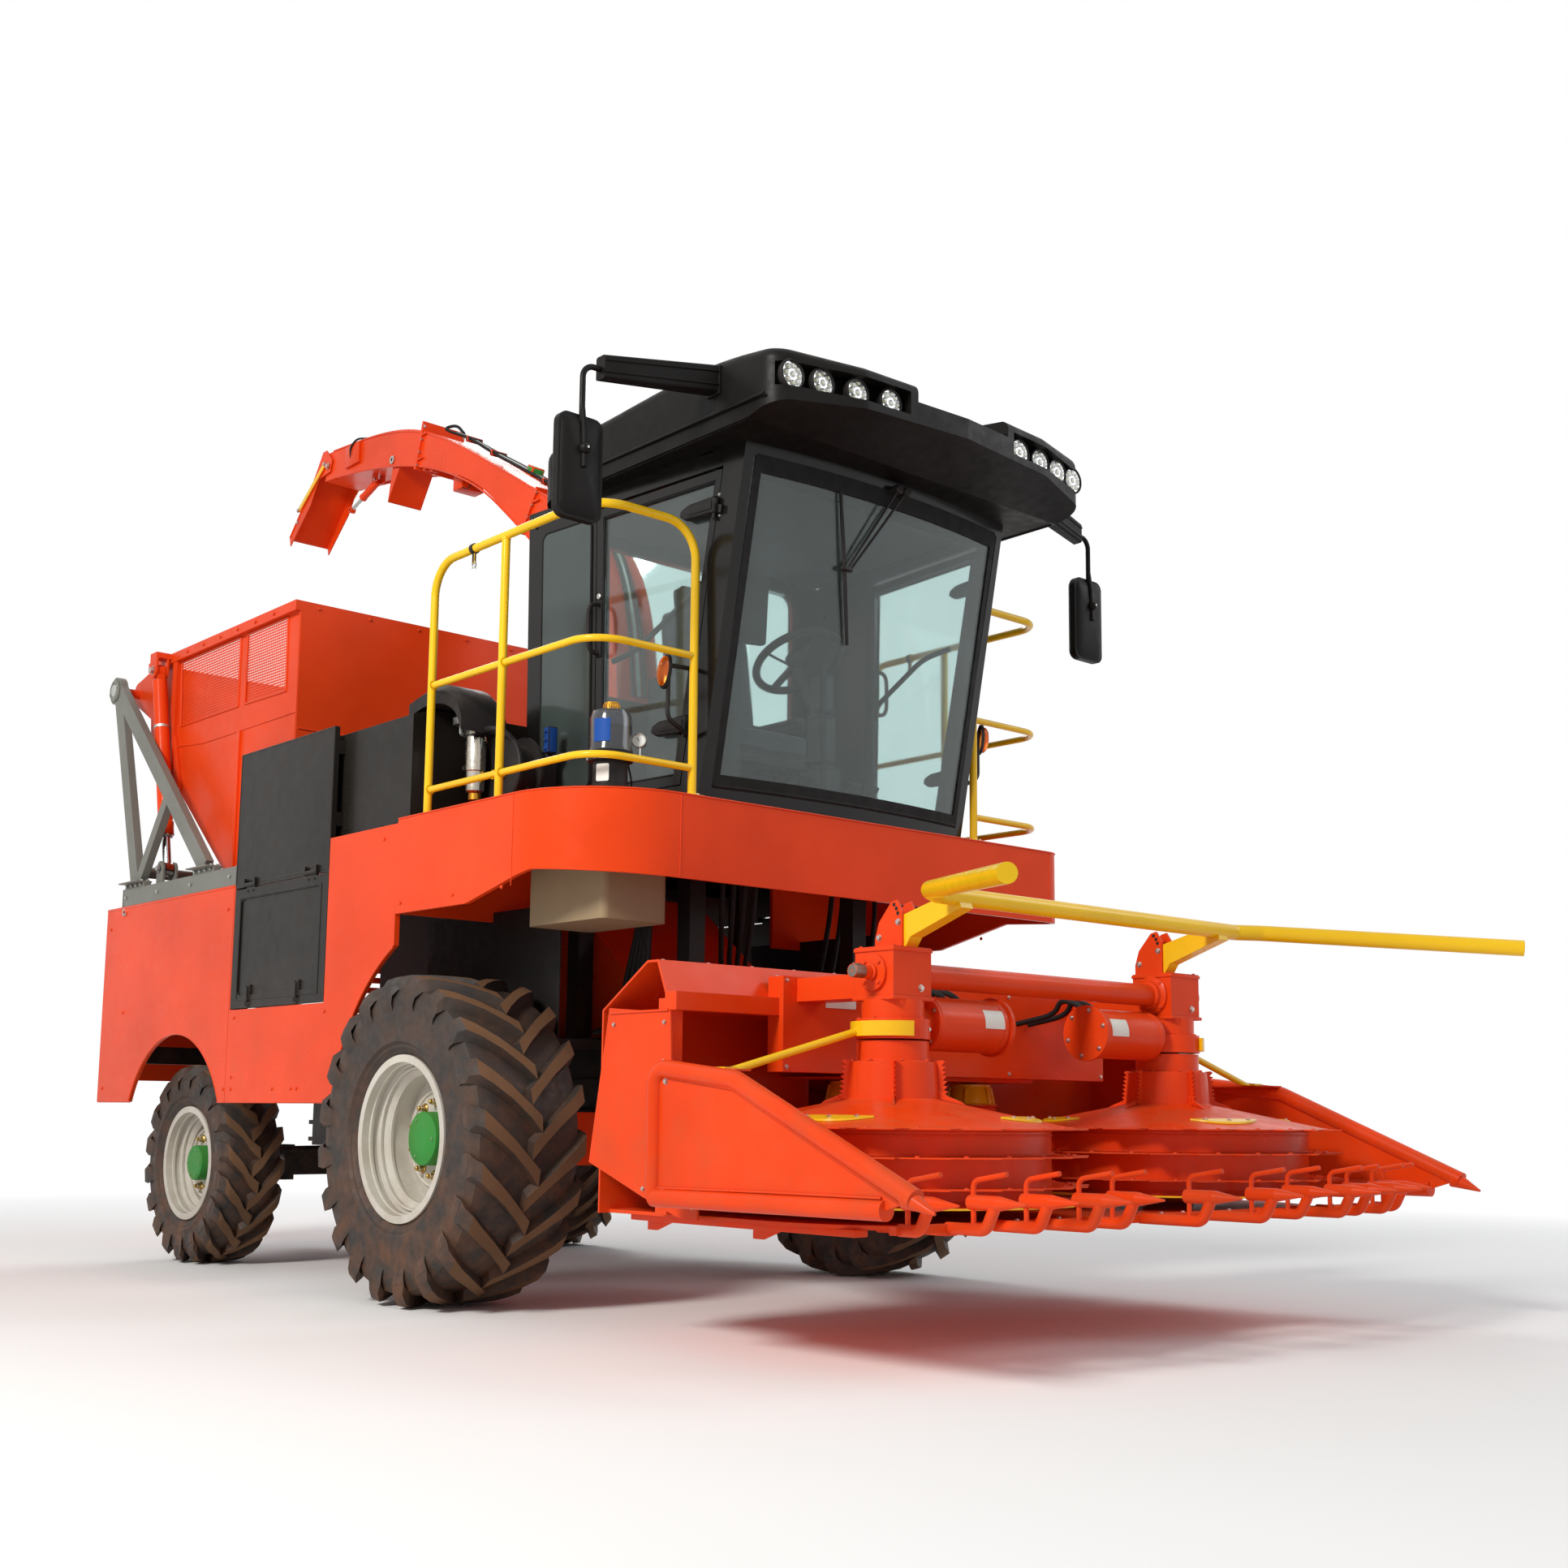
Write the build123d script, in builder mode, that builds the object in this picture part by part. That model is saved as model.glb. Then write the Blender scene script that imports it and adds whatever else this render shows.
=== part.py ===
"""Self-propelled forage harvester with a two-drum maize header and a rear tipping bin.

Millimetres. +X forward, +Y to the driver's left, +Z up, z = 0 on the ground.
The origin lies on the ground under the middle of the whole machine.
"""
from build123d import *
from math import atan2, cos, degrees, radians, sin, sqrt
import os

os.makedirs("parts", exist_ok=True)

# ------------------------------------------------------------------ driving dimensions
SEAT = 0.3              # clearance between a piece and what carries it
RUN = 6                 # clearance round a part that moves
CHOP_Y = 400            # half width of the cutting drum housing
AXLE_X = 299            # front axle ahead of the origin
WHEELBASE = 2435
RIGHT, LEFT = -1, 1
SIDES = ((RIGHT, "right"), (LEFT, "left"))

# wheels: outer radius, section width, flange radius, distance between flanges, centre off the middle
FRONT_R, FRONT_W, FRONT_RIM, FRONT_BEAD, FRONT_Y = 650, 500, 330, 406, 1185
REAR_R, REAR_W, REAR_RIM, REAR_BEAD, REAR_Y = 490, 330, 280, 254, 1053
FRONT_DISH, REAR_DISH = 50, 35      # outer face of the wheel disc outboard of the wheel's middle
DISC = 14                           # wheel disc plate
KING_Y = 830                        # kingpin off the middle
KING_R = 24

# body
BODY_Y = 1350           # half width over the side panels
PANEL = 24              # thickness of a folded side panel
BODY_Z = 790            # lower edge of the side panels
BODY_BACK = AXLE_X - 3240
SEAM_X = AXLE_X - 1700  # joint between the rear and the front side panel
DOOR_BACK, DOOR_FRONT = AXLE_X - 1690, AXLE_X - 770
DOOR_LOW, DOOR_HIGH = 1218, 1816
PANEL_TOP = 1935        # top of the side panel ahead of the door
HOOD_TOP = 2436
RAIL_LOW, RAIL_HIGH = 1812, 1902    # rails that carry the bin and its tipping frame
RAIL_BACK, RAIL_FRONT = AXLE_X - 3040, AXLE_X - 1690
ARCH_X, ARCH_Z, ARCH_R = AXLE_X + 227, 603, 926
BACK_ARCH_X, BACK_ARCH_Z, BACK_ARCH_R = AXLE_X - 2300, 538, 588
FRAME_Y0, FRAME_Y1 = 420, 500       # chassis rail, inner and outer face
FRAME_LOW, FRAME_HIGH = 900, 1080

# deck under the cab
DECK_BACK, DECK_FRONT = AXLE_X - 190, AXLE_X + 1112
DECK_TOP = 1955
DECK_PLATE = 20
APRON_LOW = 1632        # lower edge of the apron at the front
APRON_BACK_LOW = 1556   # lower edge behind the front wheel

# cab
CAB_BACK = AXLE_X - 30
CAB_LOW, CAB_HIGH = DECK_TOP, 3330
CAB_Y_FRONT, CAB_Y_BACK = 745, 835
CAB_FRONT_LOW, CAB_FRONT_HIGH = AXLE_X + 1020, AXLE_X + 1280
CAB_BULGE = 70          # how far the screen bows ahead of its corners
CAB_WALL = 50
GLASS = 8
DOOR_GAP = 5

# spout
SPOUT_X = AXLE_X - 515  # turning axis
SPOUT_Z = 2600          # turning ring
SPOUT_HALF = 120
SPOUT_WALL = 8

# bin and tipping frame
BIN_FRONT, BIN_BACK = AXLE_X - 1470, AXLE_X - 3150
BIN_TOP, BIN_FLOOR = 3185, 1910
TIP_X, TIP_Z = AXLE_X - 3320, 3030

# header
DRUM_X, DRUM_Y = AXLE_X + 2090, 760
DRUM_R, BLADE_R = 520, 640
HEAD_FLOOR = 420
LIFT_X, LIFT_Z = AXLE_X + 560, 1010     # pivot of the feeder house
DIVIDER_Y = 1500
TRUNNION_R = 40


def write(piece, label):
    """Name a finished piece and write it to its own file."""
    piece.part.label = label
    export_step(piece.part, f"parts/{label}.step")


def block(x0, x1, y0, y1, z0, z1, mode=Mode.ADD):
    """A square block between two corners."""
    with Locations(((x0 + x1) / 2, (y0 + y1) / 2, (z0 + z1) / 2)):
        Box(x1 - x0, y1 - y0, z1 - z0, mode=mode)


def tube(points, radius, bend, mode=Mode.ADD):
    """A round tube bent through the points."""
    with BuildLine() as path:
        if len(points) == 2:
            Line(*points)
        else:
            FilletPolyline(*points, radius=bend)
    with BuildSketch(Plane(origin=path.line @ 0, z_dir=path.line % 0)) as ring:
        Circle(radius)
    sweep(sections=ring.sketch, path=path.line, mode=mode)


def wheel_plane(x, y, z, side):
    """Local x points outboard along the axle and local y up."""
    return Plane(origin=(x, y, z), x_dir=(0, side, 0), z_dir=(side, 0, 0))


def tyre(x, y, z, side, radius, width, rim, bead, label):
    """Hollow tyre whose beads stand on the rim between its flanges."""
    half, seat, crown = width / 2, rim - 20 + SEAT, radius - 28
    foot = bead / 2 - SEAT
    middle = (rim + crown) / 2
    with BuildPart() as piece:
        with BuildSketch(wheel_plane(x, y, z, side)):
            with BuildLine():
                Polyline((0, radius), (half - 45, radius), (half - 12, crown))
                ThreePointArc((half - 12, crown), (half, middle), (foot, rim + 6))
                Polyline((foot, rim + 6), (foot, seat), (foot - 34, seat))
                ThreePointArc((foot - 34, seat), (half - 26, middle), (half - 60, crown - 30))
                Polyline((half - 60, crown - 30), (0, crown - 26), (0, radius))
            make_face()
            mirror(about=Plane.YZ)
        revolve(axis=Axis((x, y, z), (0, side, 0)))
    write(piece, label)


def rim(x, y, z, side, flange, bead, dish, hub_r, label):
    """Drop-centre rim, dished disc and hub cap turned in one piece."""
    edge, seat, well, lip = bead / 2, flange - 20, flange - 62, 12
    with BuildPart() as piece:
        with BuildSketch(wheel_plane(x, y, z, side)):
            with BuildLine():
                Polyline((0, well), (edge - 95, well), (edge - 62, seat), (edge, seat), (edge, flange),
                         (edge + lip, flange), (edge + lip, seat - 10), (edge - 58, seat - 10),
                         (edge - 90, well - 10), (0, well - 10), (0, well))
            make_face()
            mirror(about=Plane.YZ)
            with BuildLine():
                Polyline((dish - DISC, 0), (dish - DISC, hub_r + 60), (dish - DISC - 30, well - 5),
                         (dish - 30, well - 5), (dish, hub_r + 60), (dish, hub_r), (dish + 28, hub_r),
                         (dish + 34, hub_r * 0.62), (dish + 62, hub_r * 0.55), (dish + 66, 0),
                         (dish - DISC, 0))
            make_face()
        revolve(axis=Axis((x, y, z), (0, side, 0)))
    write(piece, label)


# ------------------------------------------------------------------ wheels
for side, word in SIDES:
    tyre(AXLE_X, side * FRONT_Y, FRONT_R, side, FRONT_R, FRONT_W, FRONT_RIM, FRONT_BEAD,
         f"front_tyre_{word}")
    rim(AXLE_X, side * FRONT_Y, FRONT_R, side, FRONT_RIM, FRONT_BEAD, FRONT_DISH, 105,
        f"front_rim_{word}")
    tyre(AXLE_X - WHEELBASE, side * REAR_Y, REAR_R, side, REAR_R, REAR_W, REAR_RIM, REAR_BEAD,
         f"rear_tyre_{word}")
    rim(AXLE_X - WHEELBASE, side * REAR_Y, REAR_R, side, REAR_RIM, REAR_BEAD, REAR_DISH, 85,
        f"rear_rim_{word}")

# ------------------------------------------------------------------ axles
AXLE_TOP = FRONT_R + 110
with BuildPart() as front_axle:
    block(AXLE_X - 110, AXLE_X + 110, -860, 860, FRONT_R - 110, AXLE_TOP)
    with BuildSketch(Plane.XZ.offset(-(FRONT_Y + FRONT_DISH - DISC - SEAT))):
        with Locations((AXLE_X, FRONT_R)):
            Circle(150)
    extrude(amount=FRONT_Y + FRONT_DISH - DISC - SEAT - 860)
    mirror(about=Plane.XZ)
    with Locations((AXLE_X, 0, FRONT_R)):
        Cylinder(150, 300, rotation=(90, 0, 0))
write(front_axle, "front_axle")

REAR_X = AXLE_X - WHEELBASE
FORK = 60               # half height inside the rear axle's fork
with BuildPart() as rear_axle:
    block(REAR_X - 70, REAR_X + 70, -700, 700, REAR_R - 65, REAR_R + 65)
    block(REAR_X - 90, REAR_X + 90, -90, 90, REAR_R - 80, REAR_R + 95)
    for side in (RIGHT, LEFT):
        for low in (REAR_R + FORK, REAR_R - FORK - 30):
            with BuildSketch(Plane.XY.offset(low)):
                with Locations((REAR_X, side * KING_Y)):
                    Circle(46)
                with Locations((REAR_X, side * (KING_Y + 640) / 2)):
                    Rectangle(92, KING_Y - 640)
            extrude(amount=30)
        block(REAR_X - 60, REAR_X + 60, side * 670 - 30, side * 670 + 30, REAR_R - FORK - 30,
              REAR_R + FORK + 30)
        with Locations((REAR_X, side * KING_Y, REAR_R)):
            Cylinder(KING_R, 260, mode=Mode.SUBTRACT)
write(rear_axle, "rear_axle")

for side, word in SIDES:
    with BuildPart() as knuckle:
        with Locations((REAR_X, side * KING_Y, REAR_R)):
            Cylinder(50, 2 * FORK - 4)
            Cylinder(KING_R - 0.1, 2 * FORK + 90)
        reach = REAR_Y + REAR_DISH - DISC - SEAT
        with BuildSketch(Plane.XZ.offset(-side * KING_Y)):
            with Locations((REAR_X, REAR_R)):
                Circle(45)
        extrude(amount=-side * (reach - KING_Y - 30))
        with BuildSketch(Plane.XZ.offset(-side * (reach - 30))):
            with Locations((REAR_X, REAR_R)):
                Circle(95)
        extrude(amount=-side * 30)
    write(knuckle, f"knuckle_{word}")

# ------------------------------------------------------------------ chassis frame
HITCH_X, HITCH_Z, HITCH_R = BODY_BACK - 70, 640, 16
with BuildPart() as main_frame:
    for side in (RIGHT, LEFT):
        middle = side * (FRAME_Y0 + FRAME_Y1) / 2
        with Locations(((BODY_BACK + PANEL + AXLE_X + 700) / 2, middle, (FRAME_LOW + FRAME_HIGH) / 2)):
            Box(AXLE_X + 700 - BODY_BACK - PANEL, FRAME_Y1 - FRAME_Y0, FRAME_HIGH - FRAME_LOW)
        # saddle over the front axle
        block(AXLE_X - 130, AXLE_X + 130, middle - 60, middle + 60, AXLE_TOP, FRAME_LOW)
        # posts under the deck and under the bin rails: x, half length, foot, head
        for post_x, post_z in ((AXLE_X - 130, DECK_TOP - DECK_PLATE), (AXLE_X + 640, DECK_TOP - DECK_PLATE)):
            block(post_x - 40, post_x + 40, middle - 40, middle + 40, FRAME_HIGH, post_z)
        for post_x in (RAIL_BACK + 60, RAIL_FRONT - 60):
            block(post_x - 40, post_x + 40, side * (BODY_Y - 70) - 30, side * (BODY_Y - 70) + 30,
                  FRAME_HIGH, RAIL_LOW)
    # cross beams out to the side panels: x, lower face, half length
    for beam_x, beam_z in ((RAIL_BACK + 60, 990), (RAIL_FRONT - 60, 990), (DOOR_FRONT + 60, 990)):
        block(beam_x - 40, beam_x + 40, -(BODY_Y - PANEL), BODY_Y - PANEL, beam_z, FRAME_HIGH)
    block(REAR_X - 110, REAR_X + 110, -FRAME_Y0, FRAME_Y0, FRAME_LOW, FRAME_HIGH)
    block(REAR_X - 110, REAR_X + 110, -130, 130, REAR_R + 95, FRAME_LOW)
    # towing jaw at the back
    block(BODY_BACK + PANEL, BODY_BACK + 200, -110, 110, 560, FRAME_LOW)
    block(BODY_BACK + PANEL, BODY_BACK + 200, -FRAME_Y0, FRAME_Y0, FRAME_LOW, FRAME_HIGH)
    for low in (HITCH_Z - 60, HITCH_Z + 36):
        block(HITCH_X - 50, BODY_BACK + PANEL, -60, 60, low, low + 24)
    with Locations((HITCH_X, 0, HITCH_Z)):
        Cylinder(HITCH_R, 200, mode=Mode.SUBTRACT)
    # trunnion holes of the feeder house
    with Locations((LIFT_X, 0, LIFT_Z)):
        Cylinder(TRUNNION_R + 0.08, 2 * FRAME_Y1 + 20, rotation=(90, 0, 0), mode=Mode.SUBTRACT)
write(main_frame, "main_frame")

with BuildPart() as engine_block:
    block(AXLE_X - 1560, AXLE_X - 760, -640, 640, FRAME_HIGH, 1890)
    chamfer(engine_block.edges().filter_by(Axis.Y), length=60)
write(engine_block, "engine_block")

CHOP_FRONT = LIFT_X - 230           # mouth that faces the feeder house
with BuildPart() as chopper_housing:
    # cutting drum housing between the chassis rails, rising to the neck of the spout
    with BuildSketch(Plane.XZ.offset(-CHOP_Y)):
        with BuildLine():
            Polyline((CHOP_FRONT, 810), (CHOP_FRONT, 1200), (AXLE_X + 60, 1420), (SPOUT_X + 140, 1760),
                     (SPOUT_X - 140, 1760), (SPOUT_X - 140, 1150), (AXLE_X - 250, 830), (CHOP_FRONT, 810))
        make_face()
    extrude(amount=2 * CHOP_Y)
    with BuildSketch(Plane.XZ.offset(-CHOP_Y + 10)):
        with BuildLine():
            Polyline((CHOP_FRONT + 5, 850), (CHOP_FRONT + 5, 1170), (CHOP_FRONT - 250, 1170),
                     (CHOP_FRONT - 250, 850), (CHOP_FRONT + 5, 850))
        make_face()
    extrude(amount=2 * (CHOP_Y - 10), mode=Mode.SUBTRACT)
    # neck up to the turning ring
    block(SPOUT_X - 140, SPOUT_X + 140, -140, 140, 1740, SPOUT_Z - 30)
    with Locations((SPOUT_X, 0, SPOUT_Z - 0.5)):
        Cylinder(230, 30, align=(Align.CENTER, Align.CENTER, Align.MAX))
    block(SPOUT_X - 120, SPOUT_X + 120, -120, 120, 1900, SPOUT_Z, mode=Mode.SUBTRACT)
write(chopper_housing, "chopper_housing")

# ------------------------------------------------------------------ side panels and back wall
with BuildPart() as body_panels:
    for side in (RIGHT, LEFT):
        # rear panel under the rail, open round the steered wheel
        with BuildSketch(Plane.XZ.offset(-side * BODY_Y)):
            with BuildLine():
                Polyline((BODY_BACK, BODY_Z), (SEAM_X - 2, BODY_Z), (SEAM_X - 2, RAIL_LOW - SEAT),
                         (BODY_BACK, RAIL_LOW - SEAT), (BODY_BACK, BODY_Z))
            make_face()
            with Locations((BACK_ARCH_X, BACK_ARCH_Z)):
                Circle(BACK_ARCH_R, mode=Mode.SUBTRACT)
        extrude(amount=side * PANEL)
        # front panel under and ahead of the access door
        with BuildSketch(Plane.XZ.offset(-side * BODY_Y)):
            with BuildLine():
                Polyline((SEAM_X + 2, BODY_Z), (AXLE_X - 190, BODY_Z), (AXLE_X - 190, PANEL_TOP),
                         (DOOR_FRONT, PANEL_TOP), (DOOR_FRONT, DOOR_LOW), (SEAM_X + 2, DOOR_LOW),
                         (SEAM_X + 2, BODY_Z))
            make_face()
            with Locations((ARCH_X, ARCH_Z)):
                Circle(ARCH_R, mode=Mode.SUBTRACT)
        extrude(amount=side * PANEL)
        # inner wall of the door opening, back to the seam
        block(SEAM_X + 2, DOOR_BACK, side * (BODY_Y - PANEL / 2) - PANEL / 2,
              side * (BODY_Y - PANEL / 2) + PANEL / 2, DOOR_LOW, RAIL_LOW - SEAT)
    # back wall between the side panels
    block(BODY_BACK, BODY_BACK + PANEL - SEAT, -(BODY_Y - PANEL - SEAT), BODY_Y - PANEL - SEAT, 905,
          RAIL_LOW - SEAT)
    for z in range(1000, 1760, 60):
        block(BODY_BACK - 1, BODY_BACK + PANEL, -700, 700, z, z + 26, mode=Mode.SUBTRACT)
write(body_panels, "body_panels")

# ------------------------------------------------------------------ engine hood
HOOD_BACK = AXLE_X - 1250
HOOD_Y = BODY_Y - 55    # half width over the hood
HOOD_EDGE = 95          # width of the sloping edge of its top
HINGE_Y, HINGE_Z = BODY_Y + 2, DOOR_HIGH - 16   # axis of the access doors
HINGES_X = (DOOR_BACK + 160, DOOR_FRONT - 160)
HINGE_R = 6
with BuildPart() as engine_hood:
    # closed hood between the bin and the neck of the spout
    block(HOOD_BACK, DECK_BACK - 5, -HOOD_Y, HOOD_Y, PANEL_TOP + SEAT, HOOD_TOP - 30)
    with BuildSketch(Plane.YZ.offset(HOOD_BACK)):
        with BuildLine():
            Polyline((-HOOD_Y, HOOD_TOP - 30), (-HOOD_Y + HOOD_EDGE, HOOD_TOP), (HOOD_Y - HOOD_EDGE, HOOD_TOP),
                     (HOOD_Y, HOOD_TOP - 30), (-HOOD_Y, HOOD_TOP - 30))
        make_face()
    extrude(amount=DECK_BACK - 5 - HOOD_BACK)
    # hollow, open below
    block(HOOD_BACK + PANEL, DECK_BACK - 5 - PANEL, -HOOD_Y + PANEL, HOOD_Y - PANEL, PANEL_TOP - 10,
          HOOD_TOP - 30 - PANEL, mode=Mode.SUBTRACT)
    # neck of the spout comes up through the top
    block(SPOUT_X - 240, SPOUT_X + 240, -240, 240, HOOD_TOP - 60, HOOD_TOP + 10, mode=Mode.SUBTRACT)
write(engine_hood, "engine_hood")

with BuildPart() as hood_sides:
    for side in (RIGHT, LEFT):
        block(DOOR_BACK, DOOR_FRONT, side * (BODY_Y - PANEL / 2) - PANEL / 2,
              side * (BODY_Y - PANEL / 2) + PANEL / 2, HINGE_Z - 10, HOOD_TOP)
        # lugs and pins of the access door
        for x in HINGES_X:
            block(x - 66, x + 66, side * BODY_Y - 30, side * BODY_Y + 30, HINGE_Z - 12, HINGE_Z + 17,
                  mode=Mode.SUBTRACT)
            for lug in (x - 52, x + 52):
                block(lug - 8, lug + 8, side * (HINGE_Y - 1) - 11, side * (HINGE_Y - 1) + 11, HINGE_Z,
                      HINGE_Z + 28)
                with Locations((lug, side * HINGE_Y, HINGE_Z)):
                    Cylinder(11, 16, rotation=(0, 90, 0))
            with Locations((x, side * HINGE_Y, HINGE_Z)):
                Cylinder(HINGE_R, 120, rotation=(0, 90, 0))
        # straps from the door frame back to the hood
        strap = side * (HOOD_Y + 15.5)
        for low in (PANEL_TOP + 60, HOOD_TOP - 120):
            block(HOOD_BACK + 40, DOOR_FRONT, strap - 15.2, strap + 15.5, low, low + 60)
write(hood_sides, "hood_sides")

# access doors hang from the seam above them
for side, word in SIDES:
    with BuildPart() as access_door:
        block(DOOR_BACK + DOOR_GAP, DOOR_FRONT - DOOR_GAP, side * (BODY_Y - PANEL / 2) - PANEL / 2,
              side * (BODY_Y - PANEL / 2) + PANEL / 2, DOOR_LOW + DOOR_GAP, HINGE_Z - 17)
        with BuildSketch(Plane.XZ.offset(-side * BODY_Y)):
            with Locations(((DOOR_BACK + DOOR_FRONT) / 2, (DOOR_LOW + HINGE_Z) / 2)):
                RectangleRounded(DOOR_FRONT - DOOR_BACK - 120, HINGE_Z - DOOR_LOW - 130, 40)
        extrude(amount=side * 6, mode=Mode.SUBTRACT)
        for x in HINGES_X:
            with Locations((x, side * HINGE_Y, HINGE_Z)):
                Cylinder(11, 84, rotation=(0, 90, 0))
            block(x - 42, x + 42, side * (BODY_Y - 6) - 6, side * (BODY_Y - 6) + 6, HINGE_Z - 20, HINGE_Z)
            with Locations((x, side * HINGE_Y, HINGE_Z)):
                Cylinder(HINGE_R + 0.06, 100, rotation=(0, 90, 0), mode=Mode.SUBTRACT)
    write(access_door, f"access_door_{word}")

# ------------------------------------------------------------------ deck and what stands on it
def deck_plan(margin):
    """Plan of the deck: a wide round corner on the right and a tight one on the left."""
    with BuildSketch() as plan:
        with Locations(((DECK_BACK + DECK_FRONT) / 2, 0)):
            Rectangle(DECK_FRONT - DECK_BACK - 2 * margin, 2 * (BODY_Y - margin))
        front = plan.vertices().group_by(Axis.X)[-1].sort_by(Axis.Y)
        fillet(front[0], radius=450 - margin)
        fillet(plan.vertices().group_by(Axis.X)[-1].sort_by(Axis.Y)[-1], radius=110 - margin)
    return plan.sketch


with BuildPart() as deck:
    with BuildSketch(Plane.XY.offset(DECK_TOP)):
        add(deck_plan(0))
    extrude(amount=-(DECK_TOP - APRON_BACK_LOW))
    with BuildSketch(Plane.XY.offset(DECK_TOP - DECK_PLATE)):
        add(deck_plan(DECK_PLATE))
    extrude(amount=-(DECK_TOP - APRON_BACK_LOW), mode=Mode.SUBTRACT)
    # lower edge of the apron rises towards the front
    with BuildSketch(Plane.XZ.offset(-BODY_Y - 10)):
        with BuildLine():
            Polyline((DECK_BACK - 1, APRON_BACK_LOW - 10), (DECK_FRONT + 1, APRON_BACK_LOW - 10),
                     (DECK_FRONT + 1, APRON_LOW), (AXLE_X + 766, APRON_LOW + 23),
                     (AXLE_X + 345, APRON_BACK_LOW + 2), (DECK_BACK - 1, APRON_BACK_LOW + 2),
                     (DECK_BACK - 1, APRON_BACK_LOW - 10))
        make_face()
    extrude(amount=2 * BODY_Y + 20, mode=Mode.SUBTRACT)
    # open behind, over the chassis
    block(DECK_BACK - 1, DECK_BACK + DECK_PLATE + 1, -700, 700, APRON_BACK_LOW - 1, DECK_TOP - DECK_PLATE,
          mode=Mode.SUBTRACT)
write(deck, "deck")

with BuildPart() as toolbox:
    block(AXLE_X + 400, AXLE_X + 905, -1100, -790, 1482, DECK_TOP - DECK_PLATE - SEAT)
    fillet(toolbox.edges().filter_by(Axis.Z), radius=30)
write(toolbox, "toolbox")

# handrails: points of the right rail, the left one has a tighter front corner
RAIL_R = 17
RAIL_TOP, RAIL_MIDDLE, RAIL_FOOT = 3030, 2510, 2010
with BuildPart() as railings:
    for side, corner in ((RIGHT, 420), (LEFT, 150)):
        y = side * (BODY_Y - 75)
        back, front, inner = AXLE_X - 90, AXLE_X + 1050, side * 800
        tube([(back, y, DECK_TOP + SEAT), (back, y, RAIL_TOP), (front, y, RAIL_TOP),
              (front, inner, RAIL_TOP), (front, inner, DECK_TOP + SEAT)], RAIL_R, 130 if side > 0 else 140)
        for z in (RAIL_MIDDLE, RAIL_FOOT + 60):
            tube([(back, y, z), (front, y, z), (front, inner, z)], RAIL_R - 3, 130 if side > 0 else 140)
        with Locations((AXLE_X + 440, y, (DECK_TOP + SEAT + RAIL_TOP) / 2)):
            Cylinder(RAIL_R, RAIL_TOP - DECK_TOP - SEAT)
write(railings, "railings")

with BuildPart() as lubricator:
    with Locations((AXLE_X + 985 - 40, -1110, DECK_TOP + SEAT)):
        Cylinder(70, 40, align=(Align.CENTER, Align.CENTER, Align.MIN))
    with Locations((AXLE_X + 985 - 40, -1110, DECK_TOP + SEAT + 40)):
        Cylinder(58, 240, align=(Align.CENTER, Align.CENTER, Align.MIN))
    with Locations((AXLE_X + 985 - 40, -1110, DECK_TOP + SEAT + 280)):
        Cylinder(66, 55, align=(Align.CENTER, Align.CENTER, Align.MIN))
write(lubricator, "lubricator")

# ------------------------------------------------------------------ cab
LEAN = (CAB_FRONT_HIGH - CAB_FRONT_LOW) / (CAB_HIGH - CAB_LOW)
TAPER = (CAB_Y_BACK - CAB_Y_FRONT) / (CAB_FRONT_LOW - CAB_BACK)


def cab_side(x, z):
    """Distance off the middle of the cab's side wall."""
    return CAB_Y_BACK - TAPER * (x - CAB_BACK - LEAN * (z - CAB_LOW))


def cab_block(low, high, margin):
    """Body of the cab between two heights, drawn in by a margin: it leans with its bowed screen."""
    front = CAB_FRONT_LOW - margin + LEAN * (low - CAB_LOW)
    tail = CAB_BACK - 400
    nose_y, tail_y = cab_side(front, low) - margin, cab_side(tail, low) - margin
    with BuildPart(mode=Mode.PRIVATE) as body:
        with BuildSketch(Plane.XY.offset(low)) as ring:
            with BuildLine():
                Polyline((front, -nose_y), (tail, -tail_y), (tail, tail_y), (front, nose_y))
                ThreePointArc((front, nose_y), (front + CAB_BULGE, 0), (front, -nose_y))
            make_face()
        extrude(ring.sketch, amount=(high - low) * sqrt(1 + LEAN ** 2), dir=(LEAN, 0, 1))
        block(tail - 500, CAB_BACK + margin, -1500, 1500, low - 10, high + 10, mode=Mode.SUBTRACT)
    return body.part


def cab_skin(low, high, outside, inside):
    """Wall of the cab between two margins inside its outline."""
    add(cab_block(low, high, outside))
    add(cab_block(low - 1, high + 1, inside), mode=Mode.SUBTRACT)


PILLAR_X = CAB_BACK + 440           # back edge of the door
POST_X = AXLE_X + 1005              # front edge of the door at its sill
DOOR_SILL, DOOR_HEAD = DECK_TOP + 70, CAB_HIGH - 70
def door_outline(margin, sill, head):
    """Side outline of a cab door: upright at the back, leaning with the screen at the front."""
    front = POST_X - 95
    with BuildLine() as edge:
        Polyline((PILLAR_X + margin, sill + margin),
                 (front - margin + LEAN * (sill - CAB_LOW), sill + margin),
                 (front - margin + LEAN * (head - CAB_LOW), head - margin),
                 (PILLAR_X + margin, head - margin),
                 (PILLAR_X + margin, sill + margin))
    make_face(edge.line)


CAB_HINGE_R, CAB_HINGE_OUT = 8, 14      # pin, and its distance outside the wall
CAB_HINGES_Z = (2250, 3090)


def cab_hinge_point(side, z):
    """Point of a cab door's hinge axis, which leans with the front pillar."""
    x = POST_X - 95 - DOOR_GAP / 2 + LEAN * (z - CAB_LOW)
    return Vector(x, side * (cab_side(x, z) + CAB_HINGE_OUT), z)


def cab_hinge_plane(side, z):
    """Local z along the hinge axis, x forward."""
    return Plane(origin=cab_hinge_point(side, z), x_dir=(1, 0, -LEAN), z_dir=(LEAN, 0, 1))


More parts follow.
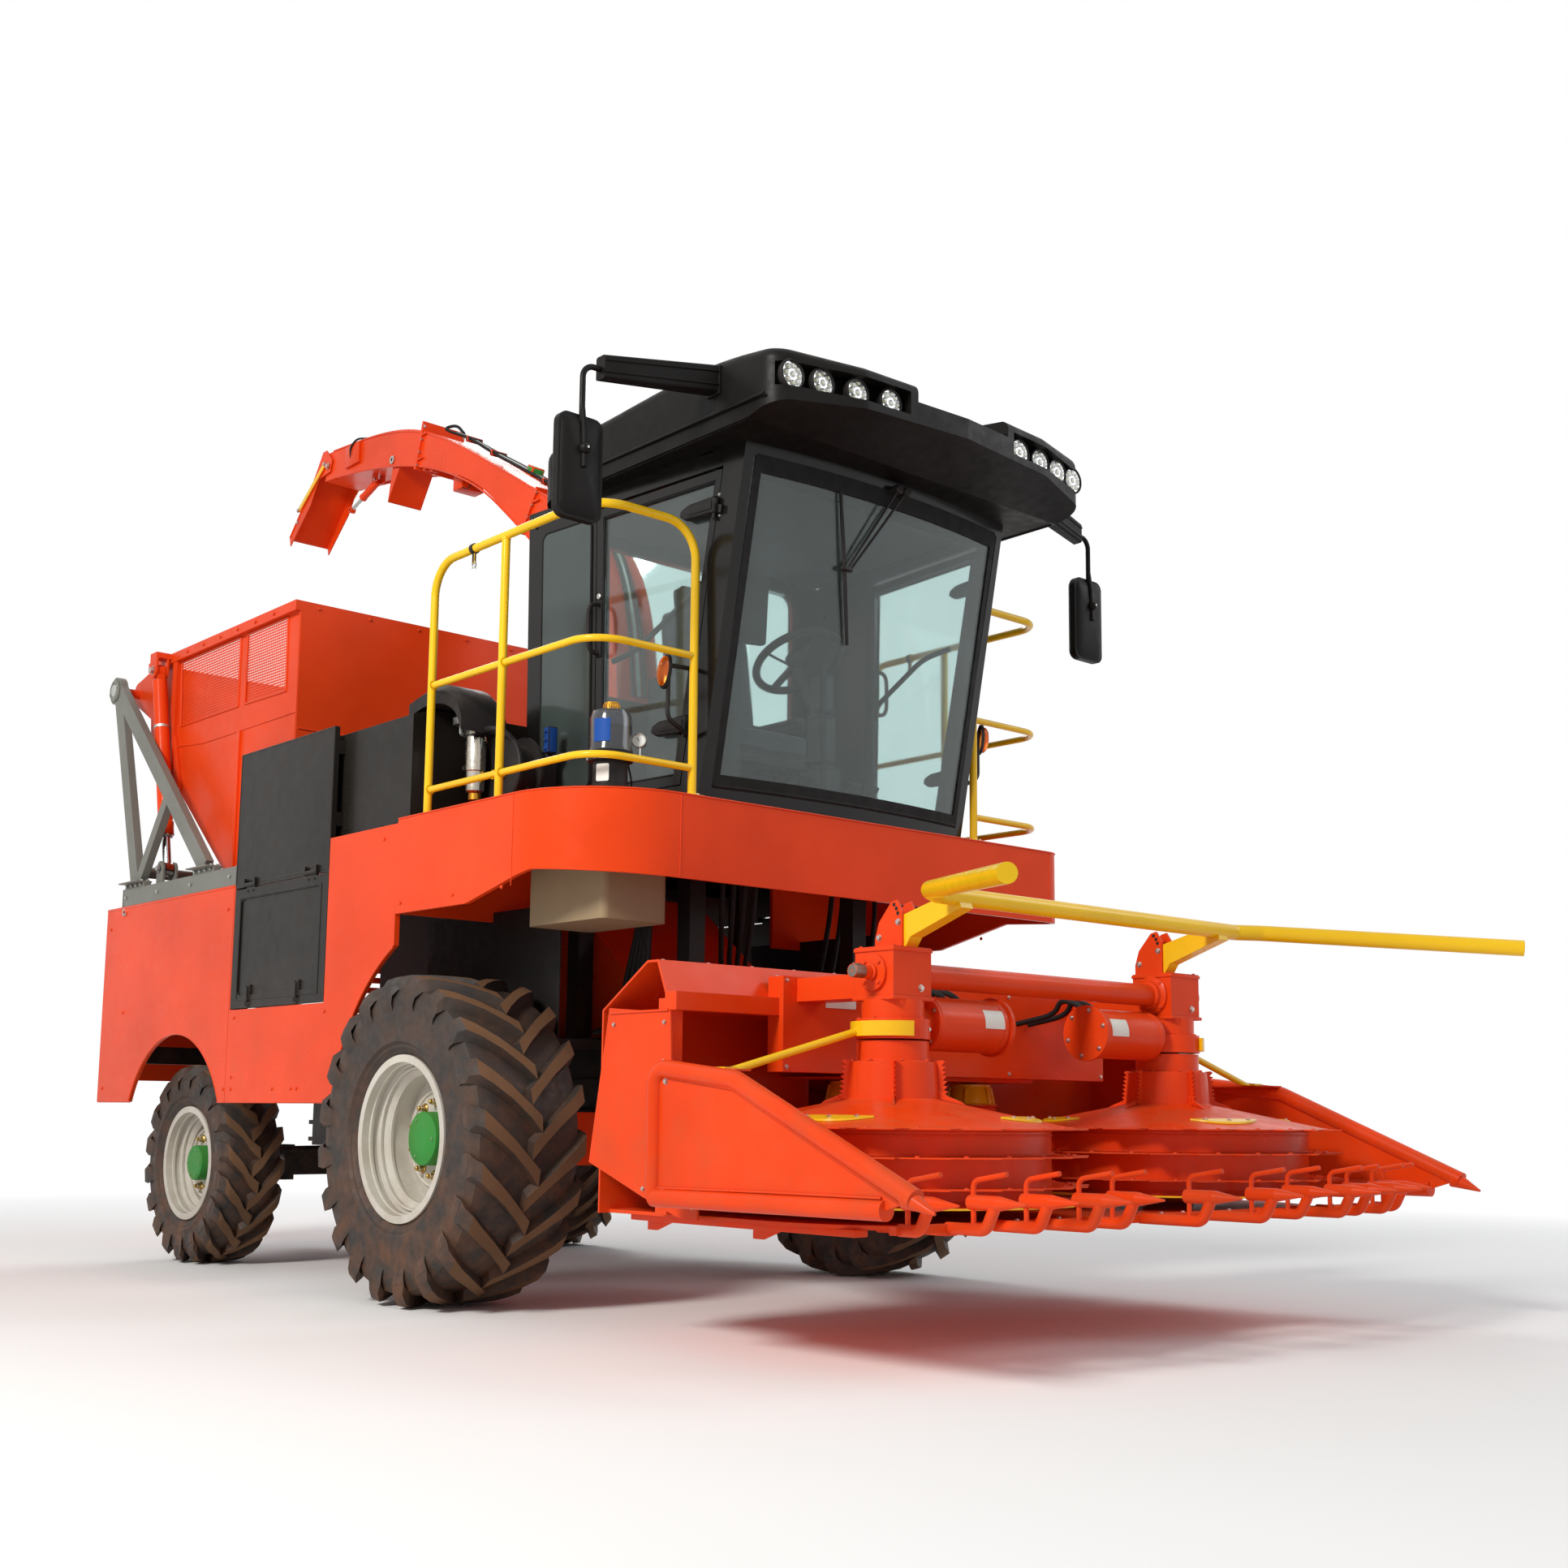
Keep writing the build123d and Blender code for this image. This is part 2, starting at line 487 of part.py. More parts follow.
with BuildPart() as cab_frame:
    cab_skin(CAB_LOW + SEAT, CAB_HIGH, 0, CAB_WALL)
    # floor
    add(cab_block(CAB_LOW + SEAT, CAB_LOW + 30, 5))
    # doorways
    with BuildSketch(Plane.XZ.offset(-1000)):
        door_outline(0, DOOR_SILL, DOOR_HEAD)
    extrude(amount=2000, mode=Mode.SUBTRACT)
    # windscreen and back window
    with BuildSketch(Plane.YZ.offset(AXLE_X + 700)):
        with BuildLine():
            Polyline((-CAB_Y_FRONT + 60, CAB_LOW + 60), (CAB_Y_FRONT - 60, CAB_LOW + 60),
                     (CAB_Y_FRONT - 40, CAB_HIGH - 50), (-CAB_Y_FRONT + 40, CAB_HIGH - 50),
                     (-CAB_Y_FRONT + 60, CAB_LOW + 60))
        make_face()
    extrude(amount=900, mode=Mode.SUBTRACT)
    with BuildSketch(Plane.YZ.offset(CAB_BACK - 20)):
        with Locations((0, (HOOD_TOP + CAB_HIGH) / 2 + 40)):
            RectangleRounded(1300, 680, 60)
    extrude(amount=120, mode=Mode.SUBTRACT)
    for side in (RIGHT, LEFT):
        for z in CAB_HINGES_Z:
            with Locations(cab_hinge_plane(side, z)):
                Cylinder(CAB_HINGE_OUT - 1, 30)
                with Locations((22, -side * 13, 0)):
                    Box(36, 26, 30)
                Cylinder(CAB_HINGE_R + 0.06, 60, mode=Mode.SUBTRACT)
write(cab_frame, "cab_frame")

with BuildPart() as cab_glass:
    # windscreen lies in the opening between the front pillars
    cab_skin(CAB_LOW + 60 + SEAT, CAB_HIGH - 50 - SEAT, 4, 4 + GLASS)
    with BuildSketch(Plane.YZ.offset(AXLE_X + 700)) as pane:
        with BuildLine():
            Polyline((-CAB_Y_FRONT + 60 + SEAT, CAB_LOW + 50), (CAB_Y_FRONT - 60 - SEAT, CAB_LOW + 50),
                     (CAB_Y_FRONT - 40 - SEAT, CAB_HIGH - 40), (-CAB_Y_FRONT + 40 + SEAT, CAB_HIGH - 40),
                     (-CAB_Y_FRONT + 60 + SEAT, CAB_LOW + 50))
        make_face()
    extrude(amount=900, mode=Mode.INTERSECT)
    with BuildSketch(Plane.YZ.offset(CAB_BACK + 20)):
        with Locations((0, (HOOD_TOP + CAB_HIGH) / 2 + 40)):
            RectangleRounded(1300 - 2 * SEAT, 680 - 2 * SEAT, 60)
    extrude(amount=GLASS)
write(cab_glass, "cab_glass")

DOOR_T, DOOR_FRAME = 40, 42
for side, word in SIDES:
    with BuildPart() as door:
        cab_skin(DOOR_SILL, DOOR_HEAD, 0, DOOR_T)
        with BuildSketch(Plane.XZ.offset(-side * 600)):
            door_outline(DOOR_GAP, DOOR_SILL, DOOR_HEAD - 7)
        extrude(amount=side * -400, mode=Mode.INTERSECT)
        with BuildSketch(Plane.XZ.offset(-side * 600)):
            door_outline(DOOR_FRAME, DOOR_SILL, DOOR_HEAD - 7)
        extrude(amount=side * -400, mode=Mode.SUBTRACT)
        for z in CAB_HINGES_Z:
            with Locations(cab_hinge_plane(side, z)):
                Cylinder(CAB_HINGE_R, 84)
                with Locations((0, 0, 28)):
                    Cylinder(CAB_HINGE_OUT - 1, 24)
                with Locations((-18, -side * 11, 28)):
                    Box(30, 22, 24)
    write(door, f"door_{word}")
    with BuildPart() as pane:
        cab_skin(DOOR_SILL, DOOR_HEAD, 12, 12 + GLASS)
        with BuildSketch(Plane.XZ.offset(-side * 600)):
            door_outline(DOOR_FRAME + SEAT, DOOR_SILL, DOOR_HEAD - 7)
        extrude(amount=side * -400, mode=Mode.INTERSECT)
    write(pane, f"door_glass_{word}")

# half outline of the roof, its top seen from the side, and the faces that carry the lamps
ROOF_LINE = ((-95, 700), (160, 900), (1600, 890), (1712, 520), (1752, 0))
ROOF_CROWN = ((-110, 3440), (60, 3532), (470, 3585), (872, 3608), (1280, 3612), (1655, 3565), (1800, 3545))
LAMP_LINE = ((1556, 870), (1585, 715), (1620, 543), (1642, 378), (1652, 300))
# lamps: x, distance off the middle, height
LAMPS = ((1567, 812, 3470), (1590, 680, 3468), (1622, 530, 3463), (1645, 375, 3459))
ROOF_LOW, LEDGE, VISOR = CAB_HIGH + SEAT, 3424, 3516
with BuildPart() as cab_roof:
    with BuildSketch(Plane.XY.offset(ROOF_LOW)) as plan:
        with BuildLine():
            half = [(AXLE_X + x, -y) for x, y in ROOF_LINE]
            Polyline(*half, *[(x, -y) for x, y in half[-2::-1]], half[0])
        make_face()
        fillet(plan.vertices(), radius=110)
    extrude(amount=320)
    with BuildSketch(Plane.XZ.offset(-1000)):
        with BuildLine():
            crown = Spline(*[(AXLE_X + x, z) for x, z in ROOF_CROWN])
            Polyline(crown @ 1, (AXLE_X + 1800, ROOF_LOW), (AXLE_X - 110, ROOF_LOW), crown @ 0)
        make_face()
    extrude(amount=2000, mode=Mode.INTERSECT)
    fillet(cab_roof.faces().sort_by(Axis.Z)[-1].edges(), radius=42)
    # saddle between the two lamp pods
    with BuildSketch(Plane.XZ.offset(-262)):
        with BuildLine():
            Polyline((AXLE_X + 820, 3640), (AXLE_X + 1180, 3510), (AXLE_X + 1850, 3478),
                     (AXLE_X + 1850, 3640), (AXLE_X + 820, 3640))
        make_face()
    extrude(amount=524, mode=Mode.SUBTRACT)
    for side in (RIGHT, LEFT):
        # lamps stand in a bay under the front of the pod
        with BuildSketch(Plane.XY.offset(LEDGE)):
            with BuildLine():
                bay = [(AXLE_X + x, side * y) for x, y in LAMP_LINE]
                Polyline(*bay, (AXLE_X + 1900, side * 300), (AXLE_X + 1900, side * 870), bay[0])
            make_face()
        extrude(amount=VISOR - LEDGE, mode=Mode.SUBTRACT)
        for x, y, z in LAMPS:
            with Locations(Location((AXLE_X + x - 14, side * y, z), (0, 90, 0))):
                Cylinder(45, 80, align=(Align.CENTER, Align.CENTER, Align.MIN), mode=Mode.SUBTRACT)
    # underside slopes up to the front edge
    with BuildSketch(Plane.XZ.offset(-1000)):
        with BuildLine():
            Polyline((AXLE_X + 1460, ROOF_LOW), (AXLE_X + 1800, 3412), (AXLE_X + 1800, ROOF_LOW - 5),
                     (AXLE_X + 1460, ROOF_LOW - 5), (AXLE_X + 1460, ROOF_LOW))
        make_face()
    extrude(amount=2000, mode=Mode.SUBTRACT)
    # hollow above the ceiling
    block(AXLE_X + 60, AXLE_X + 1100, -770, 770, ROOF_LOW - 1, 3480, mode=Mode.SUBTRACT)
write(cab_roof, "cab_roof")

with BuildPart() as driver_seat:
    seat_x = AXLE_X + 420
    block(seat_x - 150, seat_x + 150, -170, 170, CAB_LOW + 30 + SEAT, CAB_LOW + 330)
    block(seat_x - 260, seat_x + 240, -250, 250, CAB_LOW + 330, CAB_LOW + 460)
    with BuildSketch(Plane.XZ.offset(-230)):
        with BuildLine():
            Polyline((seat_x - 260, CAB_LOW + 440), (seat_x - 130, CAB_LOW + 440),
                     (seat_x - 230, CAB_LOW + 1080), (seat_x - 320, CAB_LOW + 1080),
                     (seat_x - 260, CAB_LOW + 440))
        make_face()
    extrude(amount=460)
    fillet(driver_seat.edges().filter_by(Axis.Y).group_by(Axis.Z)[-1], radius=30)
write(driver_seat, "driver_seat")

with BuildPart() as driver_controls:
    column_x = AXLE_X + 900
    tube([(column_x, 0, CAB_LOW + 30 + SEAT), (column_x, 0, CAB_LOW + 500),
          (column_x - 130, 0, CAB_LOW + 720)], 40, 60)
    with Locations(Plane(origin=(column_x - 135, 0, CAB_LOW + 730), z_dir=(-0.5, 0, 0.86))):
        Torus(190, 16)
        Cylinder(45, 30)
        Box(370, 30, 16)
    block(AXLE_X + 350, AXLE_X + 780, -480, -330, CAB_LOW + 30 + SEAT, CAB_LOW + 640)
write(driver_controls, "driver_controls")

with BuildPart() as mirrors:
    for side in (RIGHT, LEFT):
        # box arm out from the roof, and the rod that hangs from it
        with BuildSketch(Plane.XZ.offset(-side * 892.8)):
            with Locations((AXLE_X + 1262, 3530)):
                RectangleRounded(70, 108, 10)
        with BuildSketch(Plane.XZ.offset(-side * 1375)):
            with Locations((AXLE_X + 1190, 3462)):
                RectangleRounded(54, 90, 10)
        loft()
        tube([(AXLE_X + 1190, side * 1360, 3455), (AXLE_X + 1190, side * 1452, 3455),
              (AXLE_X + 1190, side * 1452, 3060)], 11, 50)
        with BuildSketch(Plane.YZ.offset(AXLE_X + 1150)):
            with Locations((side * 1452, 3065)):
                RectangleRounded(196, 390, 40)
        extrude(amount=38)
        fillet(mirrors.faces().sort_by(Axis.X)[0].edges(), radius=9)
write(mirrors, "mirrors")

with BuildPart() as work_lights:
    for side in (RIGHT, LEFT):
        for x, y, z in LAMPS:
            with Locations(Location((AXLE_X + x - 14 + SEAT, side * y, z), (0, 90, 0))):
                Cylinder(42, 46, align=(Align.CENTER, Align.CENTER, Align.MIN))
write(work_lights, "work_lights")

# ------------------------------------------------------------------ spout
# side view of the duct, front edge and back edge from the turning ring to its end
OUTER = ((-360, 2600), (-390, 3000), (-470, 3290), (-640, 3560), (-860, 3760), (-1150, 3935), (-1500, 4145),
         (-1900, 4380), (-2300, 4570), (-2750, 4675), (-3360, 4724))
INNER = ((-650, 2600), (-670, 2900), (-730, 3130), (-850, 3340), (-1010, 3540), (-1260, 3760), (-1600, 4040),
         (-1960, 4235), (-2340, 4375), (-2780, 4480), (-3400, 4556))


def duct_profile(inset, over):
    """Side outline of the curved duct, drawn in by a wall and run on past both ends."""
    top, low = [], []
    for (x0, z0), (x1, z1) in zip(OUTER, INNER):
        share = inset / sqrt((x1 - x0) ** 2 + (z1 - z0) ** 2)
        top.append((AXLE_X + x0 + (x1 - x0) * share, z0 + (z1 - z0) * share))
        low.append((AXLE_X + x1 + (x0 - x1) * share, z1 + (z0 - z1) * share))
    with BuildLine() as edge:
        for line in (top, low):
            Spline(*line)
            if over:
                Line(line[0], (line[0][0], line[0][1] - over))
                Line(line[-1], (line[-1][0] - over, line[-1][1]))
        Line((top[0][0], top[0][1] - over), (low[0][0], low[0][1] - over))
        Line((top[-1][0] - over, top[-1][1]), (low[-1][0] - over, low[-1][1]))
    make_face(edge.line)


FLAP_X, FLAP_Z = AXLE_X - 3340, 4635    # pin of the end flap
FLAP_PIN = 12
# joint flanges across the duct: point on the back edge, point on the front edge
FLANGES = (((-2229, 4581), (-2300, 4349)), ((-1078, 3898), (-1201, 3709)))
with BuildPart() as spout:
    with BuildSketch(Plane.XZ.offset(-SPOUT_HALF)):
        duct_profile(0, 0)
    extrude(amount=2 * SPOUT_HALF)
    for (x0, z0), (x1, z1) in FLANGES:
        slope = degrees(atan2(z1 - z0, x1 - x0))
        centre = (AXLE_X + (x0 + x1) / 2, 0, (z0 + z1) / 2)
        with Locations(Location(centre, (0, -slope, 0))):
            Box(sqrt((x1 - x0) ** 2 + (z1 - z0) ** 2) + 30, 2 * SPOUT_HALF + 30, 18)
    with Locations((SPOUT_X, 0, SPOUT_Z)):
        Cylinder(230, 40, align=(Align.CENTER, Align.CENTER, Align.MIN))
    # deflector hanging under the duct: a sloped plate with two cheeks, open behind
    with BuildPart(mode=Mode.PRIVATE) as deflector:
        with BuildSketch(Plane.XZ.offset(-108)):
            with BuildLine():
                Polyline((AXLE_X - 2500, 4440), (AXLE_X - 2640, 4236), (AXLE_X - 2590, 4470),
                         (AXLE_X - 2500, 4440))
            make_face()
        extrude(amount=216)
        with BuildSketch(Plane.XZ.offset(-102)):
            with BuildLine():
                Polyline((AXLE_X - 2508, 4440), (AXLE_X - 2648, 4236), (AXLE_X - 2720, 4236),
                         (AXLE_X - 2720, 4500), (AXLE_X - 2508, 4500), (AXLE_X - 2508, 4440))
            make_face()
        extrude(amount=204, mode=Mode.SUBTRACT)
    add(deflector.part)
    with BuildSketch(Plane.XZ.offset(-SPOUT_HALF + SPOUT_WALL)):
        duct_profile(SPOUT_WALL, 20)
    extrude(amount=2 * (SPOUT_HALF - SPOUT_WALL), mode=Mode.SUBTRACT)
    with Locations((FLAP_X, 0, FLAP_Z)):
        Cylinder(FLAP_PIN, 2 * (SPOUT_HALF + RUN + 12), rotation=(90, 0, 0))
write(spout, "spout")

with BuildPart() as spout_flap:
    cheek = SPOUT_HALF + RUN + 6
    with BuildSketch(Plane.XZ.offset(-cheek)):
        with BuildLine():
            Polyline((FLAP_X - 75, FLAP_Z + 108), (FLAP_X - 30, FLAP_Z + 108), (FLAP_X + 40, FLAP_Z + 30),
                     (FLAP_X + 20, FLAP_Z - 40), (FLAP_X - 120, FLAP_Z - 50), (AXLE_X - 3560, 4440),
                     (AXLE_X - 3800, 4240), (AXLE_X - 3815, 4302), (AXLE_X - 3585, 4520),
                     (FLAP_X - 75, FLAP_Z + 108))
        make_face()
    extrude(amount=2 * cheek)
    # open below and towards the duct, closed above
    with BuildSketch(Plane.XZ.offset(-cheek + 6)):
        with BuildLine():
            Polyline((FLAP_X - 82, FLAP_Z + 100), (FLAP_X + 60, FLAP_Z + 100), (FLAP_X + 60, FLAP_Z - 420),
                     (AXLE_X - 3830, 4150), (AXLE_X - 3808, 4292), (AXLE_X - 3585, 4511),
                     (FLAP_X - 82, FLAP_Z + 100))
        make_face()
    extrude(amount=2 * (cheek - 6), mode=Mode.SUBTRACT)
    block(FLAP_X - 60, FLAP_X + 70, -cheek + 6, cheek - 6, FLAP_Z + 90, FLAP_Z + 130, mode=Mode.SUBTRACT)
    with Locations((FLAP_X, 0, FLAP_Z)):
        Cylinder(FLAP_PIN + 0.08, 2 * cheek + 10, rotation=(90, 0, 0), mode=Mode.SUBTRACT)
write(spout_flap, "spout_flap")

# ------------------------------------------------------------------ tipping frame and bin
FRAME_T = 40            # thickness of the tipping frame, outer face on BODY_Y
PIN_R = 25
# members of the frame as seen from the side: start, end, depth
FRAME_BARS = (((-3292, 3030), (-2904, 1920), 90), ((-3292, 3030), (-2065, 1930), 90),
              ((-2880, 1925), (-2560, 2340), 60))
with BuildPart() as lift_frame:
    for side in (RIGHT, LEFT):
        outer = side * BODY_Y
        block(RAIL_BACK, RAIL_FRONT, outer - side * 40 - 40, outer - side * 40 + 40, RAIL_LOW, RAIL_HIGH)
        with BuildSketch(Plane.XZ.offset(-outer)):
            for (x0, z0), (x1, z1), depth in FRAME_BARS:
                with Locations(Location((AXLE_X + (x0 + x1) / 2, (z0 + z1) / 2),
                                        degrees(atan2(z1 - z0, x1 - x0)))):
                    Rectangle(sqrt((x1 - x0) ** 2 + (z1 - z0) ** 2), depth)
            with Locations((TIP_X, TIP_Z)):
                Circle(75)
            with Locations((AXLE_X - 2904, RAIL_HIGH + 12)):
                Rectangle(240, 24)
            with Locations((AXLE_X - 2065, RAIL_HIGH + 12)):
                Rectangle(240, 24)
        extrude(amount=side * FRAME_T)
        with Locations((TIP_X, outer - side * 50, TIP_Z)):
            Cylinder(PIN_R + 0.1, 200, rotation=(90, 0, 0), mode=Mode.SUBTRACT)
write(lift_frame, "lift_frame")

BIN_WALL = 6
BIN_OUT = BODY_Y - 160    # half width of the bin
WINDOWS = (((-2800, 2775), (-2826, 3128), (-2112, 3128), (-2112, 2770)),
           ((-2036, 2770), (-2036, 3128), (-1600, 3128), (-1590, 2760)))


def bin_profile(d):
    """Side outline of the bin, drawn in by a wall thickness."""
    with BuildLine() as edge:
        Polyline((BIN_FRONT, BIN_FLOOR + 60), (BIN_FRONT, BIN_TOP), (BIN_BACK - 60, BIN_TOP),
                 (BIN_BACK - 90, BIN_TOP - 80), (BIN_BACK - 40, 2760), (AXLE_X - 2150, BIN_FLOOR),
                 (BIN_FRONT - 60, BIN_FLOOR), (BIN_FRONT, BIN_FLOOR + 60))
    make_face(edge.line)
    if d:
        offset(amount=-d)


CYL_Y = BODY_Y - 87     # middle of the tipping cylinders
BIN_PIN_X, BIN_PIN_Z = AXLE_X - 2950, 3090
FOOT_X, FOOT_Z = AXLE_X - 2700, 1990
with BuildPart() as bin:
    with BuildSketch(Plane.XZ.offset(-BIN_OUT)):
        bin_profile(0)
    extrude(amount=2 * BIN_OUT)
    with BuildSketch(Plane.XZ.offset(-BIN_OUT + BIN_WALL)):
        bin_profile(BIN_WALL)
    extrude(amount=2 * (BIN_OUT - BIN_WALL), mode=Mode.SUBTRACT)
    # open top
    block(BIN_BACK - 40, BIN_FRONT - BIN_WALL, -BIN_OUT + BIN_WALL, BIN_OUT - BIN_WALL, BIN_TOP - 20,
          BIN_TOP + 10, mode=Mode.SUBTRACT)
    # rim of square tube round the sides and the front
    for side in (RIGHT, LEFT):
        block(BIN_BACK - 55, BIN_FRONT, side * (BIN_OUT + 14.5) - 15.5, side * (BIN_OUT + 14.5) + 15.5,
              BIN_TOP - 50, BIN_TOP)
        # pin ears, cylinder ribs and windows
        with BuildSketch(Plane.XZ.offset(-side * BIN_OUT + side * 1)):
            with Locations((TIP_X, TIP_Z)):
                Circle(70)
            with BuildLine():
                Polyline((TIP_X, TIP_Z - 70), (BIN_BACK + 60, TIP_Z - 190), (BIN_BACK + 60, TIP_Z + 120),
                         (TIP_X, TIP_Z + 70), (TIP_X, TIP_Z - 70))
            make_face()
        extrude(amount=-side * 31)
        with Locations((TIP_X, side * (BIN_OUT + 90), TIP_Z)):
            Cylinder(PIN_R, 150, rotation=(90, 0, 0))
        for y in (CYL_Y - 36, CYL_Y + 24):
            with BuildSketch(Plane.XZ.offset(-side * y)):
                with Locations((BIN_PIN_X, BIN_PIN_Z)):
                    Circle(42)
                with Locations((BIN_PIN_X, BIN_PIN_Z + 55)):
                    Rectangle(84, 80)
            extrude(amount=-side * 12)
        block(BIN_PIN_X - 42, BIN_PIN_X + 42, min(side * (BIN_OUT - 1), side * (CYL_Y + 36)),
              max(side * (BIN_OUT - 1), side * (CYL_Y + 36)), BIN_TOP - 30, BIN_TOP)
        with Locations((BIN_PIN_X, side * CYL_Y, BIN_PIN_Z)):
            Cylinder(20, 72, rotation=(90, 0, 0))
        # upright rib beside the cylinder
        block(AXLE_X - 2885, AXLE_X - 2840, min(side * (BIN_OUT - 1), side * (BIN_OUT + 26)),
              max(side * (BIN_OUT - 1), side * (BIN_OUT + 26)), 2420, BIN_TOP - 40)
        for corners in WINDOWS:
            with BuildSketch(Plane.XZ.offset(-side * (BIN_OUT + 5))):
                with BuildLine():
                    Polyline(*[(AXLE_X + x, z) for x, z in corners + corners[:1]])
                make_face()
            extrude(amount=side * 20, mode=Mode.SUBTRACT)
write(bin, "bin")

# tipping cylinders: barrel on the bin, rod down to its foot
RUN_X, RUN_Z = FOOT_X - BIN_PIN_X, FOOT_Z - BIN_PIN_Z
CYL_LEN = sqrt(RUN_X ** 2 + RUN_Z ** 2)
BARREL_LEN = CYL_LEN - 190
for side, word in SIDES:
    down = Plane(origin=(BIN_PIN_X, side * CYL_Y, BIN_PIN_Z), x_dir=(0, 1, 0), z_dir=(RUN_X, 0, RUN_Z))
    with BuildPart() as barrel:
        with BuildSketch(down.offset(60)):
            Circle(38)
        extrude(amount=BARREL_LEN - 60)
        with BuildSketch(down.offset(BARREL_LEN - 40)):
            Circle(41)
        extrude(amount=40)
        with Locations(down):
            Cylinder(34, 40, rotation=(0, 90, 0))
        with BuildSketch(down):
            Rectangle(40, 50)
        extrude(amount=80)
        with Locations(down):
            Cylinder(20.08, 60, rotation=(0, 90, 0), mode=Mode.SUBTRACT)
        with BuildSketch(down.offset(120)):
            Circle(22.08)
        extrude(amount=CYL_LEN, mode=Mode.SUBTRACT)
    write(barrel, f"bin_barrel_{word}")
    with BuildPart() as rod:
        with BuildSketch(down.offset(140)):
            Circle(22)
        extrude(amount=CYL_LEN - 140 - 20)
        with BuildSketch(down.offset(130)):
            Circle(22)
        extrude(amount=30)
        with Locations(down.offset(CYL_LEN)):
            Cylinder(36, 40, rotation=(0, 90, 0))
    write(rod, f"bin_rod_{word}")

with BuildPart() as cylinder_feet:
    for side in (RIGHT, LEFT):
        for y in (CYL_Y - 40, CYL_Y + 28):
            with BuildSketch(Plane.XZ.offset(-side * y)):
                with Locations((FOOT_X, FOOT_Z)):
                    Circle(40)
                with Locations((FOOT_X, (RAIL_HIGH + SEAT + 10 + FOOT_Z) / 2)):
                    Rectangle(80, FOOT_Z - RAIL_HIGH - SEAT - 10)
            extrude(amount=-side * 12)
        block(FOOT_X - 110, FOOT_X + 110, side * CYL_Y - 46, side * CYL_Y + 46, RAIL_HIGH + SEAT,
              RAIL_HIGH + SEAT + 12)
write(cylinder_feet, "cylinder_feet")

# ------------------------------------------------------------------ feeder house
FEED_Y = 380
with BuildPart() as feeder_house:
    with BuildSketch(Plane.XZ.offset(-FEED_Y)):
        with Locations((LIFT_X, LIFT_Z)):
            Circle(210)
        with BuildLine():
            Polyline((LIFT_X, LIFT_Z + 210), (AXLE_X + 1250 - SEAT, 1098), (AXLE_X + 1250 - SEAT, 520),
                     (LIFT_X, LIFT_Z - 210), (LIFT_X, LIFT_Z + 210))
        make_face()
    extrude(amount=2 * FEED_Y)
    with BuildSketch(Plane.XZ.offset(-FEED_Y + 8)):
        with BuildLine():
            Polyline((LIFT_X - 230, LIFT_Z - 110), (LIFT_X - 230, LIFT_Z + 110), (LIFT_X, LIFT_Z + 150),
                     (AXLE_X + 1260, 1090), (AXLE_X + 1260, 528), (LIFT_X, LIFT_Z - 150),
                     (LIFT_X - 230, LIFT_Z - 110))
        make_face()
    extrude(amount=2 * (FEED_Y - 8), mode=Mode.SUBTRACT)
    for side in (RIGHT, LEFT):
        with Locations((LIFT_X, side * (FEED_Y + FRAME_Y1) / 2, LIFT_Z)):
            Cylinder(TRUNNION_R, FRAME_Y1 - FEED_Y + 30, rotation=(90, 0, 0))
        with Locations((LIFT_X, side * (FEED_Y + FRAME_Y0 - RUN) / 2, LIFT_Z)):
            Cylinder(90, FRAME_Y0 - RUN - FEED_Y + 2, rotation=(90, 0, 0))
write(feeder_house, "feeder_house")

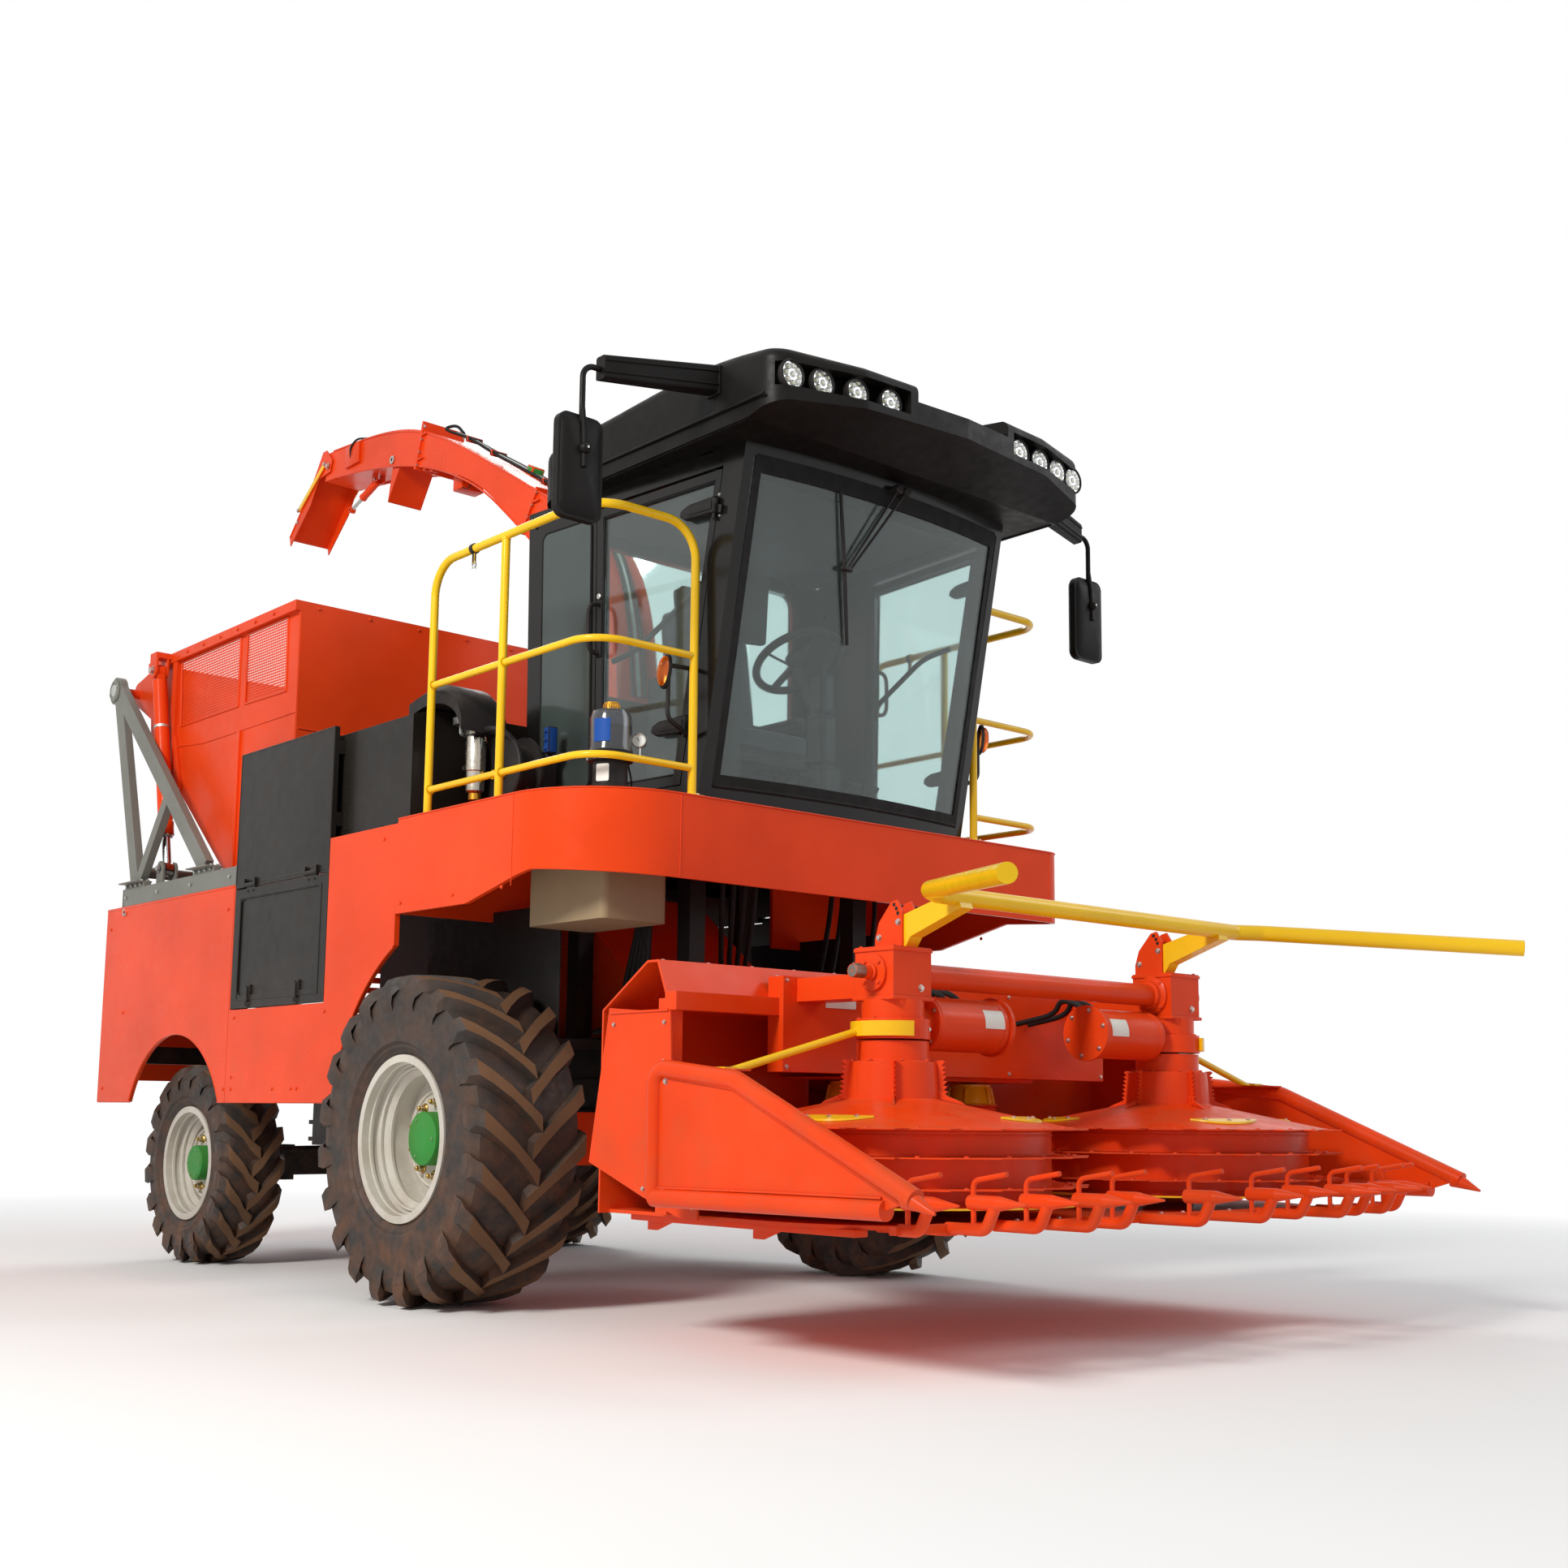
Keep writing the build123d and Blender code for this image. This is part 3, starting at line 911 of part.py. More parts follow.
# ------------------------------------------------------------------ header
HEAD_X = AXLE_X + 1250              # back wall of the header
SIDE_Y = 1343
FLOOR_R = 540                       # floor under each drum
SHELF_Z = 891
ROLL_X, ROLL_Y = AXLE_X + 1450, 330
with BuildPart() as header_frame:
    # floor with a round front under each drum
    with BuildSketch(Plane.XY.offset(HEAD_FLOOR)):
        with Locations(((HEAD_X + DRUM_X) / 2, 0)):
            Rectangle(DRUM_X - HEAD_X, 2 * (DRUM_Y + FLOOR_R))
        for side in (RIGHT, LEFT):
            with Locations((DRUM_X, side * DRUM_Y)):
                Circle(FLOOR_R)
        with Locations((DRUM_X + 200, 0)):
            Rectangle(400, 2 * DRUM_Y)
    extrude(amount=12)
    # back wall with the way into the feeder house
    block(HEAD_X, HEAD_X + 8, -SIDE_Y, SIDE_Y, HEAD_FLOOR, 1110)
    block(HEAD_X - 5, HEAD_X + 20, -FEED_Y + 8, FEED_Y - 8, 528, 1085, mode=Mode.SUBTRACT)
    for side in (RIGHT, LEFT):
        with BuildSketch(Plane.XZ.offset(-side * SIDE_Y)):
            with BuildLine():
                Polyline((AXLE_X + 1190, 590), (AXLE_X + 1500, 482), (AXLE_X + 1700, HEAD_FLOOR),
                         (AXLE_X + 1786, HEAD_FLOOR), (AXLE_X + 1786, 892), (AXLE_X + 1640, 892),
                         (AXLE_X + 1630, 1092), (AXLE_X + 1290, 1118), (AXLE_X + 1190, 590))
            make_face()
        extrude(amount=side * 8)
        # arm out to the gearbox, standing on the back beam
        block(AXLE_X + 1660, DRUM_X - 90 - SEAT, side * DRUM_Y - 60, side * DRUM_Y + 60, 1150, 1232)
        # corner post at the open end of the cover
        block(AXLE_X + 1566, AXLE_X + 1626, min(side * (SIDE_Y - 1), side * (SIDE_Y - 56)),
              max(side * (SIDE_Y - 1), side * (SIDE_Y - 56)), HEAD_FLOOR + 10, 1140)
        # pin of the feed roller under the shelf
        with Locations((ROLL_X, side * ROLL_Y, SHELF_Z)):
            Cylinder(25, 180, align=(Align.CENTER, Align.CENTER, Align.MAX))
    block(AXLE_X + 1600, AXLE_X + 1660, -SIDE_Y, SIDE_Y, 1100, 1162)
    # box over the middle of the beam
    block(AXLE_X + 1600, AXLE_X + 1680, -885, 885, 906, 1238)
    block(AXLE_X + 1595, AXLE_X + 1674, -879, 879, 912, 1232, mode=Mode.SUBTRACT)
    block(AXLE_X + 1600, AXLE_X + 1660, -884, 884, 1100, 1162)
    block(HEAD_X, AXLE_X + 1610, -520, 520, SHELF_Z, SHELF_Z + 8)
    block(AXLE_X + 1600, AXLE_X + 1610, -520, 520, SHELF_Z, 1110)
    # sloped cover from the back wall over the beam
    with BuildSketch(Plane.XZ.offset(-SIDE_Y)):
        with BuildLine():
            Polyline((HEAD_X, 1112), (AXLE_X + 1500, 1272), (AXLE_X + 1560, 1272), (AXLE_X + 1606, 1162),
                     (AXLE_X + 1600, 1156), (AXLE_X + 1554, 1264), (AXLE_X + 1503, 1264), (HEAD_X, 1104),
                     (HEAD_X, 1112))
        make_face()
    extrude(amount=2 * SIDE_Y)
write(header_frame, "header_frame")

SHAFT_R = 45
STUB_R = 22
COVER = 12              # round cover of a gearbox
with BuildPart() as header_drive:
    for side in (RIGHT, LEFT):
        block(DRUM_X - 90, DRUM_X + 90, side * DRUM_Y - 90, side * DRUM_Y + 90, 1141, 1316)
        for radius, low, high in ((105, 1077, 1141), (125, 1010, 1077), (SHAFT_R, 560, 1010)):
            with Locations((DRUM_X, side * DRUM_Y, low)):
                Cylinder(radius, high - low, align=(Align.CENTER, Align.CENTER, Align.MIN))
        # round cover on the outer face, and the plates that carry the bar
        with Locations((DRUM_X, side * (DRUM_Y + 90 + COVER / 2), 1230)):
            Cylinder(62, COVER, rotation=(90, 0, 0))
        for plate_y in (DRUM_Y - 68, DRUM_Y - 2):
            with BuildSketch(Plane.XZ.offset(-side * plate_y)):
                with BuildLine():
                    Polyline((AXLE_X + 2002, 1315), (AXLE_X + 2002, 1352), (AXLE_X + 2020, 1408),
                             (AXLE_X + 2078, 1474), (AXLE_X + 2104, 1480), (AXLE_X + 2130, 1440),
                             (AXLE_X + 2130, 1315), (AXLE_X + 2002, 1315))
                make_face()
            extrude(amount=side * 8)
        # hydraulic motor inboard of the column
        with Locations((DRUM_X, side * 448, 1070)):
            Cylinder(92, 355, rotation=(90, 0, 0))
        with Locations((DRUM_X, side * 264, 1070)):
            Cylinder(104, 14, rotation=(90, 0, 0))
        with Locations((DRUM_X, side * 640, 1070)):
            Cylinder(56, 60, rotation=(90, 0, 0))
    with Locations((DRUM_X, 0, 1230)):
        Cylinder(42, 2 * (DRUM_Y - 90), rotation=(90, 0, 0))
    with Locations((DRUM_X, -DRUM_Y - 90 - COVER - 45 + 1, 1230)):
        Cylinder(STUB_R, 92, rotation=(90, 0, 0))
write(header_drive, "header_drive")

# each rotor: hollow drum with two toothed discs, cone with the third, and hub above it
DRUM_TOP, CONE_TOP = 712, 812
TEETH = 24


def toothed_disc(side, low, bore):
    """Ring of saw teeth round one drum."""
    with BuildSketch(Plane.XY.offset(low)) as ring:
        with BuildLine():
            rim_points = []
            for n in range(TEETH):
                for radius, share in ((644, 0), (590, 0.92)):
                    turn = radians(side * (n + share) * 360 / TEETH)
                    rim_points.append((DRUM_X + radius * cos(turn), side * DRUM_Y + radius * sin(turn)))
            Polyline(*rim_points, rim_points[0])
        make_face()
        with Locations((DRUM_X, side * DRUM_Y)):
            Circle(bore, mode=Mode.SUBTRACT)
    return ring.sketch


for side, word in SIDES:
    with BuildPart() as rotor:
        with BuildSketch(Plane(origin=(DRUM_X, side * DRUM_Y, 0), x_dir=(1, 0, 0), z_dir=(0, -1, 0))):
            with BuildLine():
                Polyline((0, 482), (BLADE_R, 482), (BLADE_R, 488), (DRUM_R, 488), (DRUM_R, DRUM_TOP),
                         (SHAFT_R + 0.08, DRUM_TOP), (SHAFT_R + 0.08, 552), (0, 552), (0, 482))
            make_face()
            with BuildLine():
                Polyline((70, 500), (DRUM_R - 8, 500), (DRUM_R - 8, DRUM_TOP - 8), (70, DRUM_TOP - 8),
                         (70, 500))
            make_face(mode=Mode.SUBTRACT)
            with BuildLine():
                Polyline((SHAFT_R + 0.08, DRUM_TOP + SEAT), (DRUM_R, DRUM_TOP + SEAT), (600, 722),
                         (160, CONE_TOP), (SHAFT_R + 0.08, CONE_TOP), (SHAFT_R + 0.08, DRUM_TOP + SEAT))
            make_face()
            with BuildLine():
                Polyline((70, DRUM_TOP + 8), (480, DRUM_TOP + 8), (500, 730), (150, CONE_TOP - 9),
                         (70, CONE_TOP - 9), (70, DRUM_TOP + 8))
            make_face(mode=Mode.SUBTRACT)
            with BuildLine():
                Polyline((SHAFT_R + 0.08, CONE_TOP + SEAT), (160, CONE_TOP + SEAT), (150, 935), (120, 940),
                         (120, 1004), (SHAFT_R + 0.08, 1004), (SHAFT_R + 0.08, CONE_TOP + SEAT))
            make_face()
        revolve(axis=Axis((DRUM_X, side * DRUM_Y, 0), (0, 0, 1)))
        for low, bore in ((537, DRUM_R - 4), (631, DRUM_R - 4), (718, 580)):
            extrude(toothed_disc(side, low, bore), amount=5)
    write(rotor, f"rotor_{word}")

for side, word in SIDES:
    with BuildPart() as roller:
        with BuildSketch(Plane(origin=(ROLL_X, side * ROLL_Y, 0), x_dir=(1, 0, 0), z_dir=(0, -1, 0))):
            with BuildLine():
                Polyline((0, 470), (100, 470), (100, 800), (90, 803), (75, 885), (25.08, 885), (25.08, 705),
                         (0, 705), (0, 470))
            make_face()
        revolve(axis=Axis((ROLL_X, side * ROLL_Y, 0), (0, 0, 1)))
    write(roller, f"feed_roller_{word}")

# fingers that lead the crop to the drums: distance off the middle, tip
FINGERS = ((1300, 2880), (1100, 2951), (890, 2972), (700, 3017), (490, 2980), (175, 3043))
TINE_R, TINE_Z = 22, 512
FINGER_LEN = 210
with BuildPart() as crop_guides:
    block(AXLE_X + 2636, AXLE_X + 2666, -1330, 1330, HEAD_FLOOR, HEAD_FLOOR + 26)
    for side in (RIGHT, LEFT):
        for y, tip in FINGERS:
            base = AXLE_X + tip - FINGER_LEN
            with Locations(Location((base, side * y, TINE_Z), (0, 90, 0))):
                Cylinder(TINE_R, 110, align=(Align.CENTER, Align.CENTER, Align.MIN))
            with Locations(Location((base + 110, side * y, TINE_Z), (0, 90, 0))):
                Cone(TINE_R, 3, FINGER_LEN - 110, align=(Align.CENTER, Align.CENTER, Align.MIN))
            # upright with its hooked rod, and the bow that carries the finger
            tube([(base + 12, side * y, HEAD_FLOOR + 16), (base + 12, side * y, TINE_Z + 62),
                  (base + 140, side * y, TINE_Z + 84)], 8, 25)
            tube([(base + 100, side * y, TINE_Z), (base + 60, side * y, HEAD_FLOOR + 14),
                  (AXLE_X + 2650, side * y, HEAD_FLOOR + 14)], 18, 36)
        for y in (1100, 490):
            block(AXLE_X + 2280, AXLE_X + 2650, side * y - 25, side * y + 25, HEAD_FLOOR - 8 - SEAT,
                  HEAD_FLOOR - SEAT)
            block(AXLE_X + 2636, AXLE_X + 2666, side * y - 25, side * y + 25, HEAD_FLOOR - 8 - SEAT,
                  HEAD_FLOOR + 5)
write(crop_guides, "crop_guides")

with BuildPart() as dividers:
    for side in (RIGHT, LEFT):
        y = side * (DIVIDER_Y - 15)
        tube([(AXLE_X + 1742, y, HEAD_FLOOR + 75), (AXLE_X + 1742, y, 905), (AXLE_X + 2134, y, 862),
              (AXLE_X + 2900, side * (DIVIDER_Y - 5), 535)], 30, 50)
        tube([(AXLE_X + 1742, y, HEAD_FLOOR + 75), (AXLE_X + 2780, y, 500)], 30, 0)
        with BuildSketch(Plane.XZ.offset(-y)):
            with BuildLine():
                Polyline((AXLE_X + 1742, HEAD_FLOOR + 75), (AXLE_X + 2780, 500), (AXLE_X + 2890, 535),
                         (AXLE_X + 2134, 862), (AXLE_X + 1742, 900), (AXLE_X + 1742, HEAD_FLOOR + 75))
            make_face()
        extrude(amount=6, both=True)
        # plates in to the side wall: an upright one, and a flat one cut round the drum
        wall = side * (SIDE_Y + SEAT)
        block(AXLE_X + 1725, AXLE_X + 1737, min(wall, y), max(wall, y), 480, 890)
        with BuildSketch(Plane.XY.offset(896)):
            with BuildLine():
                Polyline((AXLE_X + 1725, wall), (AXLE_X + 1725, y), (AXLE_X + 2134, y),
                         (AXLE_X + 2134, wall), (AXLE_X + 1725, wall))
            make_face()
            with Locations((DRUM_X, side * DRUM_Y)):
                Circle(664, mode=Mode.SUBTRACT)
        extrude(amount=-6)
        with Locations(Location((AXLE_X + 2870, side * (DIVIDER_Y - 5), 540), (0, 112, 0))):
            Cone(32, 4, 110, align=(Align.CENTER, Align.CENTER, Align.MIN))
write(dividers, "dividers")

# stays from the columns out to the dividers, each held in a clamp half round its column
with BuildPart() as header_stays:
    for side in (RIGHT, LEFT):
        tube([(DRUM_X - 40, side * (DRUM_Y + 90), 1044), (AXLE_X + 2020, side * 1440, 884)], 13, 0)
        with BuildSketch(Plane.XY.offset(1018)):
            with Locations((DRUM_X, side * DRUM_Y)):
                Circle(143)
                Circle(125 + SEAT, mode=Mode.SUBTRACT)
                with Locations((0, -side * 60)):
                    Rectangle(400, 200, mode=Mode.SUBTRACT)
        extrude(amount=50)
        with Locations((DRUM_X, side * DRUM_Y, 1018)):
            Cylinder(125 + SEAT, 60, align=(Align.CENTER, Align.CENTER, Align.MIN), mode=Mode.SUBTRACT)
        block(AXLE_X + 1985, AXLE_X + 2055, side * 1436 - 26, side * 1436 + 26, 896 + SEAT, 904)
        block(AXLE_X + 1985, AXLE_X + 2055, side * 1400 - 80, side * 1400 + 80, 800, 896 + SEAT,
              mode=Mode.SUBTRACT)
write(header_stays, "header_stays")

with BuildPart() as push_bar:
    tube([(AXLE_X + 3200, -1458, 1400), (AXLE_X + 2420, -930, 1470), (AXLE_X + 2360, -830, 1470),
          (AXLE_X + 2360, 830, 1470), (AXLE_X + 2420, 930, 1470), (AXLE_X + 3200, 1458, 1400)], 30, 60)
    for side in (RIGHT, LEFT):
        # arm between the plates on the gearbox
        with BuildSketch(Plane.XZ.offset(-side * (DRUM_Y - 68 + SEAT))):
            with BuildLine():
                Polyline((AXLE_X + 2030, 1316 + SEAT), (AXLE_X + 2136, 1316 + SEAT), (AXLE_X + 2160, 1352),
                         (AXLE_X + 2390, 1432), (AXLE_X + 2366, 1492), (AXLE_X + 2120, 1426),
                         (AXLE_X + 2030, 1372), (AXLE_X + 2030, 1316 + SEAT))
            make_face()
        extrude(amount=-side * (58 - 2 * SEAT))
write(push_bar, "push_bar")
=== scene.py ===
"""Finish of a self-propelled forage harvester: paint, tyres, glass, bolts, hoses and trim.

Metres. +X forward, +Y to the driver's left, +Z up. The loaded frame gives the plain parts; each operator
below dresses one group of them, and the stage operator adds floor, lamps and camera.
"""

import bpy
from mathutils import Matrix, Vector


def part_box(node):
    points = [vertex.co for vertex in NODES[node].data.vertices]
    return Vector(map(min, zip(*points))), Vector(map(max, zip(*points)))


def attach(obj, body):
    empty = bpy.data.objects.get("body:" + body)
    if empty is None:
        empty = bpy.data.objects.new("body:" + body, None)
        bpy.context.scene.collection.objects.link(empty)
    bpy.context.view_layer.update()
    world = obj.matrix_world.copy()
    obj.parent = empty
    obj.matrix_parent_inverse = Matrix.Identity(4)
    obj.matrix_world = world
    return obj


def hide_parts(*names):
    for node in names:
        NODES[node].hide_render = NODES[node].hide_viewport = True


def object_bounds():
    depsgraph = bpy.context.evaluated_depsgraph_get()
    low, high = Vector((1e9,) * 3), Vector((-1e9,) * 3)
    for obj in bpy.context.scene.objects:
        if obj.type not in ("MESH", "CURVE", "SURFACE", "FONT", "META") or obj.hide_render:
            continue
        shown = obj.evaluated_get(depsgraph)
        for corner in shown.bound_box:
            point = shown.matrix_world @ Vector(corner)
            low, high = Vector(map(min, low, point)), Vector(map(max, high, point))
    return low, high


bl_info = {
    "name": "Forage harvester finish",
    "version": (1, 0, 0),
    "blender": (4, 5, 0),
    "location": "View3D > Sidebar > Harvester",
    "description": "Dresses the plain frame of a forage harvester with paint, tyres, glass and trim",
    "category": "Object",
}

from math import cos, pi, radians, sin, sqrt, tau

import bmesh
import bpy
from mathutils import Matrix, Vector

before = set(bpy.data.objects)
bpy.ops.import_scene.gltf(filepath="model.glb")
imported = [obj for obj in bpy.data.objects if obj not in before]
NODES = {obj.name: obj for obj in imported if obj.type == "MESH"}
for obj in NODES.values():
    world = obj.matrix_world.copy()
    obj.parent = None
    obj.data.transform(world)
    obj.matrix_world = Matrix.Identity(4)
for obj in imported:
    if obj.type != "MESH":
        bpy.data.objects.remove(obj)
CAD_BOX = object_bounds()
SIDES = ((-1, "right"), (1, "left"))
AXLE_X = sum(c.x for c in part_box("front_tyre_right")) / 2
X, Y, Z = Vector((1, 0, 0)), Vector((0, 1, 0)), Vector((0, 0, 1))


def at(x, y, z):
    """A place given from the front axle, in millimetres."""
    return Vector((AXLE_X + x / 1000, y / 1000, z / 1000))


# ------------------------------------------------------------------ settings
def colour(label, what, value):
    """A colour setting, as it looks on a screen."""
    return bpy.props.FloatVectorProperty(name=label, description=what, subtype="COLOR_GAMMA", size=3,
                                         min=0, max=1, default=[v / 255 for v in value])


def length(label, what, value):
    """A length setting in metres."""
    return bpy.props.FloatProperty(name=label, description=what, default=value, min=0, unit="LENGTH")


def share(label, what, value):
    """A setting between nothing and all."""
    return bpy.props.FloatProperty(name=label, description=what, default=value, min=0, max=1,
                                   subtype="FACTOR")


class HarvesterPaint(bpy.types.PropertyGroup):
    """Colours of the machine."""

    orange: colour("Orange", "Main paint of body, header and spout", (236, 68, 12))
    bin_orange: colour("Bin orange", "Paint of the bin", (228.92, 65.96, 11.64))
    charcoal: colour("Charcoal", "Hood panels and access doors", (30, 26, 22))
    grey: colour("Grey", "Tipping frame and its rails", (122, 122, 115))
    yellow: colour("Yellow", "Handrails and the bar in front", (250, 200, 18))
    green: colour("Green", "Hub caps", (52, 140, 58))
    silver: colour("Silver", "Wheel rims", (206, 201, 190))
    rubber: colour("Rubber", "Tyres", (40, 36, 33))
    roof: colour("Roof", "Cab roof and mirror housings", (15, 13, 12))
    glass: colour("Glass", "Tint of the cab glass", (222, 240, 238))
    tan: colour("Tan", "Tool box", (156, 136, 106))
    dust: colour("Dust", "Field dust on lower parts", (138, 102, 68))
    dirt: share("Dirt", "How dusty the lower parts are", 0.35)
    wear: share("Wear", "How bright the edges have worn", 0.35)


class HarvesterTyres(bpy.types.PropertyGroup):
    """Tread of the tyres."""

    front_lugs: bpy.props.IntProperty(name="Front lugs", description="Lugs on each side of a front tyre",
                                      default=20, min=8, max=40)
    rear_lugs: bpy.props.IntProperty(name="Rear lugs", description="Lugs on each side of a rear tyre",
                                     default=18, min=8, max=40)
    lug_height: length("Lug height", "How far the lugs stand above the tread", 0.042)


class HarvesterStage(bpy.types.PropertyGroup):
    """Floor, lamps and camera."""

    floor: colour("Floor", "Floor and backdrop", (250, 250, 249))
    key_power: bpy.props.FloatProperty(name="Key lamp", description="Strength of the main lamp", default=430,
                                       min=0, unit="POWER")
    fill_power: bpy.props.FloatProperty(name="Fill lamp", description="Strength of the fill lamp",
                                        default=190, min=0, unit="POWER")
    lens: bpy.props.FloatProperty(name="Lens", description="Focal length of the camera", default=41.05,
                                  min=1, unit="CAMERA")


def settings():
    """The three groups of settings of this scene."""
    scene = bpy.context.scene
    return scene.harvester_paint, scene.harvester_tyres, scene.harvester_stage


def linear(value):
    """A screen colour turned into the light it stands for."""
    return [v / 12.92 if v <= 0.04045 else ((v + 0.055) / 1.055) ** 2.4 for v in value]


# ------------------------------------------------------------------ materials
EDGE_R = 0.005    # how far wear reaches in from an edge


class Finish:
    """Node material built step by step from the machine's own space, so it stays put as bodies move."""

    def __init__(self, name):
        self.material = bpy.data.materials.new(name)
        self.material.use_nodes = True
        self.tree = self.material.node_tree
        self.shader = self.tree.nodes["Principled BSDF"]
        self.place = self.node("ShaderNodeTexCoord").outputs["Object"]

    def node(self, kind, **values):
        made = self.tree.nodes.new(kind)
        for key, value in values.items():
            setattr(made, key, value)
        return made

    def link(self, source, target):
        self.tree.links.new(source, target)

    def noise(self, scale, detail=4, rough=0.55, stretch=(1, 1, 1)):
        """A cloud of values between 0 and 1."""
        fitted = self.node("ShaderNodeMapping")
        fitted.inputs["Scale"].default_value = stretch
        self.link(self.place, fitted.inputs["Vector"])
        made = self.node("ShaderNodeTexNoise")
        for key, value in (("Scale", scale), ("Detail", detail), ("Roughness", rough)):
            made.inputs[key].default_value = value
        self.link(fitted.outputs[0], made.inputs["Vector"])
        return made.outputs["Fac"]

    def ramp(self, source, low, high, start=0.0, end=1.0):
        """Source moved from low..high to start..end."""
        made = self.node("ShaderNodeMapRange")
        for key, value in (("From Min", low), ("From Max", high), ("To Min", start), ("To Max", end)):
            made.inputs[key].default_value = value
        self.link(source, made.inputs["Value"])
        return made.outputs["Result"]

    def math(self, operation, a, b):
        """Result of one calculation, each side a socket or a number."""
        made = self.node("ShaderNodeMath", operation=operation)
        for socket, value in zip(made.inputs, (a, b)):
            if isinstance(value, (int, float)):
                socket.default_value = value
            else:
                self.link(value, socket)
        return made.outputs[0]

    def mix(self, amount, a, b):
        """Two colours mixed by an amount, each a socket or a colour."""
        made = self.node("ShaderNodeMix", data_type="RGBA")
        self.link(amount, made.inputs["Factor"])
        for socket, value in ((made.inputs[6], a), (made.inputs[7], b)):
            if isinstance(value, (list, tuple)):
                socket.default_value = (*value[:3], 1)
            else:
                self.link(value, socket)
        return made.outputs[2]

    def upward(self, source):
        """The vertical part of a direction or place."""
        parts = self.node("ShaderNodeSeparateXYZ")
        self.link(source, parts.inputs[0])
        return parts.outputs["Z"]

    def height(self):
        """Height above the ground."""
        return self.upward(self.place)

    def facing_up(self):
        """How far the surface faces the sky."""
        return self.upward(self.node("ShaderNodeNewGeometry").outputs["Normal"])

    def rounded(self, radius):
        """Normal with sharp edges rounded over."""
        made = self.node("ShaderNodeBevel")
        made.samples = 4
        made.inputs["Radius"].default_value = radius
        return made.outputs[0]

    def edges(self):
        """Bright along sharp edges."""
        apart = self.node("ShaderNodeVectorMath", operation="DOT_PRODUCT")
        self.link(self.node("ShaderNodeNewGeometry").outputs["Normal"], apart.inputs[0])
        self.link(self.rounded(EDGE_R), apart.inputs[1])
        return self.ramp(apart.outputs["Value"], 0.97, 0.80)

    def bump(self, source, strength, depth, round_over=0.0):
        """Fine relief, over edges rounded by a radius if one is given."""
        made = self.node("ShaderNodeBump")
        made.inputs["Strength"].default_value = strength
        made.inputs["Distance"].default_value = depth
        self.link(source, made.inputs["Height"])
        if round_over:
            self.link(self.rounded(round_over), made.inputs["Normal"])
        self.link(made.outputs[0], self.shader.inputs["Normal"])

    def set(self, **values):
        """Constants on the shader's own sockets."""
        for key, value in values.items():
            self.shader.inputs[key.replace("_", " ")].default_value = value


def painted(name, base, gloss=0.30, dirt=1.0, wear=1.0, coat=0.06, peel=0.04):
    """Sprayed paint: slow change of shade, orange peel, dust low down and on ledges, worn edges."""
    paint = settings()[0]
    f = Finish(name)
    base = linear(base)
    deep, pale = [v * 0.84 for v in base], [min(1, v * 1.05 + 0.004) for v in base]
    body = f.mix(f.ramp(f.noise(1.6, 3), 0.3, 0.7), deep, pale)
    body = f.mix(f.math("MULTIPLY", f.edges(), 0.5 * wear * paint.wear), body,
                 [min(1, v * 1.5 + 0.10) for v in base])
    low = f.ramp(f.height(), 0.25, 1.5, 0.8, 0.04)
    ledge = f.ramp(f.facing_up(), 0.55, 0.98, 0.0, 0.55)
    patch = f.ramp(f.noise(5.5, 8, 0.68), 0.42, 0.72)
    cover = f.math("MULTIPLY", f.math("MULTIPLY", f.math("ADD", low, ledge), patch), dirt * paint.dirt)
    body = f.mix(f.math("MINIMUM", cover, 0.85), body, linear(paint.dust))
    f.link(body, f.shader.inputs["Base Color"])
    sheen = f.math("ADD", f.ramp(f.noise(14, 5), 0.3, 0.7, gloss - 0.05, gloss + 0.08),
                   f.math("MULTIPLY", cover, 0.5))
    f.link(sheen, f.shader.inputs["Roughness"])
    f.bump(f.noise(260, 2), peel, 0.0006, 0.003)
    f.set(Coat_Weight=coat, Coat_Roughness=0.14, Specular_IOR_Level=0.14)
    return f.material


def moulded(name, base, rough=0.55, grain=900, depth=0.18, dirt=0.4, gleam=0.22):
    """Grained moulding or rubber with a little dust."""
    paint = settings()[0]
    f = Finish(name)
    base = linear(base)
    body = f.mix(f.ramp(f.noise(3.0, 4), 0.3, 0.7), [v * 0.8 for v in base], [v * 1.2 + 0.003 for v in base])
    ledge = f.ramp(f.facing_up(), 0.3, 1.0, 0.05, 0.5)
    cover = f.math("MULTIPLY", f.math("MULTIPLY", ledge, f.ramp(f.noise(7, 8, 0.65), 0.4, 0.75)),
                   dirt * paint.dirt * 2)
    body = f.mix(cover, body, linear(paint.dust))
    f.link(body, f.shader.inputs["Base Color"])
    f.link(f.ramp(f.noise(20, 4), 0.3, 0.7, rough - 0.06, rough + 0.1), f.shader.inputs["Roughness"])
    f.bump(f.noise(grain, 2), depth, 0.0008)
    f.set(Specular_IOR_Level=gleam)
    return f.material


WET_DUST = (0.95, 0.62, 0.38)    # share of the dust's red, green and blue that damp dust keeps


def tyre_rubber(name, base):
    """Dull rubber, caked with field dust between the lugs."""
    paint = settings()[0]
    f = Finish(name)
    base = linear(base)
    body = f.mix(f.ramp(f.noise(6, 6), 0.3, 0.7), [v * 0.8 for v in base], [v * 1.25 for v in base])
    low = f.ramp(f.height(), 0.05, 1.0, 1.2, 0.45)
    cover = f.math("MULTIPLY", f.math("MULTIPLY", f.ramp(f.noise(9, 9, 0.7), 0.38, 0.70), low),
                   1.2 * paint.dirt)
    body = f.mix(cover, body, [v * part for v, part in zip(linear(paint.dust), WET_DUST)])
    f.link(body, f.shader.inputs["Base Color"])
    f.link(f.ramp(f.noise(30, 4), 0.3, 0.7, 0.55, 0.75), f.shader.inputs["Roughness"])
    f.bump(f.noise(420, 4), 0.35, 0.0012)
    return f.material


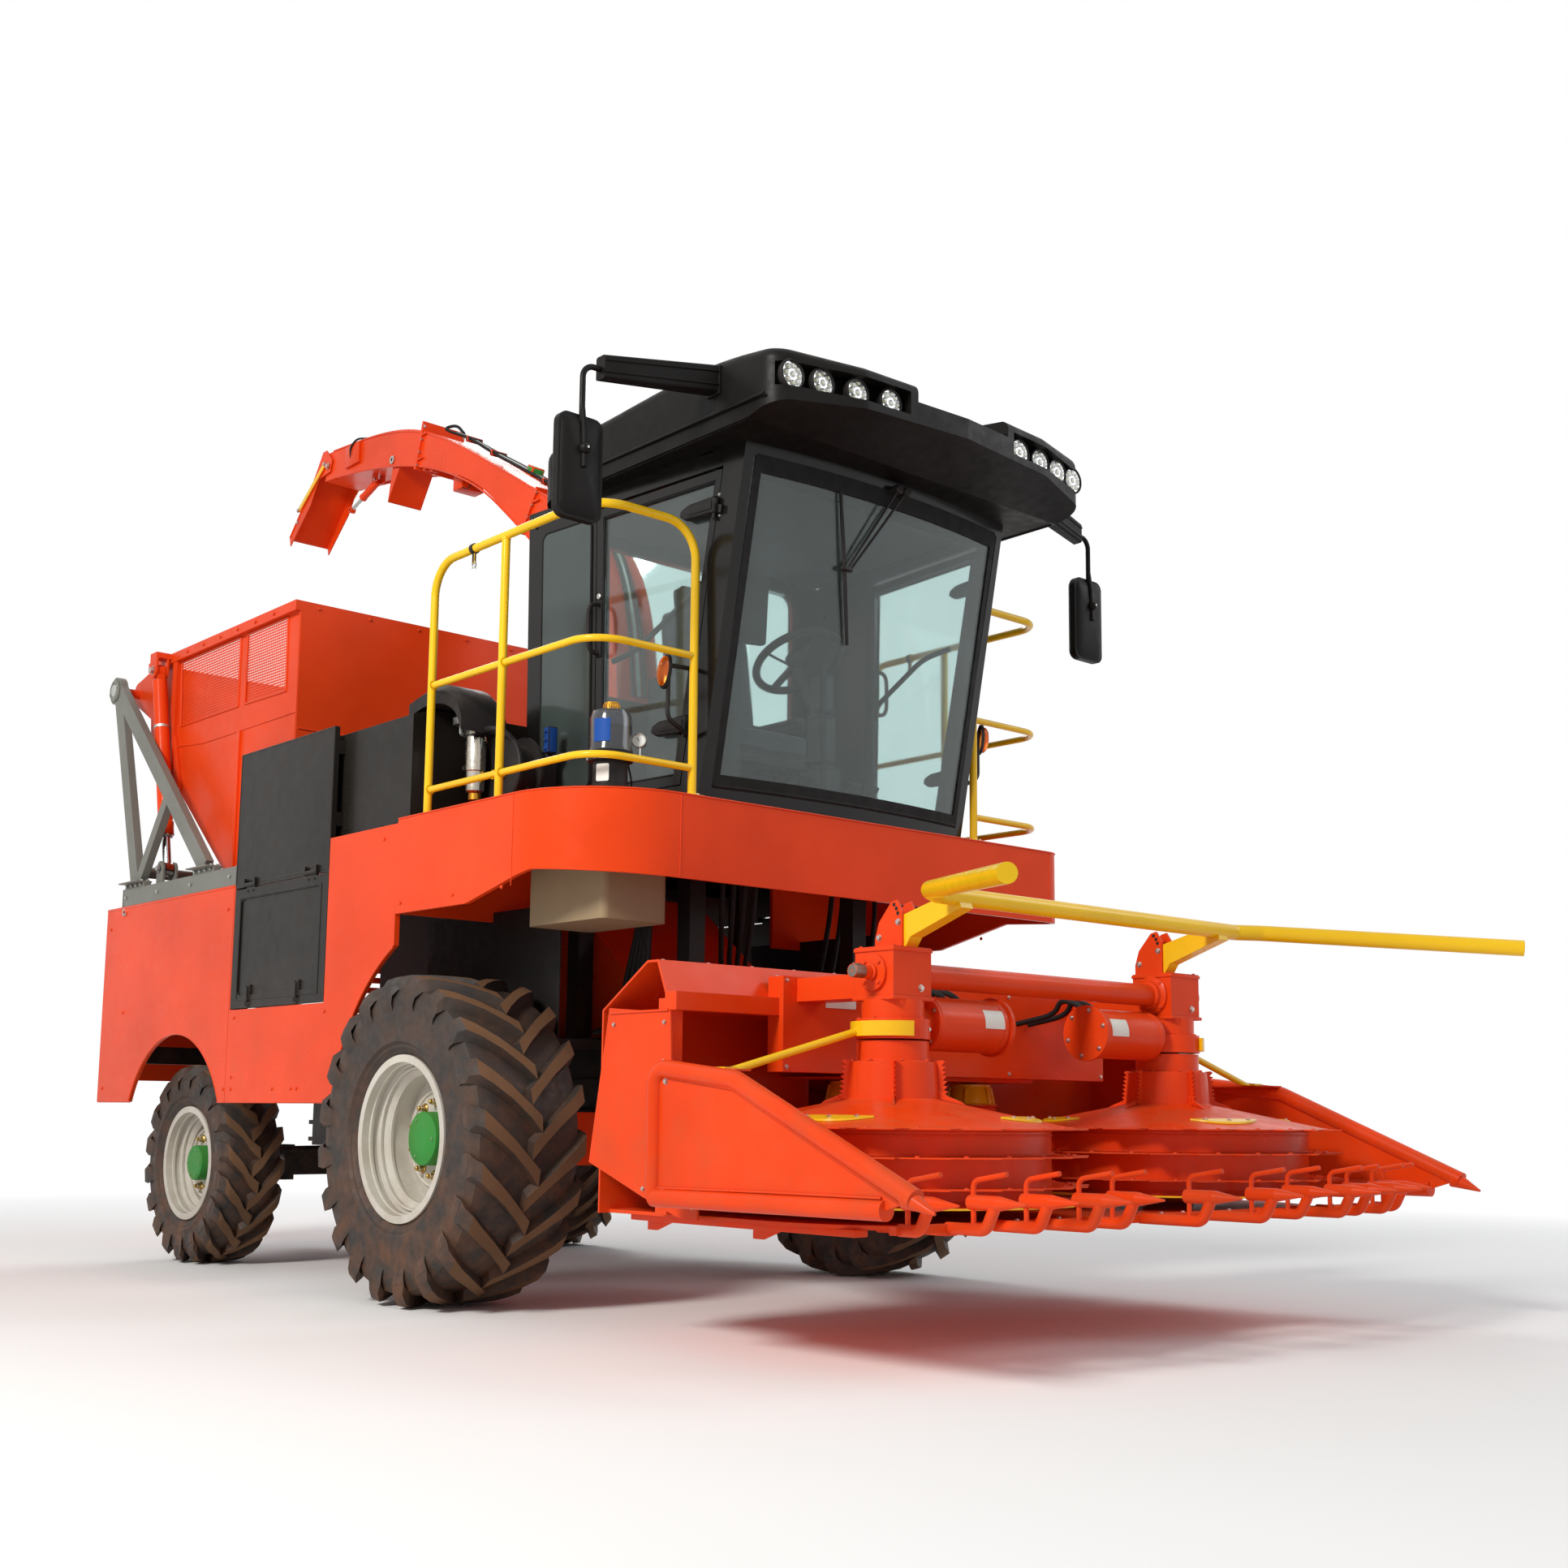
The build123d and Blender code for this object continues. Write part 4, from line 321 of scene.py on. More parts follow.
def bare_metal(name, base, rough):
    """Machined or zinc-plated steel with fine marks."""
    f = Finish(name)
    base = linear(base)
    body = f.mix(f.ramp(f.noise(9, 6), 0.3, 0.7), [v * 0.72 for v in base], base)
    f.link(body, f.shader.inputs["Base Color"])
    f.link(f.ramp(f.noise(60, 5, 0.6), 0.3, 0.7, rough - 0.08, rough + 0.12), f.shader.inputs["Roughness"])
    f.bump(f.noise(300, 3, 0.6), 0.06, 0.0004)
    f.set(Metallic=1.0)
    return f.material


def window_glass(name, tint, rough=0.015, clear=0.97, gloss=0.16):
    """Tinted flat glass with a film of dust."""
    f = Finish(name)
    film = f.ramp(f.noise(3.5, 7, 0.7), 0.35, 0.75)
    body = f.mix(film, linear(tint), [v * 0.95 for v in linear(tint)])
    f.link(body, f.shader.inputs["Base Color"])
    f.link(f.ramp(film, 0, 1, rough, rough + 0.06), f.shader.inputs["Roughness"])
    f.set(Transmission_Weight=clear, IOR=1.45, Specular_IOR_Level=gloss)
    f.material.blend_method = "BLEND"
    return f.material


def woven(name, base):
    """Seat cloth: two crossed threads."""
    f = Finish(name)
    base = linear(base)
    thread = f.math("MULTIPLY", f.noise(260, 2, 0.4, (6, 1, 1)), f.noise(260, 2, 0.4, (1, 6, 6)))
    f.link(f.mix(f.ramp(thread, 0.1, 0.45), [v * 0.5 for v in base], [v * 1.5 + 0.01 for v in base]),
           f.shader.inputs["Base Color"])
    f.bump(thread, 0.5, 0.0015)
    f.set(Roughness=0.9, Sheen_Weight=0.3)
    return f.material


# each finish: how it is made, its name, a colour or the setting that gives it, and the maker's other values
FINISHES = {
    "orange": (painted, "orange paint", "orange"),
    "orange bin": (painted, "bin paint", "bin_orange", 0.38),
    "charcoal": (painted, "charcoal paint", "charcoal", 0.36, 0.8, 0.6),
    "grey": (painted, "grey paint", "grey", 0.45, 1.2),
    "yellow": (painted, "yellow paint", "yellow", 0.28, 0.6, 0.35, 0.3),
    "green": (painted, "green paint", "green", 0.4),
    "silver": (painted, "rim paint", "silver", 0.38, 1.3, 1.2),
    "tan": (painted, "tan paint", "tan", 0.5),
    "black steel": (painted, "black paint", (0.11, 0.10, 0.10), 0.45, 1.4),
    "cab black": (painted, "cab paint", (0.070, 0.064, 0.058), 0.20, 0.5, 0.3, 0.3),
    "engine": (painted, "engine paint", (0.32, 0.33, 0.34), 0.55, 1.0),
    "blue": (painted, "blue valve", (0.10, 0.30, 0.62), 0.4, 0.5),
    # the pane behind the door is an opaque plate; its grey-green colour is a painted reflection of glass
    "pane with painted reflection": (painted, "pane with painted reflection", (0.24, 0.28, 0.27), 0.06, 0.4, 0, 0.5, 0.0),
    "label": (painted, "bare label", (0.93, 0.93, 0.90), 0.35, 0.5, 0.2, 0.1, 0.01),
    "lamp bead": (painted, "lamp bead", (0.97, 0.90, 0.50), 0.2, 0, 0, 0.5),
    "dial": (painted, "dial", (0.94, 0.94, 0.92), 0.4, 0, 0, 0.0, 0.0),
    "roof": (moulded, "roof moulding", "roof", 0.42, 500, 0.10, 0.2, 0.12),
    "black plastic": (moulded, "black moulding", (0.12, 0.11, 0.11), 0.5),
    "interior": (moulded, "cabin moulding", (0.24, 0.24, 0.24), 0.6),
    "hose": (moulded, "hose rubber", (0.10, 0.10, 0.10), 0.6, 500, 0.1, 0.2),
    "seal": (moulded, "window seal", (0.07, 0.07, 0.07), 0.7, 400, 0.1, 0.2),
    "lug": (moulded, "worn lugs", (0.42, 0.31, 0.22), 0.8, 300, 0.3, 0.6),
    "screen": (moulded, "dark display", (0.05, 0.06, 0.08), 0.14, 900, 0.02, 0.1),
    "grease": (moulded, "grease", (0.20, 0.17, 0.14), 0.35, 90, 0.3, 0),
    "tyre": (tyre_rubber, "tyre rubber", "rubber"),
    "cloth": (woven, "seat cloth", (0.30, 0.30, 0.32)),
    "zinc": (bare_metal, "zinc plate", (0.78, 0.78, 0.76), 0.35),
    "gold zinc": (bare_metal, "yellow zinc", (0.80, 0.66, 0.38), 0.3),
    "chrome": (bare_metal, "chromed rod", (0.86, 0.87, 0.88), 0.12),
    "brass": (bare_metal, "brass", (0.85, 0.62, 0.22), 0.3),
    "worn steel": (bare_metal, "worn steel", (0.55, 0.52, 0.48), 0.42),
    "filter can": (bare_metal, "filter can", (0.80, 0.77, 0.72), 0.22),
    "mirror": (bare_metal, "mirror glass", (0.9, 0.92, 0.93), 0.08),
    "reflector": (bare_metal, "lamp reflector", (0.82, 0.82, 0.80), 0.10),
    "glass": (window_glass, "cab glass", "glass"),
    "lamp glass": (window_glass, "lamp glass", (0.97, 0.98, 0.98), 0.03, 0.95),
    "amber": (window_glass, "amber lens", (1.0, 0.45, 0.05), 0.08, 0.5),
    "red lens": (window_glass, "red lens", (0.85, 0.05, 0.04), 0.08, 0.5),
    "jar": (window_glass, "jar plastic", (0.72, 0.73, 0.76), 0.08, 0.95),
}
MADE = {}


def finish(name):
    """The machine's finish of that name, made once."""
    if name not in MADE:
        maker, label, base, *values = FINISHES[name]
        MADE[name] = maker(label, getattr(settings()[0], base) if isinstance(base, str) else base, *values)
    return MADE[name]


# ------------------------------------------------------------------ building
def piece(name, bm, finishes, body, edge=35):
    """A finished mesh that rides on a body. finishes lists one finish per material index."""
    bmesh.ops.recalc_face_normals(bm, faces=bm.faces)
    mesh = bpy.data.meshes.new(name)
    bm.to_mesh(mesh)
    bm.free()
    made = bpy.data.objects.new(name, mesh)
    bpy.context.collection.objects.link(made)
    for one in finishes if isinstance(finishes, (list, tuple)) else [finishes]:
        mesh.materials.append(finish(one))
    mesh.shade_smooth()
    mesh.set_sharp_from_angle(angle=radians(edge))
    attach(made, body)
    return made


def frame_at(origin, out, up=Z):
    """Frame at a point: the third axis points out and the second leans to up."""
    w = Vector(out).normalized()
    u = Vector(up).cross(w)
    if u.length < 1e-5:
        u = Y.cross(w)
    u.normalize()
    return Matrix.Translation(Vector(origin)) @ Matrix((u, w.cross(u), w)).transposed().to_4x4()


def facing(x, y, z, out, up=Z):
    """Such a frame at a place given from the front axle."""
    return frame_at(at(x, y, z), out, up)


def standing(x, y, z=0):
    """Upright frame at a place given from the front axle."""
    return Matrix.Translation(at(x, y, z))


def polar(radius, angle, height=0.0):
    """Point round the third axis of a frame."""
    return Vector((radius * cos(angle), radius * sin(angle), height))


def spread(low, high, count):
    """Numbers from low to high in that many equal steps."""
    return [low + (high - low) * n / count for n in range(count + 1)]


def rounded_outline(half_x, half_y, radius, count):
    """Points round a rectangle with round corners; the halves reach to the centres of its corner arcs."""
    return [(x * half_x + radius * cos(a), y * half_y + radius * sin(a))
            for turn, (x, y) in enumerate(((1, 1), (-1, 1), (-1, -1), (1, -1)))
            for a in [pi / 2 * (turn + n / (count - 1)) for n in range(count)]]


def skin(bm, rings, index=0, ends=True):
    """Walls between rings of corners, and a face on each end."""
    for a, b in zip(rings, rings[1:]):
        for k in range(len(a)):
            m = (k + 1) % len(a)
            bm.faces.new((a[k], a[m], b[m], b[k])).material_index = index
    if ends:
        for ring in (rings[0], rings[-1]):
            bm.faces.new(ring).material_index = index


def lathe(bm, profile, where, segments=48, index=0):
    """Turns (radius, height) points round the third axis of a frame."""
    rings = []
    for radius, height in profile:
        if radius < 1e-6:
            rings.append([bm.verts.new(where @ Vector((0, 0, height)))])
        else:
            rings.append([bm.verts.new(where @ polar(radius, tau * n / segments, height))
                          for n in range(segments)])
    for a, b in zip(rings, rings[1:]):
        for n in range(segments):
            m = (n + 1) % segments
            corners = [a[n % len(a)], a[m % len(a)], b[m % len(b)], b[n % len(b)]]
            unique = list(dict.fromkeys(corners))
            if len(unique) > 2:
                bm.faces.new(unique).material_index = index


def lathe_squashed(bm, profile, where, wide, high, index):
    """Lathe of shares of an oval's half width and half height."""
    lathe(bm, profile, where @ Matrix.Diagonal((wide, high, 1, 1)), 36, index)


def prism(bm, outline, where, low, high, bevel=0.0, index=0):
    """Plate of (across, up) points between two distances out, with its edges broken."""
    bottom = [bm.verts.new(where @ Vector((x, y, low))) for x, y in outline]
    top = [bm.verts.new(where @ Vector((x, y, high))) for x, y in outline]
    faces = [bm.faces.new(bottom), bm.faces.new(top)]
    count = len(outline)
    for n in range(count):
        faces.append(bm.faces.new((bottom[n], bottom[(n + 1) % count], top[(n + 1) % count], top[n])))
    for face in faces:
        face.material_index = index
    if bevel:
        edges = dict.fromkeys(edge for face in faces for edge in face.edges)
        bmesh.ops.bevel(bm, geom=list(edges), offset=bevel, segments=2, affect="EDGES", profile=0.6)


def rounded_box(bm, size, where, bevel=0.004, index=0):
    """Box centred on a frame with rounded edges."""
    a, b, c = (s / 2 for s in size)
    prism(bm, [(-a, -b), (a, -b), (a, b), (-a, b)], where, -c, c, bevel, index)


def hexagon(radius, turn):
    """Corners of a bolt head."""
    return [polar(radius, turn + pi / 3 * n).xy for n in range(6)]


def bolt(bm, where, size=0.012, index=0):
    """Washer and hexagon head with a rounded crown."""
    lathe(bm, [(0, 0), (size * 1.15, 0), (size * 1.15, size * 0.18), (0, size * 0.18)], where, 14, index)
    prism(bm, hexagon(size * 0.92, size * 31), where, size * 0.18, size * 0.75, size * 0.08, index)


def pipe(bm, points, radius, sides=12, index=0, closed=False):
    """Round bar along points, its radius a number or given by the share of the way."""
    points = [Vector(p) for p in points]
    count = len(points)
    rings = []
    side = None
    for n, here in enumerate(points):
        ahead = points[(n + 1) % count] if closed or n < count - 1 else here
        behind = points[n - 1] if closed or n else here
        along = (ahead - behind).normalized()
        if side is None:
            side = along.orthogonal().normalized()
        side = (side - along * side.dot(along)).normalized()
        other = along.cross(side)
        size = radius(n / max(1, count - 1)) if callable(radius) else radius
        rings.append([bm.verts.new(here + (side * cos(tau * k / sides) + other * sin(tau * k / sides)) * size)
                      for k in range(sides)])
    skin(bm, rings + rings[:1] if closed else rings, index, not closed)


def eased(points, radius=0.05, steps=6):
    """A broken line with its corners rounded."""
    points = [Vector(p) for p in points]
    line = [points[0]]
    for before, corner, after in zip(points, points[1:], points[2:]):
        reach_in = min(radius, (before - corner).length * 0.45)
        reach_out = min(radius, (after - corner).length * 0.45)
        start = corner + (before - corner).normalized() * reach_in
        end = corner + (after - corner).normalized() * reach_out
        for t in spread(0, 1, steps):
            line.append(start * (1 - t) ** 2 + corner * 2 * t * (1 - t) + end * t ** 2)
    line.append(points[-1])
    return line


def hanging(start, end, sag):
    """A hose between two points that sags in the middle."""
    start, end = Vector(start), Vector(end)
    return [start.lerp(end, t) - Z * sag * 4 * t * (1 - t) for t in spread(0, 1, 14)]


# ------------------------------------------------------------------ dressing the plain parts
NODE_FINISH = {
    "main_frame": "black steel", "front_axle": "orange", "rear_axle": "black steel", "engine_block": "engine",
    "chopper_housing": "orange", "body_panels": "orange", "engine_hood": "charcoal", "hood_sides": "charcoal",
    "deck": "orange", "toolbox": "tan", "railings": "yellow", "lubricator": "jar", "cab_frame": "cab black",
    "cab_glass": "glass", "cab_roof": "roof", "driver_seat": "interior", "driver_controls": "interior",
    "mirrors": "roof", "work_lights": "black plastic", "lift_frame": "grey", "cylinder_feet": "grey",
    "feeder_house": "orange", "header_frame": "orange", "header_drive": "orange", "crop_guides": "orange",
    "dividers": "orange", "header_stays": "yellow", "push_bar": "yellow", "spout": "orange",
    "spout_flap": "orange", "bin": "orange bin",
}
PAIR_FINISH = {
    "rotor": "orange", "feed_roller": "orange", "bin_barrel": "orange", "bin_rod": "chrome",
    "knuckle": "black steel", "front_tyre": "tyre", "rear_tyre": "tyre", "front_rim": "silver",
    "rear_rim": "silver", "door": "cab black", "door_glass": "glass", "access_door": "charcoal",
}


class HARVESTER_OT_paint(bpy.types.Operator):
    """Paints every plain part with its own finish."""

    bl_idname = "harvester.paint"
    bl_label = "Paint the parts"

    def execute(self, context):
        wanted = dict(NODE_FINISH)
        for _, word in SIDES:
            wanted.update({f"{name}_{word}": value for name, value in PAIR_FINISH.items()})
        missing = sorted(set(NODES) - set(wanted))
        if missing:
            raise RuntimeError(f"no finish for {missing}")
        for name, value in wanted.items():
            node = NODES[name]
            node.data.materials.clear()
            node.data.materials.append(finish(value))
            node.data.shade_smooth()
            node.data.set_sharp_from_angle(angle=radians(30))
        for _, word in SIDES:
            self.second_colour(NODES[f"rotor_{word}"], lambda c, r: r > 0.6 and c.z < 0.489)
            self.second_colour(NODES[f"feed_roller_{word}"], lambda c, r: c.z > 0.797)
        return {"FINISHED"}

    @staticmethod
    def second_colour(node, chosen):
        """Paints the chosen faces of a turning part yellow; r is their distance from its axis."""
        node.data.materials.append(finish("yellow"))
        places = [node.matrix_world @ polygon.center for polygon in node.data.polygons]
        box = [node.matrix_world @ Vector(corner) for corner in node.bound_box]
        axis = sum(box, Vector()) / 8
        for polygon, place in zip(node.data.polygons, places):
            if chosen(place, (place - axis).xy.length):
                polygon.material_index = 1


# wheel, place of its axle, distance off the middle, height, radius, width, rim radius, bead width
WHEELS = (("front", 0.0, 1.185, 0.650, 0.650, 0.500, 0.330, 0.406),
          ("rear", -2.435, 1.053, 0.490, 0.490, 0.330, 0.280, 0.254))


def wheel_frame(x, y, z, side):
    """Frame on a wheel's axis with the third axis pointing outboard."""
    return frame_at(at(x * 1000, side * y * 1000, z * 1000), Y * side)


class HARVESTER_OT_tyres(bpy.types.Operator):
    """Fits tractor tyres with two rows of slanting lugs, a ribbed side wall and a rounded shoulder."""

    bl_idname = "harvester.tyres"
    bl_label = "Tyres"

    def execute(self, context):
        tyres = settings()[1]
        for name, x, y, z, radius, width, rim, bead in WHEELS:
            lugs = tyres.front_lugs if name == "front" else tyres.rear_lugs
            height = tyres.lug_height * (1 if name == "front" else 0.8)
            for side, word in SIDES:
                bm = bmesh.new()
                where = wheel_frame(x, y, z, side)
                base, half, seat = radius - height, width / 2, bead / 2
                profile = [(rim - 0.018, seat - 0.034), (rim - 0.018, seat - 0.002),
                           (rim + 0.010, seat + 0.004), (rim + 0.030, seat + 0.022),
                           (rim + 0.040, seat + 0.022), (rim + 0.052, seat + 0.034)]
                middle = (rim + 0.05 + base) / 2
                (x0, y0), (x1, y1) = profile[-1], (base - 0.03, half - 0.012)
                for t in spread(0, 1, 8)[1:-1]:
                    profile.append((x0 + (x1 - x0) * t, y0 + (y1 - y0) * min(1, 0.25 + 1.1 * t) ** 0.8))
                profile += [(base - 0.016, half - 0.030), (base - 0.004, half - 0.062), (base, half - 0.10),
                         (base + 0.001, 0.0)]
                outer = profile + [(r, -h) for r, h in reversed(profile[:-1])]
                inner = [(rim - 0.018, -seat + 0.034), (rim + 0.03, -seat + 0.01), (middle, -half + 0.03),
                         (base - 0.03, -half + 0.08), (base - 0.03, half - 0.08), (middle, half - 0.03),
                         (rim + 0.03, seat - 0.01), (rim - 0.018, seat - 0.034)]
                lathe(bm, outer + inner, where, 96)
                for row in (-1, 1):
                    for n in range(lugs):
                        self.lug(bm, where, base, height, half, row, tau * (n + 0.5 * (row > 0)) / lugs, lugs)
                made = piece(f"lugged_tyre_{name}_{word}", bm, ["tyre", "lug"], f"{name}_wheel_{word}", 40)
                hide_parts(f"{name}_tyre_{word}")
        return {"FINISHED"}

    @staticmethod
    def lug(bm, where, base, height, half, row, turn, lugs):
        """One lug: from the middle of the tread it slants back to the shoulder and runs down the wall."""
        pitch = tau / lugs
        # share of the pitch behind the middle, distance out, root and top radius, half width along the rim
        table = ((-0.16, -0.020, base - 0.004, base + height, 0.034),
                 (0.06, 0.030, base - 0.004, base + height, 0.029),
                 (0.36, 0.42 * half, base - 0.005, base + height, 0.030),
                 (0.62, 0.72 * half, base - 0.008, base + height * 0.96, 0.034),
                 (0.80, half - 0.022, base - 0.02, base + height * 0.74, 0.038),
                 (0.86, half - 0.001, base - 0.045, base - height * 0.10, 0.037),
                 (0.88, half - 0.003, base - 0.075, base - height * 1.2, 0.030),
                 (0.88, half - 0.014, base - 0.11, base - height * 2.2, 0.024))
        rings = []
        for behind, out, low, high, wide in table:
            angle = turn + pitch * behind * 1.15
            ring = []
            for radius, flare in ((low, 1.25), (high, 0.90)):
                for sign in (-1, 1):
                    a = angle + sign * wide * flare / radius
                    ring.append(bm.verts.new(where @ polar(radius, a, row * out)))
            rings.append([ring[0], ring[1], ring[3], ring[2]])
        for n, (a, b) in enumerate(zip(rings, rings[1:])):
            for k in range(4):
                face = bm.faces.new((a[k], a[(k + 1) % 4], b[(k + 1) % 4], b[k]))
                face.material_index = int(k == 2 and n < 4)
        bm.faces.new(rings[0])
        bm.faces.new(rings[-1])


class HARVESTER_OT_rims(bpy.types.Operator):
    """Fits wheel nuts, a stiffening ring, a tyre valve and the green hub cap to each rim."""

    bl_idname = "harvester.rims"
    bl_label = "Rims"

    def execute(self, context):
        for name, x, y, z, _, _, rim, bead in WHEELS:
            # depth of the disc, radius of the hub cap, wheel nuts and cap screws
            dish, hub, nuts, screws = (0.050, 0.105, 10, 3) if name == "front" else (0.035, 0.085, 8, 6)
            for side, word in SIDES:
                bm = bmesh.new()
                axle = wheel_frame(x, y, z, side)
                out = axle @ Matrix.Translation((0, 0, dish))
                for n in range(nuts):
                    a = tau * (n + 0.5) / nuts
                    spot = out @ Matrix.Rotation(a, 4, "Z") @ Matrix.Translation((hub + 0.042, 0, 0))
                    lathe(bm, [(0.021, 0.0005), (0.021, 0.004), (0.017, 0.009), (0.010, 0.010)], spot, 18, 1)
                    prism(bm, hexagon(0.015, a), spot, 0.008, 0.026, 0.0015, 1)
                    lathe(bm, [(0.0085, 0.026), (0.0085, 0.036), (0.006, 0.038), (0, 0.038)], spot, 12, 1)
                cap = hub * 1.015
                lathe(bm, [(cap, 0.002), (cap, 0.058), (cap * 0.985, 0.063), (cap * 0.93, 0.066),
                           (cap * 0.90, 0.0655), (cap * 0.88, 0.067), (cap * 0.3, 0.069),
                           (0, 0.069)], out, 64, 2)
                for n in range(screws):
                    turned = out @ Matrix.Rotation(tau * n / screws, 4, "Z")
                    bolt(bm, turned @ Matrix.Translation((hub * 0.78, 0, 0.067)), 0.0065, 2)
                half = bead / 2
                for radius, depth in ((rim - 0.031, half - 0.030), (rim - 0.050, half - 0.068),
                                      (rim - 0.073, half - 0.100), (hub + 0.085, dish - 0.006)):
                    lathe(bm, [(radius + 0.003, depth - 0.010), (radius - 0.005, depth - 0.006),
                               (radius - 0.005, depth + 0.006), (radius + 0.003, depth + 0.010)], axle, 72, 0)
                valve = axle @ Matrix.Rotation(0.6, 4, "Z") @ Matrix.Translation((rim - 0.085, 0, 0.04))
                lathe(bm, [(0.008, -0.01), (0.008, 0.012), (0.0045, 0.016), (0.0045, 0.045), (0.006, 0.046),
                           (0.006, 0.056), (0, 0.058)], valve, 12, 3)
                made = piece(f"hub_{name}_{word}", bm, ["silver", "gold zinc", "green", "brass"],
                             f"{name}_wheel_{word}", 35)
        return {"FINISHED"}


def slab(bm, low, high, bevel=0.003, index=0):
    """Block between two corners given from the front axle, with its edges rounded."""
    a, b = at(*low), at(*high)
    rounded_box(bm, [abs(q - p) for p, q in zip(a, b)], Matrix.Translation((a + b) / 2), bevel, index)


def bolts(bm, points, out, size=0.008, index=0):
    """A bolt at each point, given from the front axle."""
    for point in points:
        bolt(bm, facing(*point, out), size, index)


def label_plate(bm, centre, out, wide, high, index=0):
    """Bare plate with rounded corners, 1.5 mm thick."""
    corner = 0.006
    prism(bm, rounded_outline(wide / 2 - corner, high / 2 - corner, corner, 5), facing(*centre, out),
          -0.0005, 0.0015, 0, index)


def folds(bm, corners, y, radius):
    """Rounded folds from corner to corner of an upright outline, at a distance off the middle."""
    for (x0, z0), (x1, z1) in zip(corners, (*corners[1:], corners[0])):
        pipe(bm, [at(x0, y, z0), at(x1, y, z1)], radius, 8, 0)


def ring_points(count, radius, centre, first, second, turn=0.0):
    """Points round a centre in the plane of two axes, in millimetres from the front axle."""
    return [Vector(centre) + (first * cos(a) + second * sin(a)) * radius
            for a in [turn + tau * n / count for n in range(count)]]


# the two rotors' axes and their drums' radius, the cross shaft over them and the motors that drive it
DRUM_X, DRUM_Y, DRUM_R = 2090, 760, 0.5203
SHAFT_Z, MOTOR_Z = 1230, 1070


class HARVESTER_OT_gearboxes(bpy.types.Operator):
    """Bolts up the header gearboxes, their brackets, collars, motors and the hoses behind them."""

    bl_idname = "harvester.gearboxes"
    bl_label = "Header gearboxes"

    def execute(self, context):
        for side, word in SIDES:
            bm = bmesh.new()
            out, y = Y * side, side * DRUM_Y
            # round cover, its bolts, and the collar of the cross shaft on the inner face
            bolts(bm, ring_points(4, 47, (DRUM_X, y + side * 102, SHAFT_Z), X, Z, pi / 4), out, 0.008, 0)
            lathe(bm, [(0.073, 0), (0.073, 0.010), (0.064, 0.014), (0.055, 0.016), (0.052, 0.034),
                       (0.042, 0.036)], facing(DRUM_X, y - side * 90, SHAFT_Z, -out), 40, 0)
            bolts(bm, ring_points(4, 64, (DRUM_X, y - side * 101, SHAFT_Z), X, Z, pi / 4), -out, 0.007, 0)
            if side < 0:
                shaft = facing(DRUM_X, y - 105, SHAFT_Z, out)
                lathe(bm, [(0.028, 0), (0.028, 0.008), (0.0225, 0.010)], shaft, 32, 0)
                lathe(bm, [(0.0222, 0.038), (0.0226, 0.040), (0.0226, 0.085), (0.020, 0.0875),
                           (0.004, 0.0875), (0, 0.084)], shaft, 32, 2)
                rounded_box(bm, (0.008, 0.007, 0.036),
                            shaft @ Matrix.Translation((0, 0.023, 0.064)), 0.001, 2)
            else:
                lathe(bm, [(0.058, 0), (0.058, 0.038), (0.050, 0.046), (0, 0.046)],
                      facing(DRUM_X, y + 101, SHAFT_Z, out), 40, 0)
            # cast rims above and below the box, and the sight plug on its front face
            for low, high, wide in ((1300, 1312, 93), (1138, 1150, 96)):
                for shift in (-wide, wide):
                    slab(bm, (DRUM_X - wide, y + shift - 2, low),
                         (DRUM_X + wide, y + shift + 2, high), 0.0015)
                    slab(bm, (DRUM_X + shift - 2, y - wide, low),
                         (DRUM_X + shift + 2, y + wide, high), 0.0015)
            bolt(bm, facing(DRUM_X + 90, y + 40, 1180, X), 0.011, 1)
            bolts(bm, [(DRUM_X + a * 76, y + side * 76, 1316) for a in (-1, 1)], Z, 0.007, 0)
            # bracket bolts and the row of spare holes
            for face, way in ((y - side * 2, out), (y - side * 76, -out)):
                bolts(bm, [(2112, face, 1404), (2022, face, 1356)], way, 0.010, 1)
                for x, z in ((2092, 1464), (2103, 1450), (2110, 1434)):
                    lathe(bm, [(0.0068, 0), (0.0068, 0.0008), (0, 0.0008)], facing(x, face, z, way), 16, 3)
            # neck: ring of studs on the collar and clamp screws
            bolts(bm, ring_points(8, 115, (DRUM_X, y, 1077), X, Y, 0.2), Z, 0.007, 0)
            bolts(bm, ring_points(3, 125, (DRUM_X, y, 1044), X, Y, 0.5), X, 0.006, 1)
            # motor: seam ring, end bolts, hose unions and hoses
            motor = facing(DRUM_X, side * 270, MOTOR_Z, out)
            for z in (0.02, 0.335):
                lathe(bm, [(0.092, z - 0.012), (0.0945, z - 0.010), (0.0945, z + 0.010), (0.092, z + 0.012)],
                      motor, 48, 0)
            bolts(bm, ring_points(6, 86, (DRUM_X, side * 257, MOTOR_Z), X, Z, 0.3), -out, 0.008, 1)
            bolts(bm, ring_points(4, 74, (DRUM_X, side * 626, MOTOR_Z), X, Z, 0.6), out, 0.008, 1)
            for offset in (0, 70):
                foot = at(DRUM_X - 60, side * (350 + offset), 1134)
                lathe(bm, [(0.016, -0.01), (0.016, 0.012), (0.012, 0.014), (0.012, 0.03), (0, 0.03)],
                      frame_at(foot, Vector((-0.62, 0, 0.79))), 20, 1)
                pipe(bm, eased([foot, foot + Vector((-0.035, 0, 0.045)), foot + Vector((-0.13, 0, 0.075)),
                                at(1860, side * (360 + offset), 1150), at(1680, side * (350 + offset), 1120)],
                               0.07, 8), 0.0105, 12, 4)
            made = piece(f"gearbox_fittings_{word}", bm, ["orange", "zinc", "worn steel", "black plastic",
                                                          "hose"], "header")
            bm = bmesh.new()
            self.wrapped_label(bm, side)
            if side < 0:
                label_plate(bm, (1681, -610, 1166), X, 0.150, 0.062)
            made = piece(f"bare_labels_{word}", bm, "label", "header")
        return {"FINISHED"}

